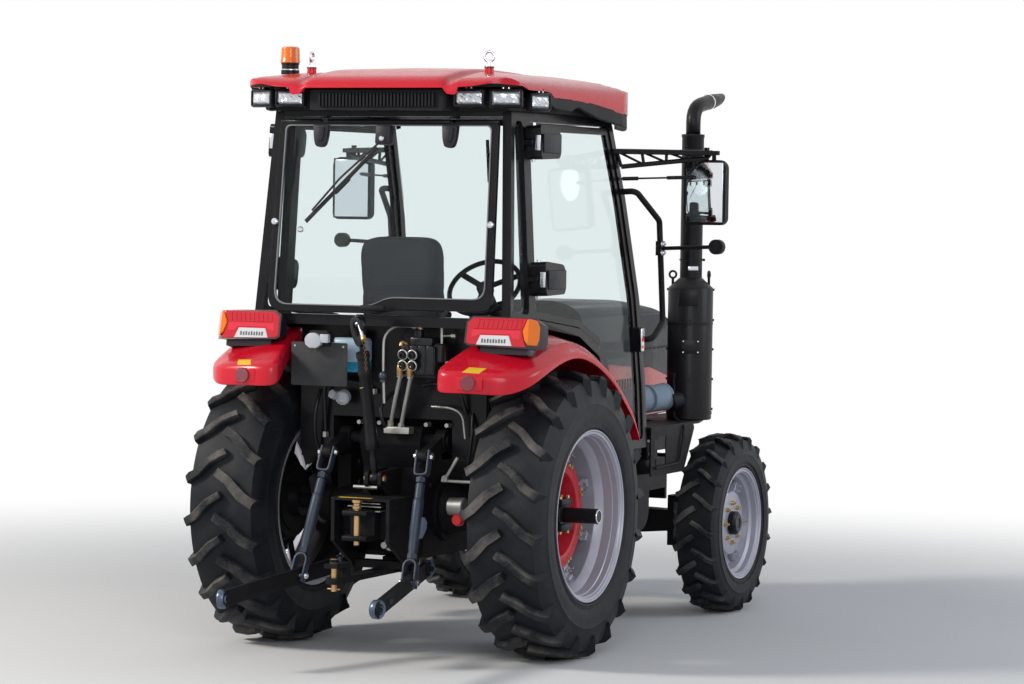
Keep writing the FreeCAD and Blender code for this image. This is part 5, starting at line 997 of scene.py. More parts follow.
def floodlight(bm, bright, place, wide, high, deep):
    """Housing with a raised rim in one mesh, and its facetted reflector in the other."""
    before = set(bm.verts)
    box_of = slab(bm, (-deep, -wide / 2, -high / 2), (0, wide / 2, high / 2), 0.014)
    faces = {f for v in box_of if v.is_valid for f in v.link_faces}
    front = max((f for f in faces if f.normal.x < -0.99 and len(f.verts) == 4), key=lambda f: f.calc_area())
    bmesh.ops.inset_region(bm, faces=[front], thickness=0.004)
    bmesh.ops.translate(bm, vec=(0.01, 0, 0), verts=front.verts)
    set_new(bm, before, place)
    columns, rows = 12, 6
    half_y, half_z = wide / 2 - 0.016, high / 2 - 0.016
    grid = []
    for i in range(columns + 1):
        line = []
        for j in range(rows + 1):
            y, z = -half_y + 2 * half_y * i / columns, -half_z + 2 * half_z * j / rows
            edge = min(i, columns - i, j * 2, (rows - j) * 2)
            bulge = 0.004 * min(edge, 2) + (0.006 * cell_height(i, j) if edge else 0)
            line.append(bright.verts.new(place @ Vector((-deep + 0.01 - bulge, y, z))))
        grid.append(line)
    for a, b in zip(grid, grid[1:]):
        for j in range(rows):
            bright.faces.new((a[j], a[j + 1], b[j + 1]))
            bright.faces.new((a[j], b[j + 1], b[j]))


bm, bright = bmesh.new(), bmesh.new()
for flip in (1, -1):
    # columns: place, height of the roof over it, angle from straight back, width
    for x, y, z, over, angle, wide in ((-0.49, 0.522, 2.948, 3.008, 0, 0.18),
                                       (-0.452, 0.7, 2.948, 3.008, 22, 0.176),
                                       (-0.23, 0.768, 2.936, 3.003, 68, 0.16)):
        place = posed((x, y * flip, z), -angle * flip, "Z")
        floodlight(bm, bright, place, wide, 0.098, 0.045)
        slab(bm, (-0.036, -0.026, 0.044), (-0.004, 0.026, over - z), 0.002, place)
lamp_bodies = piece_of("work_lamp_bodies", bm, lamp_black, 32)
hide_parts("work_lamps")
piece_of("work_lamp_reflectors", bright, reflector_bright, 5)
bm = bmesh.new()
for flip in (1, -1):
    for x, y, z, angle in ((-0.49, 0.522, 2.948, 0), (-0.452, 0.7, 2.948, 22), (-0.23, 0.768, 2.936, 68)):
        place = posed((x, y * flip, z), -angle * flip, "Z")
        for step in (-0.014, 0.014):
            stud(bm, place @ Vector((-0.036, step, 0.052)), place.to_3x3() @ Vector((-1, 0, 0)), 0.0045, 0.004)
piece_of("work_lamp_screws", bm, bright_steel)

# Beacon: a moulded amber dome with rings round it, turned on to a black foot sealed with rubber.
# A bright pressed collar holds the two together on the back corner of the roof.
beacon_place = posed((-0.19, 0.7, 3.0845), 90, "X")
bm = bmesh.new()
spin_ring(bm, [(0.0, 0.0), (0.0, 0.0495), (0.02, 0.0495), (0.024, 0.046), (0.052, 0.046), (0.054, 0.0495),
               (0.063, 0.0495), (0.063, 0.0)], 48)
bmesh.ops.transform(bm, matrix=beacon_place, verts=bm.verts)
foot = piece_of("beacon_foot", bm, lamp_black)
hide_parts("beacon")
bm = bmesh.new()
spin_ring(bm, [(0.063, 0.0), (0.063, 0.0545), (0.07, 0.0545), (0.074, 0.0525), (0.086, 0.052), (0.09, 0.0505),
               (0.102, 0.0515), (0.106, 0.05), (0.118, 0.051), (0.122, 0.0495), (0.134, 0.05), (0.143, 0.048),
               (0.148, 0.042), (0.15, 0.034), (0.1505, 0.0)], 48)
bmesh.ops.transform(bm, matrix=beacon_place, verts=bm.verts)
piece_of("beacon_dome", bm, lens_amber, 30)
bm = bmesh.new()
spin_ring(bm, [(0.023, 0.0455), (0.023, 0.05), (0.027, 0.05), (0.03, 0.047), (0.03, 0.0455)], 48)
bmesh.ops.transform(bm, matrix=beacon_place, verts=bm.verts)
piece_of("beacon_collar", bm, bright_steel)

# Lifting eyes: forged steel rings, zinc-plated, that the cab is lifted by when it is fitted.
# Each is screwed down on a black washer over a red boss of the roof.
def ring_at(bm, middle, turn, radius, thick, around=36, section=12):
    """A round ring of wire about a point, its axis turned from upright."""
    profile = [(thick * math.sin(math.tau * i / section), radius + thick * math.cos(math.tau * i / section))
               for i in range(section)]
    before = set(bm.verts)
    spin_ring(bm, profile, around)
    new = [v for v in bm.verts if v not in before]
    bmesh.ops.transform(bm, matrix=Matrix.Translation(middle) @ turn.to_4x4(), verts=new)


zinc_silver = finish("zinc_silver", (0.66, 0.68, 0.72), rough=0.22, metal=0.9, dust=0.06, mottle=0.15)
for side, y in (("left", 0.522), ("right", -0.522)):
    at = Vector((-0.28, y, 0))
    bm = bmesh.new()
    stud(bm, at + Vector((0, 0, 3.06)), (0, 0, 1), 0.026, 0.054, 28)
    piece_of(f"eye_boss_{side}", bm, panel_red)
    bm = bmesh.new()
    stud(bm, at + Vector((0, 0, 3.1135)), (0, 0, 1), 0.0275, 0.006, 28)
    piece_of(f"eye_washer_{side}", bm, lamp_black)
    bm = bmesh.new()
    stud(bm, at + Vector((0, 0, 3.119)), (0, 0, 1), 0.021, 0.009, 28)
    stud(bm, at + Vector((0, 0, 3.1275)), (0, 0, 1), 0.0145, 0.018, 20)
    ring_at(bm, at + Vector((0, 0, 3.172)), Matrix.Rotation(math.radians(8 if y > 0 else -70), 3, "Z"), 0.0255,
            0.0072)
    eye = piece_of(f"lifting_eye_{side}", bm, zinc_silver, 40)
    if y > 0:
        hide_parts("lifting_eyes")

# Front marker lamps: small amber domes on the front corners of the roof, moulded in one piece.
# Each is pushed into the red shell and stands a few centimetres clear of it.
bm = bmesh.new()
for flip in (1, -1):
    high = roof_height(1.05, 0.64, 0.9)
    lathe_turn = posed((1.05, 0.64 * flip, high + 0.006), 90, "X")
    before = set(bm.verts)
    spin_ring(bm, [(0.0, 0.0), (0.0, 0.034), (0.022, 0.033), (0.032, 0.026), (0.037, 0.012), (0.038, 0.0)], 32)
    set_new(bm, before, lathe_turn)
piece_of("front_marker_domes", bm, lens_amber, 40)

# Lift rods: drop-forged forks screwed into a turnbuckle body with hexagon lock nuts, all sprayed blue grey.
# The lower fork straddles the lower link and is held there by a zinc pin.
def tube_along(bm, points, radius, sides=12, corner=0.03, ends=True):
    """A round bar through points, its corners rounded."""
    points = [Vector(p) for p in points]
    line = [points[0]]
    for before, at, after in zip(points, points[1:], points[2:]):
        back = min(corner, (before - at).length * 0.49)
        on = min(corner, (after - at).length * 0.49)
        start, finish_at = at + (before - at).normalized() * back, at + (after - at).normalized() * on
        for step in range(6):
            t = step / 5
            line.append(start.lerp(at, t).lerp(at.lerp(finish_at, t), t))
    line.append(points[-1])
    rings, side = [], None
    for i, at in enumerate(line):
        way = (line[min(i + 1, len(line) - 1)] - line[max(i - 1, 0)]).normalized()
        side = way.orthogonal().normalized() if side is None else (side - way * side.dot(way)).normalized()
        over = way.cross(side)
        rings.append([bm.verts.new(at + (side * math.cos(math.tau * k / sides) + over
                                         * math.sin(math.tau * k / sides)) * radius) for k in range(sides)])
    for low, high in zip(rings, rings[1:]):
        for k in range(sides):
            bm.faces.new((low[k], low[(k + 1) % sides], high[(k + 1) % sides], high[k]))
    if ends:
        bm.faces.new(rings[0])
        bm.faces.new(rings[-1])
    return [v for ring in rings for v in ring]


def lathe(bm, profile, place, steps=28):
    """A turned piece: (height, radius) points spun about the upright axis, then set in place."""
    before = set(bm.verts)
    corners = [bm.verts.new((radius, 0, height)) for height, radius in profile]
    sides = [bm.edges.new(pair) for pair in zip(corners, corners[1:])]
    bmesh.ops.spin(bm, geom=corners + sides, cent=(0, 0, 0), axis=(0, 0, 1), angle=math.tau, steps=steps,
                   use_merge=True)
    set_new(bm, before, place)


def plate(bm, outline, thick, place, roll=0.0):
    """A flat plate: an outline of (y, z) points, thick along x from the plane x = 0, then set in place."""
    before = set(bm.verts)
    face = bm.faces.new([bm.verts.new((0, y, z)) for y, z in outline])
    pull_out(bm, [face], (thick, 0, 0))
    if roll:
        new = set(v for v in bm.verts if v not in before)
        rim = [e for e in bm.edges if all(v in new for v in e.verts)
               and abs(e.verts[0].co.x - e.verts[1].co.x) < 1e-6]
        bmesh.ops.bevel(bm, geom=rim, offset=roll, segments=2, affect="EDGES", profile=0.5, material=-1)
    set_new(bm, before, place)


def u_fork(bm, height, way, inside, wall, reach, half, place, square=1.0):
    """A forged fork: two legs past an eye at a height, bent together in a half round towards the rod."""
    arc = [math.pi * i / 10 for i in range(11)]
    foot, turn_at = -0.03 * way, (reach - inside) * way
    bend = [(math.copysign(abs(math.cos(a)) ** square, math.cos(a)), abs(math.sin(a)) ** square) for a in arc]
    outer = [(-(inside + wall), foot)] + [(-(inside + wall) * c, turn_at + (inside + wall) * s * way) for c,
                                          s in bend]
    outer += [(inside + wall, foot)]
    inner = [(inside, foot)] + [(inside * c, turn_at + inside * s * way) for c, s in bend] + [(-inside, foot)]
    plate(bm, outer + inner, 2 * half, place @ Matrix.Translation((-half, 0, height)), 0.003)


for side, flip in both_sides:
    top, foot = Vector((-0.505, 0.28 * flip, 1.08)), Vector((-0.75, 0.323 * flip, 0.445))
    axis = (foot - top).normalized()
    cross = (Vector((0, 1, 0)) - axis * axis.y).normalized()
    place = Matrix.Translation(top) @ Matrix((cross.cross(axis), cross, axis)).transposed().to_4x4()
    body, length = f"lift_rod_{side}", (foot - top).length
    bm = bmesh.new()
    u_fork(bm, 0, 1, 0.029, 0.011, 0.098, 0.0225, place, 0.5)
    u_fork(bm, length, -1, 0.0285, 0.0115, 0.112, 0.0225, place)
    lathe(bm, [(0.105, 0), (0.105, 0.0145), (length - 0.115, 0.0145), (length - 0.115, 0)], place)
    lathe(bm, [(0.15, 0), (0.15, 0.022), (0.153, 0.0245), (0.232, 0.0245), (0.238, 0.0285), (0.262, 0.0295),
               (0.42, 0.0295), (0.428, 0.027), (0.5, 0.0265), (0.512, 0.024), (length - 0.15, 0.0235),
               (length - 0.15, 0)], place)
    for h in (0.118, length - 0.15):
        stud(bm, place @ Vector((0, 0, h)), axis, 0.0275, 0.026)
    if flip < 0:
        plate(bm, [(-0.02, 0.33), (-0.05, 0.335), (-0.066, 0.36), (-0.066, 0.4), (-0.05, 0.445),
                   (-0.02, 0.455)], 0.008, place, 0.002)
    rod = piece_of(f"lift_rod_forging_{side}", bm, rod_blue, 32, body=body)
    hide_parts(f"lift_rod_{side}")
    bm = bmesh.new()
    for at, way in ((top, 1), (foot, 1)):
        tube_along(bm, [at + Vector((0, -0.056, 0)), at + Vector((0, 0.056, 0))], 0.0115, 16)
        stud(bm, at + Vector((0, 0.043 * flip, 0)), (0, flip, 0), 0.018, 0.012)
        stud(bm, at + Vector((0, -0.043 * flip, 0)), (0, -flip, 0), 0.016, 0.008, 16)
    piece_of(f"lift_rod_pins_{side}", bm, zinc_silver, body=body)

# Top link, stowed upright: black turnbuckle sleeve with a forged eye at each end and a round rubber guard
# on the upper screw. A zinc-brass pin hangs in its eye on a rusty chain.
brass = finish("zinc_brass", (0.55, 0.36, 0.17), rough=0.3, metal=0.75, dust=0.12, mottle=0.35,
               dust_colour=(0.2, 0.14, 0.09))
chain_rust = finish("chain_rust", (0.16, 0.09, 0.05), rough=0.6, metal=0.4, dust=0.2)
guard_black = finish("guard_rubber", (0.007, 0.009, 0.012), rough=0.36, dust=0.04, coat=0.08, gloss=0.25)
link_foot = Vector((-0.506, 0, 0.953))
link_place = posed(link_foot, -14, "Y")
bm = bmesh.new()
lathe(bm, [(0.03, 0), (0.03, 0.0155), (0.83, 0.0155), (0.83, 0)], link_place)
lathe(bm, [(0.165, 0), (0.165, 0.034), (0.172, 0.0365), (0.208, 0.0365), (0.216, 0.0335), (0.56, 0.033),
           (0.566, 0.0355), (0.59, 0.0355), (0.596, 0.0325), (0.655, 0.0315), (0.66, 0.036), (0.688, 0.036),
           (0.69, 0.0)], link_place)
for h, half in ((0, 0.0205), (0.86, 0.0205)):
    eye = [(-half, 0.0135), (-half, 0.03), (-half * 0.7, 0.0335), (half * 0.7, 0.0335), (half, 0.03),
           (half, 0.0135)]
    before = set(bm.verts)
    spin_ring(bm, eye, 36)
    set_new(bm, before, link_place @ Matrix.Translation((0, 0, h)))
slab(bm, (-0.014, -0.016, 0.022), (0.014, 0.016, 0.12), 0.006, link_place)
slab(bm, (-0.014, -0.016, 0.74), (0.014, 0.016, 0.835), 0.006, link_place)
sleeve = piece_of("top_link_sleeve", bm, bar_black, 32, body="top_link")
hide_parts("top_link")
bm = bmesh.new()
spin_ring(bm, [(-0.014, 0.026), (-0.019, 0.046), (-0.008, 0.055), (0.012, 0.053), (0.017, 0.044),
               (0.012, 0.026)], 40)
for v in bm.verts:
    if v.co.z < 0:
        v.co = Vector((v.co.x * (1 + 1.9 * v.co.z), v.co.y, v.co.z * 2.05))
bmesh.ops.transform(bm, matrix=link_place @ posed((-0.03, -0.004, 0.838), 64, "Z"), verts=bm.verts)
piece_of("top_link_guard", bm, guard_black, 50, body="top_link")
pin_way = Vector((-0.06, -0.062, -0.085)).normalized()
pin_from = link_place @ Vector((-0.018, -0.004, 0.852))
bm = bmesh.new()
tube_along(bm, [pin_from, pin_from + pin_way * 0.11], 0.0105, 16)
stud(bm, pin_from + pin_way * 0.004, pin_way, 0.022, 0.008, 20)
piece_of("top_link_pin", bm, zinc_silver, body="top_link")
bm = bmesh.new()
stud(bm, pin_from + pin_way * 0.1, pin_way, 0.0155, 0.022, 20)
piece_of("top_link_pin_tip", bm, brass, body="top_link")
bm = bmesh.new()
chain_from = pin_from + pin_way * 0.108 + Vector((0, 0, -0.012))
for i in range(13):
    ring_at(bm, chain_from + Vector((0.01 * math.sin(i * 0.2), -0.0012 * i, -0.0128 * i)), Matrix.Rotation(
        math.radians(90 * (i % 2) + 20), 3, "Z"), 0.0066, 0.0018, 14, 6)
piece_of("top_link_chain", bm, chain_rust, 60, body="top_link")
bm = bmesh.new()
tube_along(bm, [link_foot + Vector((0, -0.062, 0)), link_foot + Vector((0, 0.062, 0))], 0.0125, 16)
for flip in (1, -1):
    stud(bm, link_foot + Vector((0, 0.049 * flip, 0)), (0, flip, 0), 0.02, 0.01)
piece_of("top_link_foot_pin", bm, brass)

# Tow hitch: a welded black box bolted under the housing, with a clevis and the drawbar's pin.
# The tow pin is turned steel, plated like brass, and a spring round it holds it down.
pipe_steel = finish("pipe_steel", (0.4, 0.4, 0.38), rough=0.38, metal=0.75, dust=0.12, mottle=0.3)
bm = bmesh.new()
pin_x = -0.715
lathe(bm, [(0.612, 0), (0.612, 0.01), (0.62, 0.016), (0.845, 0.016), (0.845, 0.0)],
      Matrix.Translation((pin_x, 0, 0)))
lathe(bm, [(0.805, 0.0148), (0.805, 0.022), (0.812, 0.0245), (0.822, 0.0245), (0.826, 0.019), (0.838, 0.019),
           (0.841, 0.0265), (0.853, 0.027), (0.857, 0.024), (0.857, 0)], Matrix.Translation((pin_x, 0, 0)))
lathe(bm, [(0.774, 0.0148), (0.774, 0.0185), (0.8, 0.0175), (0.8, 0.0148)], Matrix.Translation((pin_x, 0, 0)))
piece_of("tow_pin_plating", bm, brass)
bm = bmesh.new()
pin_x = -0.968
lathe(bm, [(0.402, 0), (0.402, 0.0155), (0.545, 0.0155), (0.545, 0)], Matrix.Translation((pin_x, 0, 0)))
lathe(bm, [(0.546, 0.0), (0.546, 0.022), (0.552, 0.0235), (0.556, 0.018), (0.562, 0.018), (0.566, 0.0235),
           (0.5695, 0.02), (0.5695, 0)], Matrix.Translation((pin_x, 0, 0)))
tube_along(bm, [(pin_x, -0.036, 0.414), (pin_x, 0.036, 0.414)], 0.0042, 8)
piece_of("drawbar_pin_plating", bm, brass)
bm = bmesh.new()
for z, low, high in ((0.829, -0.1, 0.02), (0.812, -0.105, 0.05), (0.7885, -0.1, 0.01)):
    slab(bm, (-0.648, low, z), (-0.58, high + 0.04, z + 0.006), 0.0015)
tube_along(bm, [(-0.52, 0.118, 0.905), (-0.52, -0.02, 0.905)], 0.0105, 14)
tube_along(bm, [(-0.42, -0.436, 1.075), (-0.42, -0.366, 0.963)], 0.009, 10)
tube_along(bm, [(-0.42, -0.345, 0.95), (-0.42, -0.53, 0.95)], 0.008, 10)
stud(bm, (-0.42, -0.366, 0.963), (-1, 0, 0), 0.018, 0.014, 16)
lathe(bm, [(0.0, 0.0), (0.0, 0.03), (0.004, 0.046), (0.085, 0.05), (0.09, 0.044), (0.09, 0.0)],
      posed((-0.3, -0.335, 0.806), 90, "X"))
piece_of("hitch_plates", bm, pipe_steel)
bm = bmesh.new()
for y in (-0.125, 0.125):
    for z in (0.665, 0.775):
        stud(bm, (-0.575, y, z), (-1, 0, 0), 0.013, 0.009)
for flip in (1, -1):
    for x, z in ((-0.33, 0.6), (-0.33, 0.82), (-0.46, 0.7), (-0.61, 0.7), (-0.61, 0.81)):
        stud(bm, (x, 0.17 * flip, z), (0, flip, 0), 0.014, 0.01)
    for x, z in ((-0.27, 0.91), (-0.27, 1.02), (-0.2, 0.62), (-0.2, 0.72)):
        stud(bm, (x, 0.205 * flip, z), (0, flip, 0), 0.013, 0.01)
piece_of("hitch_bolts", bm, chassis_black)
bm = bmesh.new()
slab(bm, (-0.6805, -0.06, 0.8604), (-0.648, 0.128, 0.8616), 0.0004)
piece_of("hitch_strip", bm, sticker_yellow)
cap_red = finish("cap_red", (0.62, 0.012, 0.02), rough=0.35, dust=0.08, coat=0.3)
bm = bmesh.new()
lathe(bm, [(0, 0), (0, 0.034), (0.014, 0.034), (0.018, 0.0305), (0.03, 0.029), (0.034, 0.025), (0.034, 0)],
      posed((-0.3, -0.392, 0.738), -90, "Y"))
slab(bm, (-0.42, 0.178, 0.7), (-0.34, 0.232, 0.775), 0.008)
piece_of("red_caps", bm, cap_red)

# Number plate: a blank dark steel sheet with rolled edges on two flat bars, left of the middle behind the
# cab. Mud has splashed along its foot, and a moulded lamp stands above it.
plate_grey = finish("plate_grey", (0.03, 0.032, 0.036), rough=0.45, dust=0.55, mottle=0.4, grain=900,
                    relief=0.2, dust_colour=(0.085, 0.08, 0.074), gloss=0.2)
lamp_grey = finish("lamp_grey", (0.5, 0.52, 0.56), rough=0.35, dust=0.08, mottle=0.2, coat=0.4)
bm = bmesh.new()
plate(bm, [(0.152, 1.436), (0.16, 1.431), (0.476, 1.431), (0.484, 1.436), (0.484, 1.654), (0.478, 1.66),
           (0.158, 1.66), (0.152, 1.654)], 0.004, Matrix.Translation((-0.5495, 0, 0)), 0.0012)
for y in (0.322, 0.44):
    slab(bm, (-0.546, y, 1.56), (-0.31, y + 0.03, 1.59), 0.003)
blank = piece_of("number_plate_blank", bm, plate_grey)
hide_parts("plate_carrier")
bm = bmesh.new()
shell = [(-0.052, 0.0), (-0.052, 0.03), (-0.034, 0.062), (0.066, 0.062), (0.088, 0.03), (0.088, 0.0)]
plate(bm, [(0.292 + y, 1.661 + z) for y, z in shell], 0.056, Matrix.Translation((-0.578, 0, 0)), 0.004)
slab(bm, (-0.56, 0.25, 1.64), (-0.53, 0.38, 1.672), 0.003)
piece_of("plate_lamp_shell", bm, moulded_black)
bm = bmesh.new()
arc = [(0.33 + 0.048 * math.cos(a), 1.672 + 0.04 * math.sin(a)) for a in [math.pi * i / 12 for i in range(13)]]
plate(bm, arc + [(0.284, 1.65), (0.31, 1.632), (0.35, 1.632), (0.374, 1.65)], 0.03, Matrix.Translation(
    (-0.606, 0, 0)), 0.004)
slab(bm, (-0.604, 0.238, 1.66), (-0.576, 0.29, 1.706), 0.006)
piece_of("plate_lamp_lens", bm, lamp_grey, 40)
bm = bmesh.new()
for y in (0.175, 0.462):
    stud(bm, (-0.5495, y, 1.64), (-1, 0, 0), 0.006, 0.003, 12)
lathe(bm, [(0, 0), (0, 0.04), (0.03, 0.042), (0.04, 0.036), (0.042, 0.03), (0.03, 0.027), (0.03, 0)],
      posed((-0.36, 0.262, 1.372), -112, "Y"))
stud(bm, (-0.395, 0.3, 1.376), (-0.9, 0.2, 0.2), 0.026, 0.03)
piece_of("socket_and_screws", bm, lamp_grey)

# Washer bottle: blow-moulded milky plastic strapped behind the cab, pale blue where the fluid stands.
# A cyan band shows through at the level of the fluid, and a black cap is screwed on its neck.
bottle_blue = finish("bottle_plastic", (0.46, 0.6, 0.74), rough=0.4, dust=0.06, mottle=0.35, coat=0.3)
fluid_blue = finish("bottle_fluid", (0.03, 0.34, 0.56), rough=0.35, dust=0.05, coat=0.3)
bm = bmesh.new()
slab(bm, (-0.4395, 0.118, 1.548), (-0.3105, 0.308, 1.684), 0.022)
tank = piece_of("bottle_upper", bm, bottle_blue, 50)
bm = bmesh.new()
slab(bm, (-0.4385, 0.119, 1.5005), (-0.311, 0.307, 1.566), 0.018)
piece_of("bottle_lower", bm, fluid_blue, 50)
bm = bmesh.new()
lathe(bm, [(1.676, 0.0), (1.676, 0.033), (1.716, 0.033), (1.721, 0.029), (1.721, 0.0)], Matrix.Translation(
    (-0.375, 0.165, 0)))
piece_of("bottle_cap", bm, moulded_black)
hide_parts("washer_bottle")

# Remote valves: a black cast spool block bolted to the housing, with four couplers ringed in chrome.
# Brass elbows and bare bent steel pipes join it to the pump and the tank.
valve_black = finish("valve_black", (0.009, 0.01, 0.013), rough=0.3, dust=0.06, mottle=0.3, coat=0.15,
                     gloss=0.25)
bm = bmesh.new()
slab(bm, (-0.469, -0.318, 1.502), (-0.312, -0.122, 1.648), 0.008)
for i in range(4):
    slab(bm, (-0.474, -0.312 + 0.048 * i, 1.508), (-0.31, -0.27 + 0.048 * i, 1.654), 0.005)
slab(bm, (-0.445, -0.29, 1.64), (-0.335, -0.16, 1.698), 0.01)
slab(bm, (-0.43, -0.22, 1.69), (-0.39, -0.18, 1.738), 0.006)
for y in (-0.205, -0.15):
    for z in (1.612, 1.556):
        at = posed((-0.47, y, z), -98, "Y")
        lathe(bm, [(0, 0.0), (0, 0.0255), (0.034, 0.0255), (0.038, 0.023), (0.038, 0.017), (0.052, 0.016),
                   (0.054, 0.01), (0.04, 0.009), (0.04, 0)], at)
lathe(bm, [(1.57, 0.0), (1.57, 0.036), (1.576, 0.04), (1.66, 0.04), (1.668, 0.034), (1.668, 0)],
      Matrix.Translation((-0.4, -0.318, 0)))
block = piece_of("valve_spools", bm, valve_black, 32)
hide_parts("remote_valves")
bm = bmesh.new()
for y in (-0.205, -0.15):
    for z in (1.612, 1.556):
        at = posed((-0.47, y, z), -98, "Y")
        lathe(bm, [(0.03, 0.0256), (0.03, 0.0285), (0.038, 0.0285), (0.04, 0.0245), (0.038, 0.0225),
                   (0.03, 0.0256)], at)
for points, radius in (([(-0.41, -0.2, 1.752), (-0.42, -0.058, 1.756), (-0.425, 0.0, 1.7),
                         (-0.43, -0.002, 1.52), (-0.44, -0.014, 1.345)], 0.0082),
                       ([(-0.478, -0.126, 1.5), (-0.44, -0.08, 1.376), (-0.395, -0.03, 1.236)], 0.011),
                       ([(-0.478, -0.186, 1.496), (-0.44, -0.14, 1.36), (-0.395, -0.092, 1.225)], 0.011),
                       ([(-0.402, -0.327, 1.664), (-0.402, -0.327, 1.79)], 0.0085),
                       ([(-0.402, -0.32, 1.707), (-0.402, -0.395, 1.712)], 0.006),
                       ([(-0.33, -0.24, 1.33), (-0.36, -0.36, 1.332), (-0.35, -0.43, 1.3),
                         (-0.34, -0.44, 1.17)], 0.007)):
    tube_along(bm, [(x, y, z) for x, y, z in points], radius, 12, 0.05)
for x, y, z, way, size in ((-0.41, -0.186, 1.752, (0, 1, 0), 0.016),
                           (-0.478, -0.128, 1.508, (0, 0.42, -1), 0.017),
                           (-0.478, -0.186, 1.505, (0, 0.3, -1), 0.017),
                           (-0.402, -0.327, 1.78, (0, 0, 1), 0.014), (-0.402, -0.384, 1.711, (0, -1, 0), 0.014),
                           (-0.402, -0.36, 1.575, (0, -0.3, -1), 0.014)):
    stud(bm, (x, y, z), way, size, 0.024)
piece_of("valve_pipes", bm, pipe_steel)
bm = bmesh.new()
tube_along(bm, [(-0.405, -0.205, 1.73), (-0.408, -0.206, 1.754), (-0.41, -0.186, 1.756)],
           0.0135, 12, 0.012)
tube_along(bm, [(-0.44, -0.14, 1.66), (-0.46, -0.122, 1.672), (-0.47, -0.122, 1.65)],
           0.0115, 12, 0.012)
for y in (-0.134, -0.192):
    tube_along(bm, [(-0.465, y, 1.556), (-0.505, y, 1.548), (-0.482, y + 0.01, 1.5)],
               0.017, 12, 0.02)
piece_of("valve_elbows", bm, brass, 40)
bm = bmesh.new()
bmesh.ops.create_uvsphere(bm, u_segments=24, v_segments=16, radius=0.025, matrix=Matrix.Translation(
    (-0.4365, -0.004, 1.49)))
stud(bm, (-0.437, -0.006, 1.47), (0, 0, -1), 0.02, 0.012, 20)
knob_grey = finish("knob_grey", (0.045, 0.05, 0.075), rough=0.35, dust=0.05, coat=0.3)
piece_of("lever_knob", bm, knob_grey, 60)
bracket_grey = finish("bracket_grey", (0.035, 0.037, 0.04), rough=0.5, dust=0.15, mottle=0.4, gloss=0.2)
bm = bmesh.new()
plate(bm, [(-0.285, 1.56), (-0.062, 1.56), (-0.062, 1.7), (-0.1, 1.74), (-0.285, 1.74)], 0.005,
      Matrix.Translation((-0.3165, 0, 0)), 0.001)
slab(bm, (-0.4, -0.29, 1.486), (-0.3, -0.09, 1.5), 0.002)
piece_of("valve_bracket", bm, bracket_grey)
cable_cream = finish("cable_cream", (0.55, 0.5, 0.18), rough=0.5, dust=0.1)
bm = bmesh.new()
ring_at(bm, link_place @ Vector((0, 0, 0.5)), Matrix.Rotation(math.radians(76), 3, "X") @ Matrix.Rotation(
    math.radians(0), 3, "Z"), 0.031, 0.0032, 28, 8)
piece_of("top_link_tie", bm, cable_cream, body="top_link")
cap_orange = finish("cap_orange", (0.8, 0.2, 0.02), rough=0.4, dust=0.05)
bm = bmesh.new()
stud(bm, (-0.4, -0.03, 1.205), (-0.2, 0, 1), 0.015, 0.02, 16)
piece_of("filler_cap", bm, cap_orange)

# Lower links: forged black arms, each with a bright ball turned from steel at its outer end.
# A pressed ring holds the ball in the eye and lets it swivel.
ball_steel = finish("ball_steel", (0.1, 0.13, 0.19), rough=0.28, metal=0.7, dust=0.15, mottle=0.3)
for side, flip in both_sides:
    bm = bmesh.new()
    for x, y, z in ((-1.352, 0.44, 0.375), (-0.4, 0.255, 0.48)):
        before = set(bm.verts)
        spin_ring(bm, [(-0.016, 0.0285), (-0.018, 0.046), (-0.014, 0.049), (0.014, 0.049), (0.018, 0.046),
                       (0.016, 0.0285)], 40)
        spin_ring(bm, [(-0.024, 0.015), (-0.024, 0.018), (-0.016, 0.0255), (0.0, 0.0282), (0.016, 0.0255),
                       (0.024, 0.018), (0.024, 0.015)], 32)
        set_new(bm, before, posed((x, y * flip, z), 11 * flip, "Z"))
    for share in (0.3, 0.8):
        at = Vector((-0.4, 0.255, 0.48)).lerp(Vector((-1.352, 0.44, 0.375)), share)
        stud(bm, (at.x, at.y * flip + 0.012 * flip, at.z), (0, flip, 0), 0.014, 0.012)
    piece_of(f"lower_link_balls_{side}", bm, ball_steel, 40, body=f"lower_link_{side}")

# Hydraulic hoses: black rubber over steel braid, crimped into a plated sleeve at both ends.
# They are bent round the rear housing and screwed to the valve block and the pump.
bm = bmesh.new()
for points in ([(-0.33, 0.1, 1.4), (-0.37, 0.2, 1.455), (-0.36, 0.385, 1.44), (-0.32, 0.392, 1.16)],
               [(-0.33, 0.42, 1.4), (-0.37, 0.43, 1.3), (-0.36, 0.44, 1.16), (-0.32, 0.42, 1.04)],
               [(-0.35, -0.2, 1.44), (-0.39, -0.28, 1.46), (-0.37, -0.41, 1.44), (-0.33, -0.44, 1.3)],
               [(-0.34, -0.02, 1.4), (-0.42, 0.02, 1.34), (-0.44, 0.0, 1.26), (-0.4, -0.01, 1.2)],
               [(-0.31, -0.47, 1.3), (-0.36, -0.49, 1.2), (-0.34, -0.46, 1.04), (-0.3, -0.42, 0.96)]):
    tube_along(bm, [(x, y, z) for x, y, z in points], 0.0105, 12, 0.06)
piece_of("hydraulic_hoses", bm, guard_black, 50)
bm = bmesh.new()
for x, y, z, way in ((-0.395, -0.03, 1.225, (0, 0, 1)), (-0.395, -0.092, 1.212, (0, 0, 1)),
                     (-0.32, 0.392, 1.145, (0, 0, 1)), (-0.335, -0.05, 1.215, (0, -1, 0)),
                     (-0.32, 0.42, 1.03, (0, 0, 1)), (-0.33, 0.1, 1.385, (0, 0, 1))):
    stud(bm, (x, y, z), way, 0.018, 0.028)
slab(bm, (-0.42, -0.15, 1.185), (-0.35, 0.0, 1.222), 0.006)
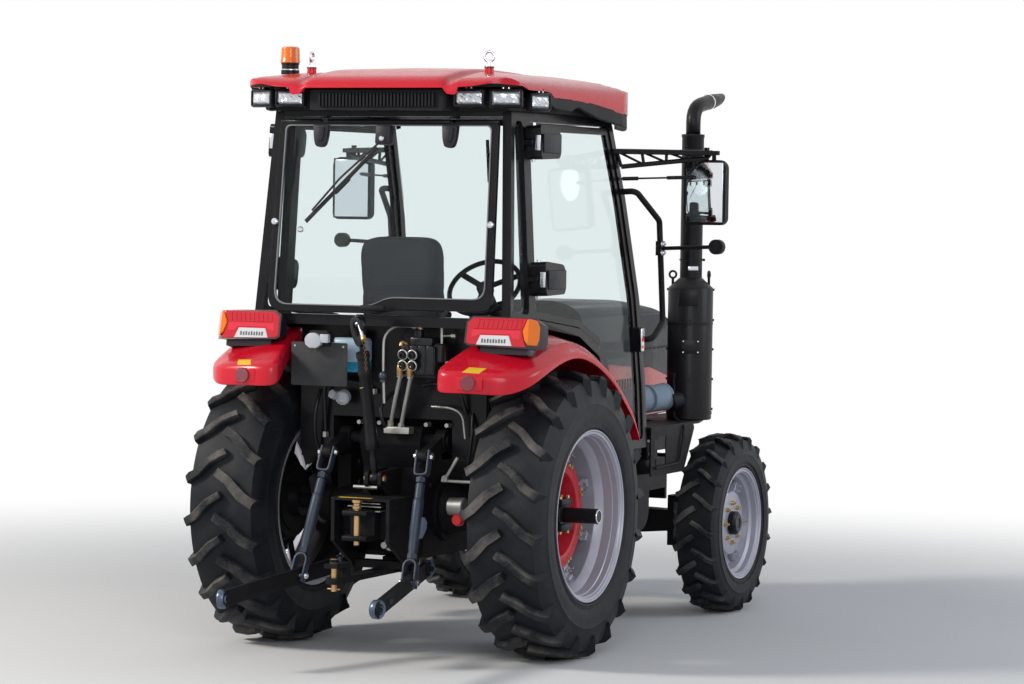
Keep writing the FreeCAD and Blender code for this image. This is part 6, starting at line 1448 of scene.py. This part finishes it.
for y in (-0.335, -0.215, 0.06, 0.18):
    stud(bm, (-0.3, y, 1.235), (-1, 0, 0), 0.013, 0.05)
piece_of("hose_fittings", bm, pipe_steel)

# Rear window: one pane in a pressed steel frame, sealed with grey rubber and hung from two moulded hinge
# covers. Its lower rail steps up on the right; a wiper hangs from the head and a grip latch closes it at
# the sill.
def rounded(corners, steps=6):
    """Closed outline of (y, z) points whose corners are rounded by the radius given with each."""
    line = []
    for i, (y, z, radius) in enumerate(corners):
        at = Vector((y, z))
        before, after = Vector(corners[i - 1][:2]), Vector(corners[(i + 1) % len(corners)][:2])
        start = at + (before - at).normalized() * min(radius, (before - at).length * 0.49)
        last = at + (after - at).normalized() * min(radius, (after - at).length * 0.49)
        for step in range(steps + 1):
            t = step / steps
            line.append(start.lerp(at, t).lerp(at.lerp(last, t), t))
    return line


def frame_ring(bm, outer, inner, low_x, high_x, place):
    """A flat frame between two outlines with as many points each."""
    loops = [[bm.verts.new(place @ Vector((x, p.x, p.y))) for p in line]
             for x, line in ((low_x, outer), (low_x, inner), (high_x, inner), (high_x, outer))]
    for first, second in zip(loops, loops[1:] + loops[:1]):
        for i in range(len(first)):
            j = (i + 1) % len(first)
            bm.faces.new((first[i], first[j], second[j], second[i]))


window = posed((-0.372, 0, 2.846), 5.71, "Y")
edge_line = rounded([(0.64, -0.027, 0.02), (-0.64, -0.027, 0.02), (-0.655, -1.012, 0.06), (-0.1, -1.012, 0.04),
                     (0.0, -1.035, 0.04), (0.655, -1.035, 0.09)])
pane_line = rounded([(0.604, -0.04, 0.03), (-0.604, -0.04, 0.03), (-0.616, -0.952, 0.07),
                     (-0.055, -0.952, 0.05), (0.045, -1.0, 0.05), (0.618, -1.0, 0.085)])
bm = bmesh.new()
frame_ring(bm, edge_line, pane_line, -0.034, -0.008, window)
for low, high in ((-0.636, -0.393), (-0.361, 0.361), (0.393, 0.636)):
    slab(bm, (-0.034, low, -0.036), (-0.008, high, -0.009), 0.003, window)
ring = piece_of("rear_window_rail", bm, cab_black, 40, body="rear_window")
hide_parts("rear_window_frame")
rolled = ring.modifiers.new("RolledEdges", "BEVEL")
rolled.width, rolled.segments, rolled.limit_method = 0.003, 2, "ANGLE"
seal_grey = finish("seal_grey", (0.2, 0.21, 0.22), rough=0.45, dust=0.1, mottle=0.3)
bm = bmesh.new()
inner_line = rounded([(0.598, -0.046, 0.03), (-0.598, -0.046, 0.03), (-0.61, -0.946, 0.07),
                      (-0.058, -0.946, 0.05), (0.042, -0.994, 0.05), (0.612, -0.994, 0.085)])
frame_ring(bm, pane_line, inner_line, -0.039, -0.03, window)
piece_of("rear_window_seal", bm, seal_grey, 40, body="rear_window")
cover_grey = finish("hinge_cover", (0.018, 0.018, 0.024), rough=0.42, dust=0.1, mottle=0.3, grain=900,
                    relief=0.2, gloss=0.2)
bm = bmesh.new()
for y in (-0.377, 0.377):
    tongue = rounded([(y - 0.046, -0.044, 0.006), (y - 0.041, -0.112, 0.02), (y - 0.028, -0.162, 0.022),
                      (y + 0.028, -0.162, 0.022), (y + 0.041, -0.112, 0.02), (y + 0.046, -0.044, 0.006)], 3)
    plate(bm, [(p.x, p.y) for p in tongue], 0.034, window @ Matrix.Translation((-0.072, 0, 0)), 0.006)
    plate(bm, [(y + (p.x - y) * 0.55, -0.085 + (p.y + 0.085) * 0.62) for p in tongue], 0.012,
          window @ Matrix.Translation((-0.08, 0, 0)), 0.004)
slab(bm, (-0.092, -0.045, -0.148), (-0.035, 0.045, -0.046), 0.01, window)
piece_of("rear_window_hinges", bm, cover_grey, body="rear_window")
wiper_black = finish("wiper_black", (0.01, 0.01, 0.012), rough=0.35, dust=0.05, coat=0.1)
bm = bmesh.new()
tube_along(bm, [window @ Vector(p) for p in ((-0.07, 0.0, -0.12), (-0.082, 0.02, -0.138), (-0.084, 0.24, -0.33),
                                              (-0.07, 0.4, -0.5))], 0.0058, 8)
blade_from, blade_to = Vector((-0.06, 0.04, -0.165)), Vector((-0.058, 0.44, -0.56))
along_blade = (blade_to - blade_from).normalized()
turn = window @ Matrix.Translation(blade_from) @ along_blade.to_track_quat("Z", "X").to_matrix().to_4x4()
blade_long = (blade_to - blade_from).length
slab(bm, (-0.01, -0.005, 0), (0.012, 0.005, blade_long), 0.002, turn)
slab(bm, (-0.016, -0.009, blade_long * 0.4), (0.01, 0.009, blade_long * 0.6), 0.003, turn)
piece_of("rear_wiper", bm, wiper_black, body="rear_window")
bm = bmesh.new()
lathe(bm, [(0, 0), (0, 0.016), (0.01, 0.016), (0.016, 0.01), (0.016, 0)],
      window @ posed((-0.036, 0.478, -0.6), -90, "Y"))
lathe(bm, [(0, 0), (0, 0.015), (0.01, 0.015), (0.016, 0.009), (0.016, 0)],
      window @ posed((-0.094, 0.0, -0.118), -90, "Y"))
for y in (-0.631, 0.631):
    lathe(bm, [(0, 0), (0, 0.018), (0.01, 0.02), (0.02, 0.017), (0.026, 0.008), (0.026, 0)],
          window @ posed((-0.036, y, -0.56), -90, "Y"))
piece_of("rear_window_knobs", bm, zinc_silver, body="rear_window")
bm = bmesh.new()
tube_along(bm, [window @ Vector(p) for p in ((-0.03, 0, -1.01), (-0.095, 0, -1.01))], 0.016, 16)
slab(bm, (-0.106, -0.072, -1.026), (-0.084, 0.072, -0.996), 0.01, window)
for flip in (1, -1):
    tube_along(bm, [window @ Vector(p) for p in ((0.02, 0.556 * flip, -0.11), (0.03, 0.575 * flip, -0.33))],
               0.009, 12)
    tube_along(bm, [window @ Vector(p) for p in ((0.03, 0.575 * flip, -0.33), (0.022, 0.6 * flip, -0.56))],
               0.0045, 10)
piece_of("rear_window_latch", bm, moulded_black, body="rear_window")

# Silencer and stack: rolled steel sprayed heat-proof black, with pressed bands, two lifting rings and a
# bright edge left bare at the cut end of the pipe. A woven blue-grey sleeve lags the hot elbow below it.
bm = bmesh.new()
silencer = Matrix.Translation((2.224, -0.7, 0))


def on_silencer(turn, radius, z):
    """The matrix that faces a plate out from the silencer, its turn in degrees from straight ahead."""
    way = math.radians(turn)
    return silencer @ Matrix.Rotation(way, 4, "Z") @ Matrix.Translation((radius, 0, z))


for z, radius in ((1.19, 0.134), (1.716, 0.1335)):
    lathe(bm, [(z - 0.009, 0.13), (z - 0.008, radius + 0.0015), (z + 0.008, radius + 0.0015),
               (z + 0.009, 0.13)], silencer, 48)
lathe(bm, [(2.084, 0.064), (2.085, 0.07), (2.095, 0.07), (2.096, 0.064)], silencer, 40)
for turn, swing in ((111, 0), (291, 75), (21, 0)):
    at = on_silencer(turn, 0.106, 2.002).to_translation()
    ring_at(bm, at, Matrix.Rotation(math.radians(turn + swing), 3, "Z"), 0.02, 0.0065, 20, 8)
    tube_along(bm, [on_silencer(turn, 0.106, 1.935).translation, on_silencer(turn, 0.106, 1.984).translation],
               0.008, 12)
for turn in (111, 291, 21, 201):
    for z in (1.212, 1.388, 1.564, 1.736, 1.915):
        place = on_silencer(turn, 0.131, z)
        stud(bm, place.to_translation(), place.to_3x3() @ Vector((1, 0, 0)), 0.0075, 0.009)
slab(bm, (-0.004, -0.056, -0.048), (0.007, 0.056, 0.05), 0.003, on_silencer(196, 0.129, 1.87))
slab(bm, (-0.004, -0.052, -0.041), (0.005, 0.052, 0.041), 0.002, on_silencer(203, 0.129, 1.582))
stud(bm, on_silencer(285, 0.069, 2.09).to_translation(), (0, -1, 0), 0.008, 0.012)
lathe(bm, [(1.15, 0.0), (1.15, 0.124), (1.156, 0.1325), (1.92, 0.133), (1.926, 0.13), (1.981, 0.07),
           (1.984, 0.0655), (2.806, 0.065), (2.81, 0.068), (2.826, 0.068), (2.828, 0.05), (2.82, 0.0)],
      silencer, 48)
pipe_line = [silencer @ Vector(p) for p in ((0, 0, 2.815), (0, 0, 2.985), (0.23, 0, 3.022), (0.396, 0, 3.04))]
pipe = tube_along(bm, pipe_line, 0.043, 32, 0.13, ends=False)
tube_along(bm, [silencer @ Vector(p) for p in ((-0.1, 0.02, 1.265), (-0.15, 0.06, 1.255))], 0.062, 24)
end_x = max(v.co.x for v in pipe)
for v in pipe:
    if v.co.x > end_x - 0.03:
        v.co.x += 1.35 * (v.co.z - 3.04)
exhaust = piece_of("silencer_and_stack", bm, heat_black, 40)
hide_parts("exhaust")
thick = exhaust.modifiers.new("PipeWall", "SOLIDIFY")
thick.thickness = 0.002
bm = bmesh.new()
lathe(bm, [(0.0, 0.0432), (0.0, 0.0455), (0.016, 0.0455), (0.016, 0.0432)], Matrix.Translation(pipe_line[2]) @ (
    pipe_line[3] - pipe_line[2]).to_track_quat("Z", "X").to_matrix().to_4x4(), 40)
slab(bm, (-0.002, -0.03, -0.012), (0.003, 0.03, 0.012), 0.002, on_silencer(212, 0.0655, 2.04))
for across in (-0.043, 0.043):
    for up in (-0.032, 0.032):
        place = on_silencer(203, 0.133, 1.582)
        stud(bm, place @ Vector((0, across, up)), place.to_3x3() @ Vector((1, 0, 0)), 0.0045, 0.004)
piece_of("stack_clamps", bm, zinc_silver)
bm = bmesh.new()
tube_along(bm, [on_silencer(160, 0.14, 1.395).translation, on_silencer(166, 0.152, 1.345).translation,
                on_silencer(167, 0.152, 1.17).translation, (1.86, -0.816, 1.135),
                (1.79, -0.816, 0.925), (1.42, -0.816, 0.915)], 0.007, 12, 0.03)
slab(bm, (-0.01, -0.018, -0.016), (0.02, 0.018, 0.016), 0.004, on_silencer(158, 0.132, 1.41))
piece_of("silencer_lead", bm, moulded_black)
lagging = finish("lagging_cloth", (0.3, 0.38, 0.47), rough=0.85, dust=0.1, mottle=0.5, grain=260, relief=0.9)
bm = bmesh.new()
tube_along(bm, [(1.8, -0.5, 1.268), (1.92, -0.52, 1.27), (2.09, -0.6, 1.285)],
           0.079, 32, 0.08)
for t in (0.05, 0.5, 0.96):
    at = Vector((1.8, -0.5, 1.268)).lerp(Vector((2.09, -0.6, 1.285)), t)
    lathe(bm, [(-0.006, 0.07), (-0.006, 0.0815), (0.006, 0.0815), (0.006, 0.07)],
          Matrix.Translation(at) @ Vector((0.29, -0.1, 0.017)).to_track_quat("Z", "X").to_matrix().to_4x4(), 32)
piece_of("elbow_lagging", bm, lagging, 50)

# Hood: grey pressed steel above, and a red pressed panel bolted on below the crease on either side.
# Rows of louvres are punched into the panels to let the hot air out; a thin strip covers the crease.
hood_red = finish("hood_side_red", (0.66, 0.012, 0.016), rough=0.28, dust=0.08, mottle=0.15, coat=0.25,
                  dust_colour=(0.3, 0.1, 0.07), gloss=0.3)
hood_shape = BVHTree.FromPolygons([v.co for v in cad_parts["hood"].data.vertices],
                                         [p.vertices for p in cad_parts["hood"].data.polygons])


def lay_on_hood(verts, flip):
    """Pull a flat panel in until it follows the hood's own curve and stands off it as it was drawn."""
    for v in verts:
        hit = hood_shape.ray_cast(Vector((v.co.x + axle.x, flip * 0.9, v.co.z)), Vector((0, -flip, 0)))[0]
        if hit:
            v.co.y += hit.y - 0.37 * flip


for side, flip in both_sides:
    bm = bmesh.new()
    rows = [(1.5, 1.158, 1.5)] + [(1.6 + 0.08 * i, 1.158, 1.487 - 0.0053 * i) for i in range(10)]
    rows += [(2.4 + 0.0545 * i, 1.158, 1.44 - 0.01 * i) for i in range(10)] + [(2.94, 1.178, 1.343),
                                                                               (2.972, 1.198, 1.338)]
    grid = [[bm.verts.new((x, 0.37 * flip, low + (high - low) * j / 4)) for j in range(5)] for x, low,
            high in rows]
    for a, b in zip(grid, grid[1:]):
        for j in range(4):
            bm.faces.new((a[j], b[j], b[j + 1], a[j + 1]))
    pull_out(bm, bm.faces[:], (0, 0.006 * flip, 0))
    lay_on_hood(bm.verts, flip)
    piece_of(f"hood_side_panel_{side}", bm, hood_red, body="hood")
    bm = bmesh.new()
    for i in range(14):
        x = 1.75 + 0.042 * i
        slab(bm, (x, 0.374 * flip, 1.235), (x + 0.024, 0.379 * flip, 1.385), 0.002)
    for i in range(18):
        x = 1.52 + 0.08 * i
        slab(bm, (x, 0.366 * flip, 1.545), (x + 0.081, 0.3725 * flip, 1.558), 0.001)
    lay_on_hood(bm.verts, flip)
    piece_of(f"hood_louvres_{side}", bm, moulded_black, body="hood")

# Mirrors: silvered flat glass let into a moulded shell on an arm welded from two tubes with rods between.
# A thin bent steel stay braces the arm to the post of the cab.
mirror_silver = finish("mirror_silver", (0.72, 0.75, 0.79), rough=0.04, metal=1.0, dust=0.0, mottle=0.0,
                       relief=0.0)
for side, flip in both_sides:
    bm = bmesh.new()
    slab(bm, (1.356, 1.0 * flip, 2.316), (1.361, 1.218 * flip, 2.65), 0.002)
    piece_of(f"mirror_glass_{side}", bm, mirror_silver)
    bm = bmesh.new()
    for inner in (0.992, 1.217):
        slab(bm, (1.354, inner * flip, 2.308), (1.366, (inner + 0.009) * flip, 2.658), 0.003)
    for z in (2.308, 2.649):
        slab(bm, (1.354, 0.992 * flip, z), (1.366, 1.226 * flip, z + 0.009), 0.003)
    arm_from, arm_to = Vector((1.052, 0.701 * flip, 2.704)), Vector((1.385, 1.14 * flip, 2.704))
    low_from, low_to = arm_from + Vector((0.02, 0.02 * flip,
                                          -0.085)), arm_to + Vector((-0.02, -0.02 * flip, -0.03))
    tube_along(bm, [low_from, low_from.lerp(low_to, 0.6), low_to], 0.0135, 12)
    tube_along(bm, [arm_from, arm_to], 0.0155, 12)
    for t in (0.0, 0.26, 0.52, 0.78, 1.0):
        tube_along(bm, [arm_from.lerp(arm_to, t), low_from.lerp(low_to, t)], 0.009, 12)
    for t in (0.13, 0.39, 0.65):
        tube_along(bm, [arm_from.lerp(arm_to, t - 0.13), low_from.lerp(low_to, t + 0.13)], 0.007, 10)
    tube_along(bm, [(1.384, 1.108 * flip, 2.64), (1.384, 1.108 * flip, 2.73)], 0.014, 16)
    stud(bm, (1.384, 1.108 * flip, 2.722), (0, 0, 1), 0.018, 0.012)
    brace = [Vector((1.085, 0.715 * flip, 2.552)), Vector((1.372, 1.06 * flip, 2.568))]
    tube_along(bm, brace, 0.0055, 10)
    tube_along(bm, [brace[0].lerp(brace[1], 0.6), brace[1]], 0.0105, 12)
    tube_along(bm, [brace[0].lerp(brace[1], 0.02), brace[0].lerp(brace[1], 0.22)], 0.011, 12)
    piece_of(f"mirror_arm_web_{side}", bm, lamp_black)

# Grab handles: bent steel tube sprayed black, held to the front post by a forged block.
# Four zinc-plated bolts with washers go through each block.
for side, flip in both_sides:
    bm = bmesh.new()
    for x in (1.346, 1.386):
        for z in (2.14, 2.19):
            stud(bm, (x, 0.861 * flip, z), (0, flip, 0), 0.009, 0.01)
            stud(bm, (x, 0.861 * flip, z), (0, flip, 0), 0.013, 0.003, 16)
    piece_of(f"clamp_bolts_{side}", bm, zinc_silver)

# Door hinges: a zinc-plated bracket and pin at two heights on each door, the pin capped at both ends.
# A moulded cover with a raised face is snapped over the bracket.
for side, flip in both_sides:
    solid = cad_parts[f"door_frame_{side}"].data.vertices
    bm, cover = bmesh.new(), bmesh.new()
    for z in (2.01, 2.725):
        near = [v.co - axle for v in solid if abs(v.co.z - z) < 0.075 and abs(v.co.y) > 0.735 and v.co.x
                - axle.x < 0.06]
        rear, reach = min(p.x for p in near), max(abs(p.y) for p in near)
        slab(bm, (rear - 0.003, (reach - 0.037) * flip, z - 0.04), (rear + 0.003, (reach - 0.008) * flip,
                                                                    z + 0.04), 0.0015)
        stud(bm, (-0.205, (reach - 0.058) * flip, z + 0.088), (0, 0, 1), 0.011, 0.016, 16)
        stud(bm, (-0.205, (reach - 0.058) * flip, z - 0.086), (0, 0, -1), 0.011, 0.016, 16)
        slab(cover, (rear + 0.02, (reach - 0.004) * flip, z - 0.052),
             (max(p.x for p in near) - 0.012, (reach + 0.005) * flip, z + 0.048), 0.006)
    piece_of(f"hinge_pins_{side}", bm, zinc_silver, body=f"door_{side}")
    piece_of(f"hinge_covers_{side}", cover, cover_grey, body=f"door_{side}")


# Door handles: a chromed cast pull set into a black moulded plate that is screwed to the door frame.
# Red and amber reflecting strips are glued behind the clear window in it.
def side_reach(node, low, high):
    """How far out a CAD solid comes between two corners of x and z."""
    return max(abs(v.co.y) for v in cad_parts[node].data.vertices if low[0] - 0.02 <= v.co.x
               - axle.x <= high[0] + 0.02 and low[1] - 0.02 <= v.co.z <= high[1] + 0.02)


for side, flip in both_sides:
    body = f"door_{side}"
    low, high = (1.216, 1.58), (1.268, 1.72)
    reach = side_reach(f"door_frame_{side}", low, high)
    bm = bmesh.new()
    slab(bm, (low[0] + 0.004, reach * flip, 1.586), (high[0] - 0.004, (reach + 0.007) * flip, 1.714), 0.003)
    piece_of(f"door_handle_chrome_{side}", bm, zinc_silver, body=body)
    for part, paint, z_low, z_high in (("red", lens_red_light, 1.64, 1.664),
                                       ("amber", lens_amber, 1.604, 1.618)):
        bm = bmesh.new()
        slab(bm, (low[0] + 0.009, (reach + 0.006) * flip, z_low), (high[0] - 0.009, (reach + 0.01) * flip,
                                                                   z_high), 0.0015)
        piece_of(f"door_handle_{part}_{side}", bm, paint, body=body)

# Guard plates: black folded sheet bolted along the engine under the hood and behind the bracket window.
# A filter with its fittings stands in front of the plate.
bm = bmesh.new()
slab(bm, (1.33, -0.6, 0.8), (1.6, -0.59, 1.149), 0.002)
slab(bm, (1.4, -0.76, 0.876), (1.58, -0.6, 0.96), 0.01)
for flip in (1, -1):
    slab(bm, (1.56, 0.362 * flip, 0.93), (2.7, 0.371 * flip, 1.15), 0.003)
slab(bm, (1.48, -0.74, 0.96), (1.53, -0.7, 1.06), 0.008)
bottom = [(1.605, 0.925), (1.85, 0.925), (1.935, 1.1), (1.605, 1.1)]
cover = bm.faces.new([bm.verts.new((x, -0.8045, z)) for x, z in bottom])
pull_out(bm, [cover], (0, 0.006, 0))
piece_of("bracket_guard", bm, chassis_black)
bm = bmesh.new()
tube_along(bm, [(1.505, -0.72, 1.055), (1.505, -0.72, 1.1)], 0.02, 16)
stud(bm, (1.56, -0.7, 0.96), (0, 0, 1), 0.022, 0.04, 16)
stud(bm, (1.5, -0.742, 0.985), (0, -1, 0), 0.012, 0.01, 16)
piece_of("filter_fittings", bm, lamp_grey)

# Seat: foam pads in dark woven cloth, sewn in panels, on a black box with bellows. Each pad is one crowned
# closed form with its sides pulled in and a piped seam round the edge.
def pad(bm, middle, half, bulge, grooves, tilt=0.0):
    """A crowned cushion: a superellipsoid block whose face carries sewn channels at the given heights."""
    before = set(bm.verts)
    bmesh.ops.create_cube(bm, size=2.0)
    new = [v for v in bm.verts if v not in before]
    edges = list({e for v in new for e in v.link_edges})
    bmesh.ops.subdivide_edges(bm, edges=edges, cuts=23, use_grid_fill=True)
    new = [v for v in bm.verts if v not in before]
    for v in new:
        x, y, z = v.co
        length = (abs(x) ** 6 + abs(y) ** 6 + abs(z) ** 6) ** (1 / 6)
        p = Vector((x, y, z)) / length
        crown = (1 - p.y * p.y) * (1 - p.z * p.z)
        p.x += math.copysign(bulge * crown / half[0], p.x)
        for at in grooves:
            p.x -= math.copysign(0.007 / half[0] * math.exp(-((p.z - at) / 0.045) ** 2), p.x) * (abs(p.x) > 0.5)
        p.x -= math.copysign(0.006 / half[0] * math.exp(-((abs(p.y) - 0.62) / 0.05) ** 2),
                             p.x) * (abs(p.x) > 0.5)
        v.co = Vector((p.x * half[0], p.y * half[1] * (1 - 0.05 * (1 - abs(p.z))), p.z * half[2]))
    bmesh.ops.transform(bm, matrix=Matrix.Translation(middle) @ Matrix.Rotation(tilt, 4, "Y"), verts=new)


bm = bmesh.new()
pad(bm, (0.008, 0, 1.59), (0.222, 0.245, 0.05), 0.0, ())
cushion = piece_of("seat_pad", bm, seat_cloth, 60)
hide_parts("seat_cushions")
bm = bmesh.new()
pad(bm, (-0.198, 0, 1.93), (0.062, 0.235, 0.29), 0.01, (-0.45, 0.0, 0.45), math.radians(-6))
back_pad = piece_of("back_pad", bm, seat_cloth, 60)
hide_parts("seat_cushions")

# Levers in the cab: thin steel rods with black moulded knobs, on the right-hand console and the dash.
# The console is a moulded box screwed to the floor beside the seat.
bm = bmesh.new()
for x, y, z, lean, tall in ((0.3, -0.4, 1.5, 0.06, 0.3), (0.38, -0.42, 1.5, 0.05, 0.26),
                            (0.24, -0.37, 1.5, -0.03, 0.24), (0.6, 0.16, 1.42, 0.1, 0.36)):
    foot, head = Vector((x, y, z)), Vector((x + lean, y, z + tall))
    tube_along(bm, [foot, head], 0.007, 10)
    bmesh.ops.create_uvsphere(bm, u_segments=16, v_segments=12, radius=0.022, matrix=Matrix.Translation(head))
slab(bm, (0.1, -0.47, 1.3), (0.52, -0.33, 1.52), 0.02)
piece_of("cab_levers", bm, moulded_black, 50)

low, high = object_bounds()
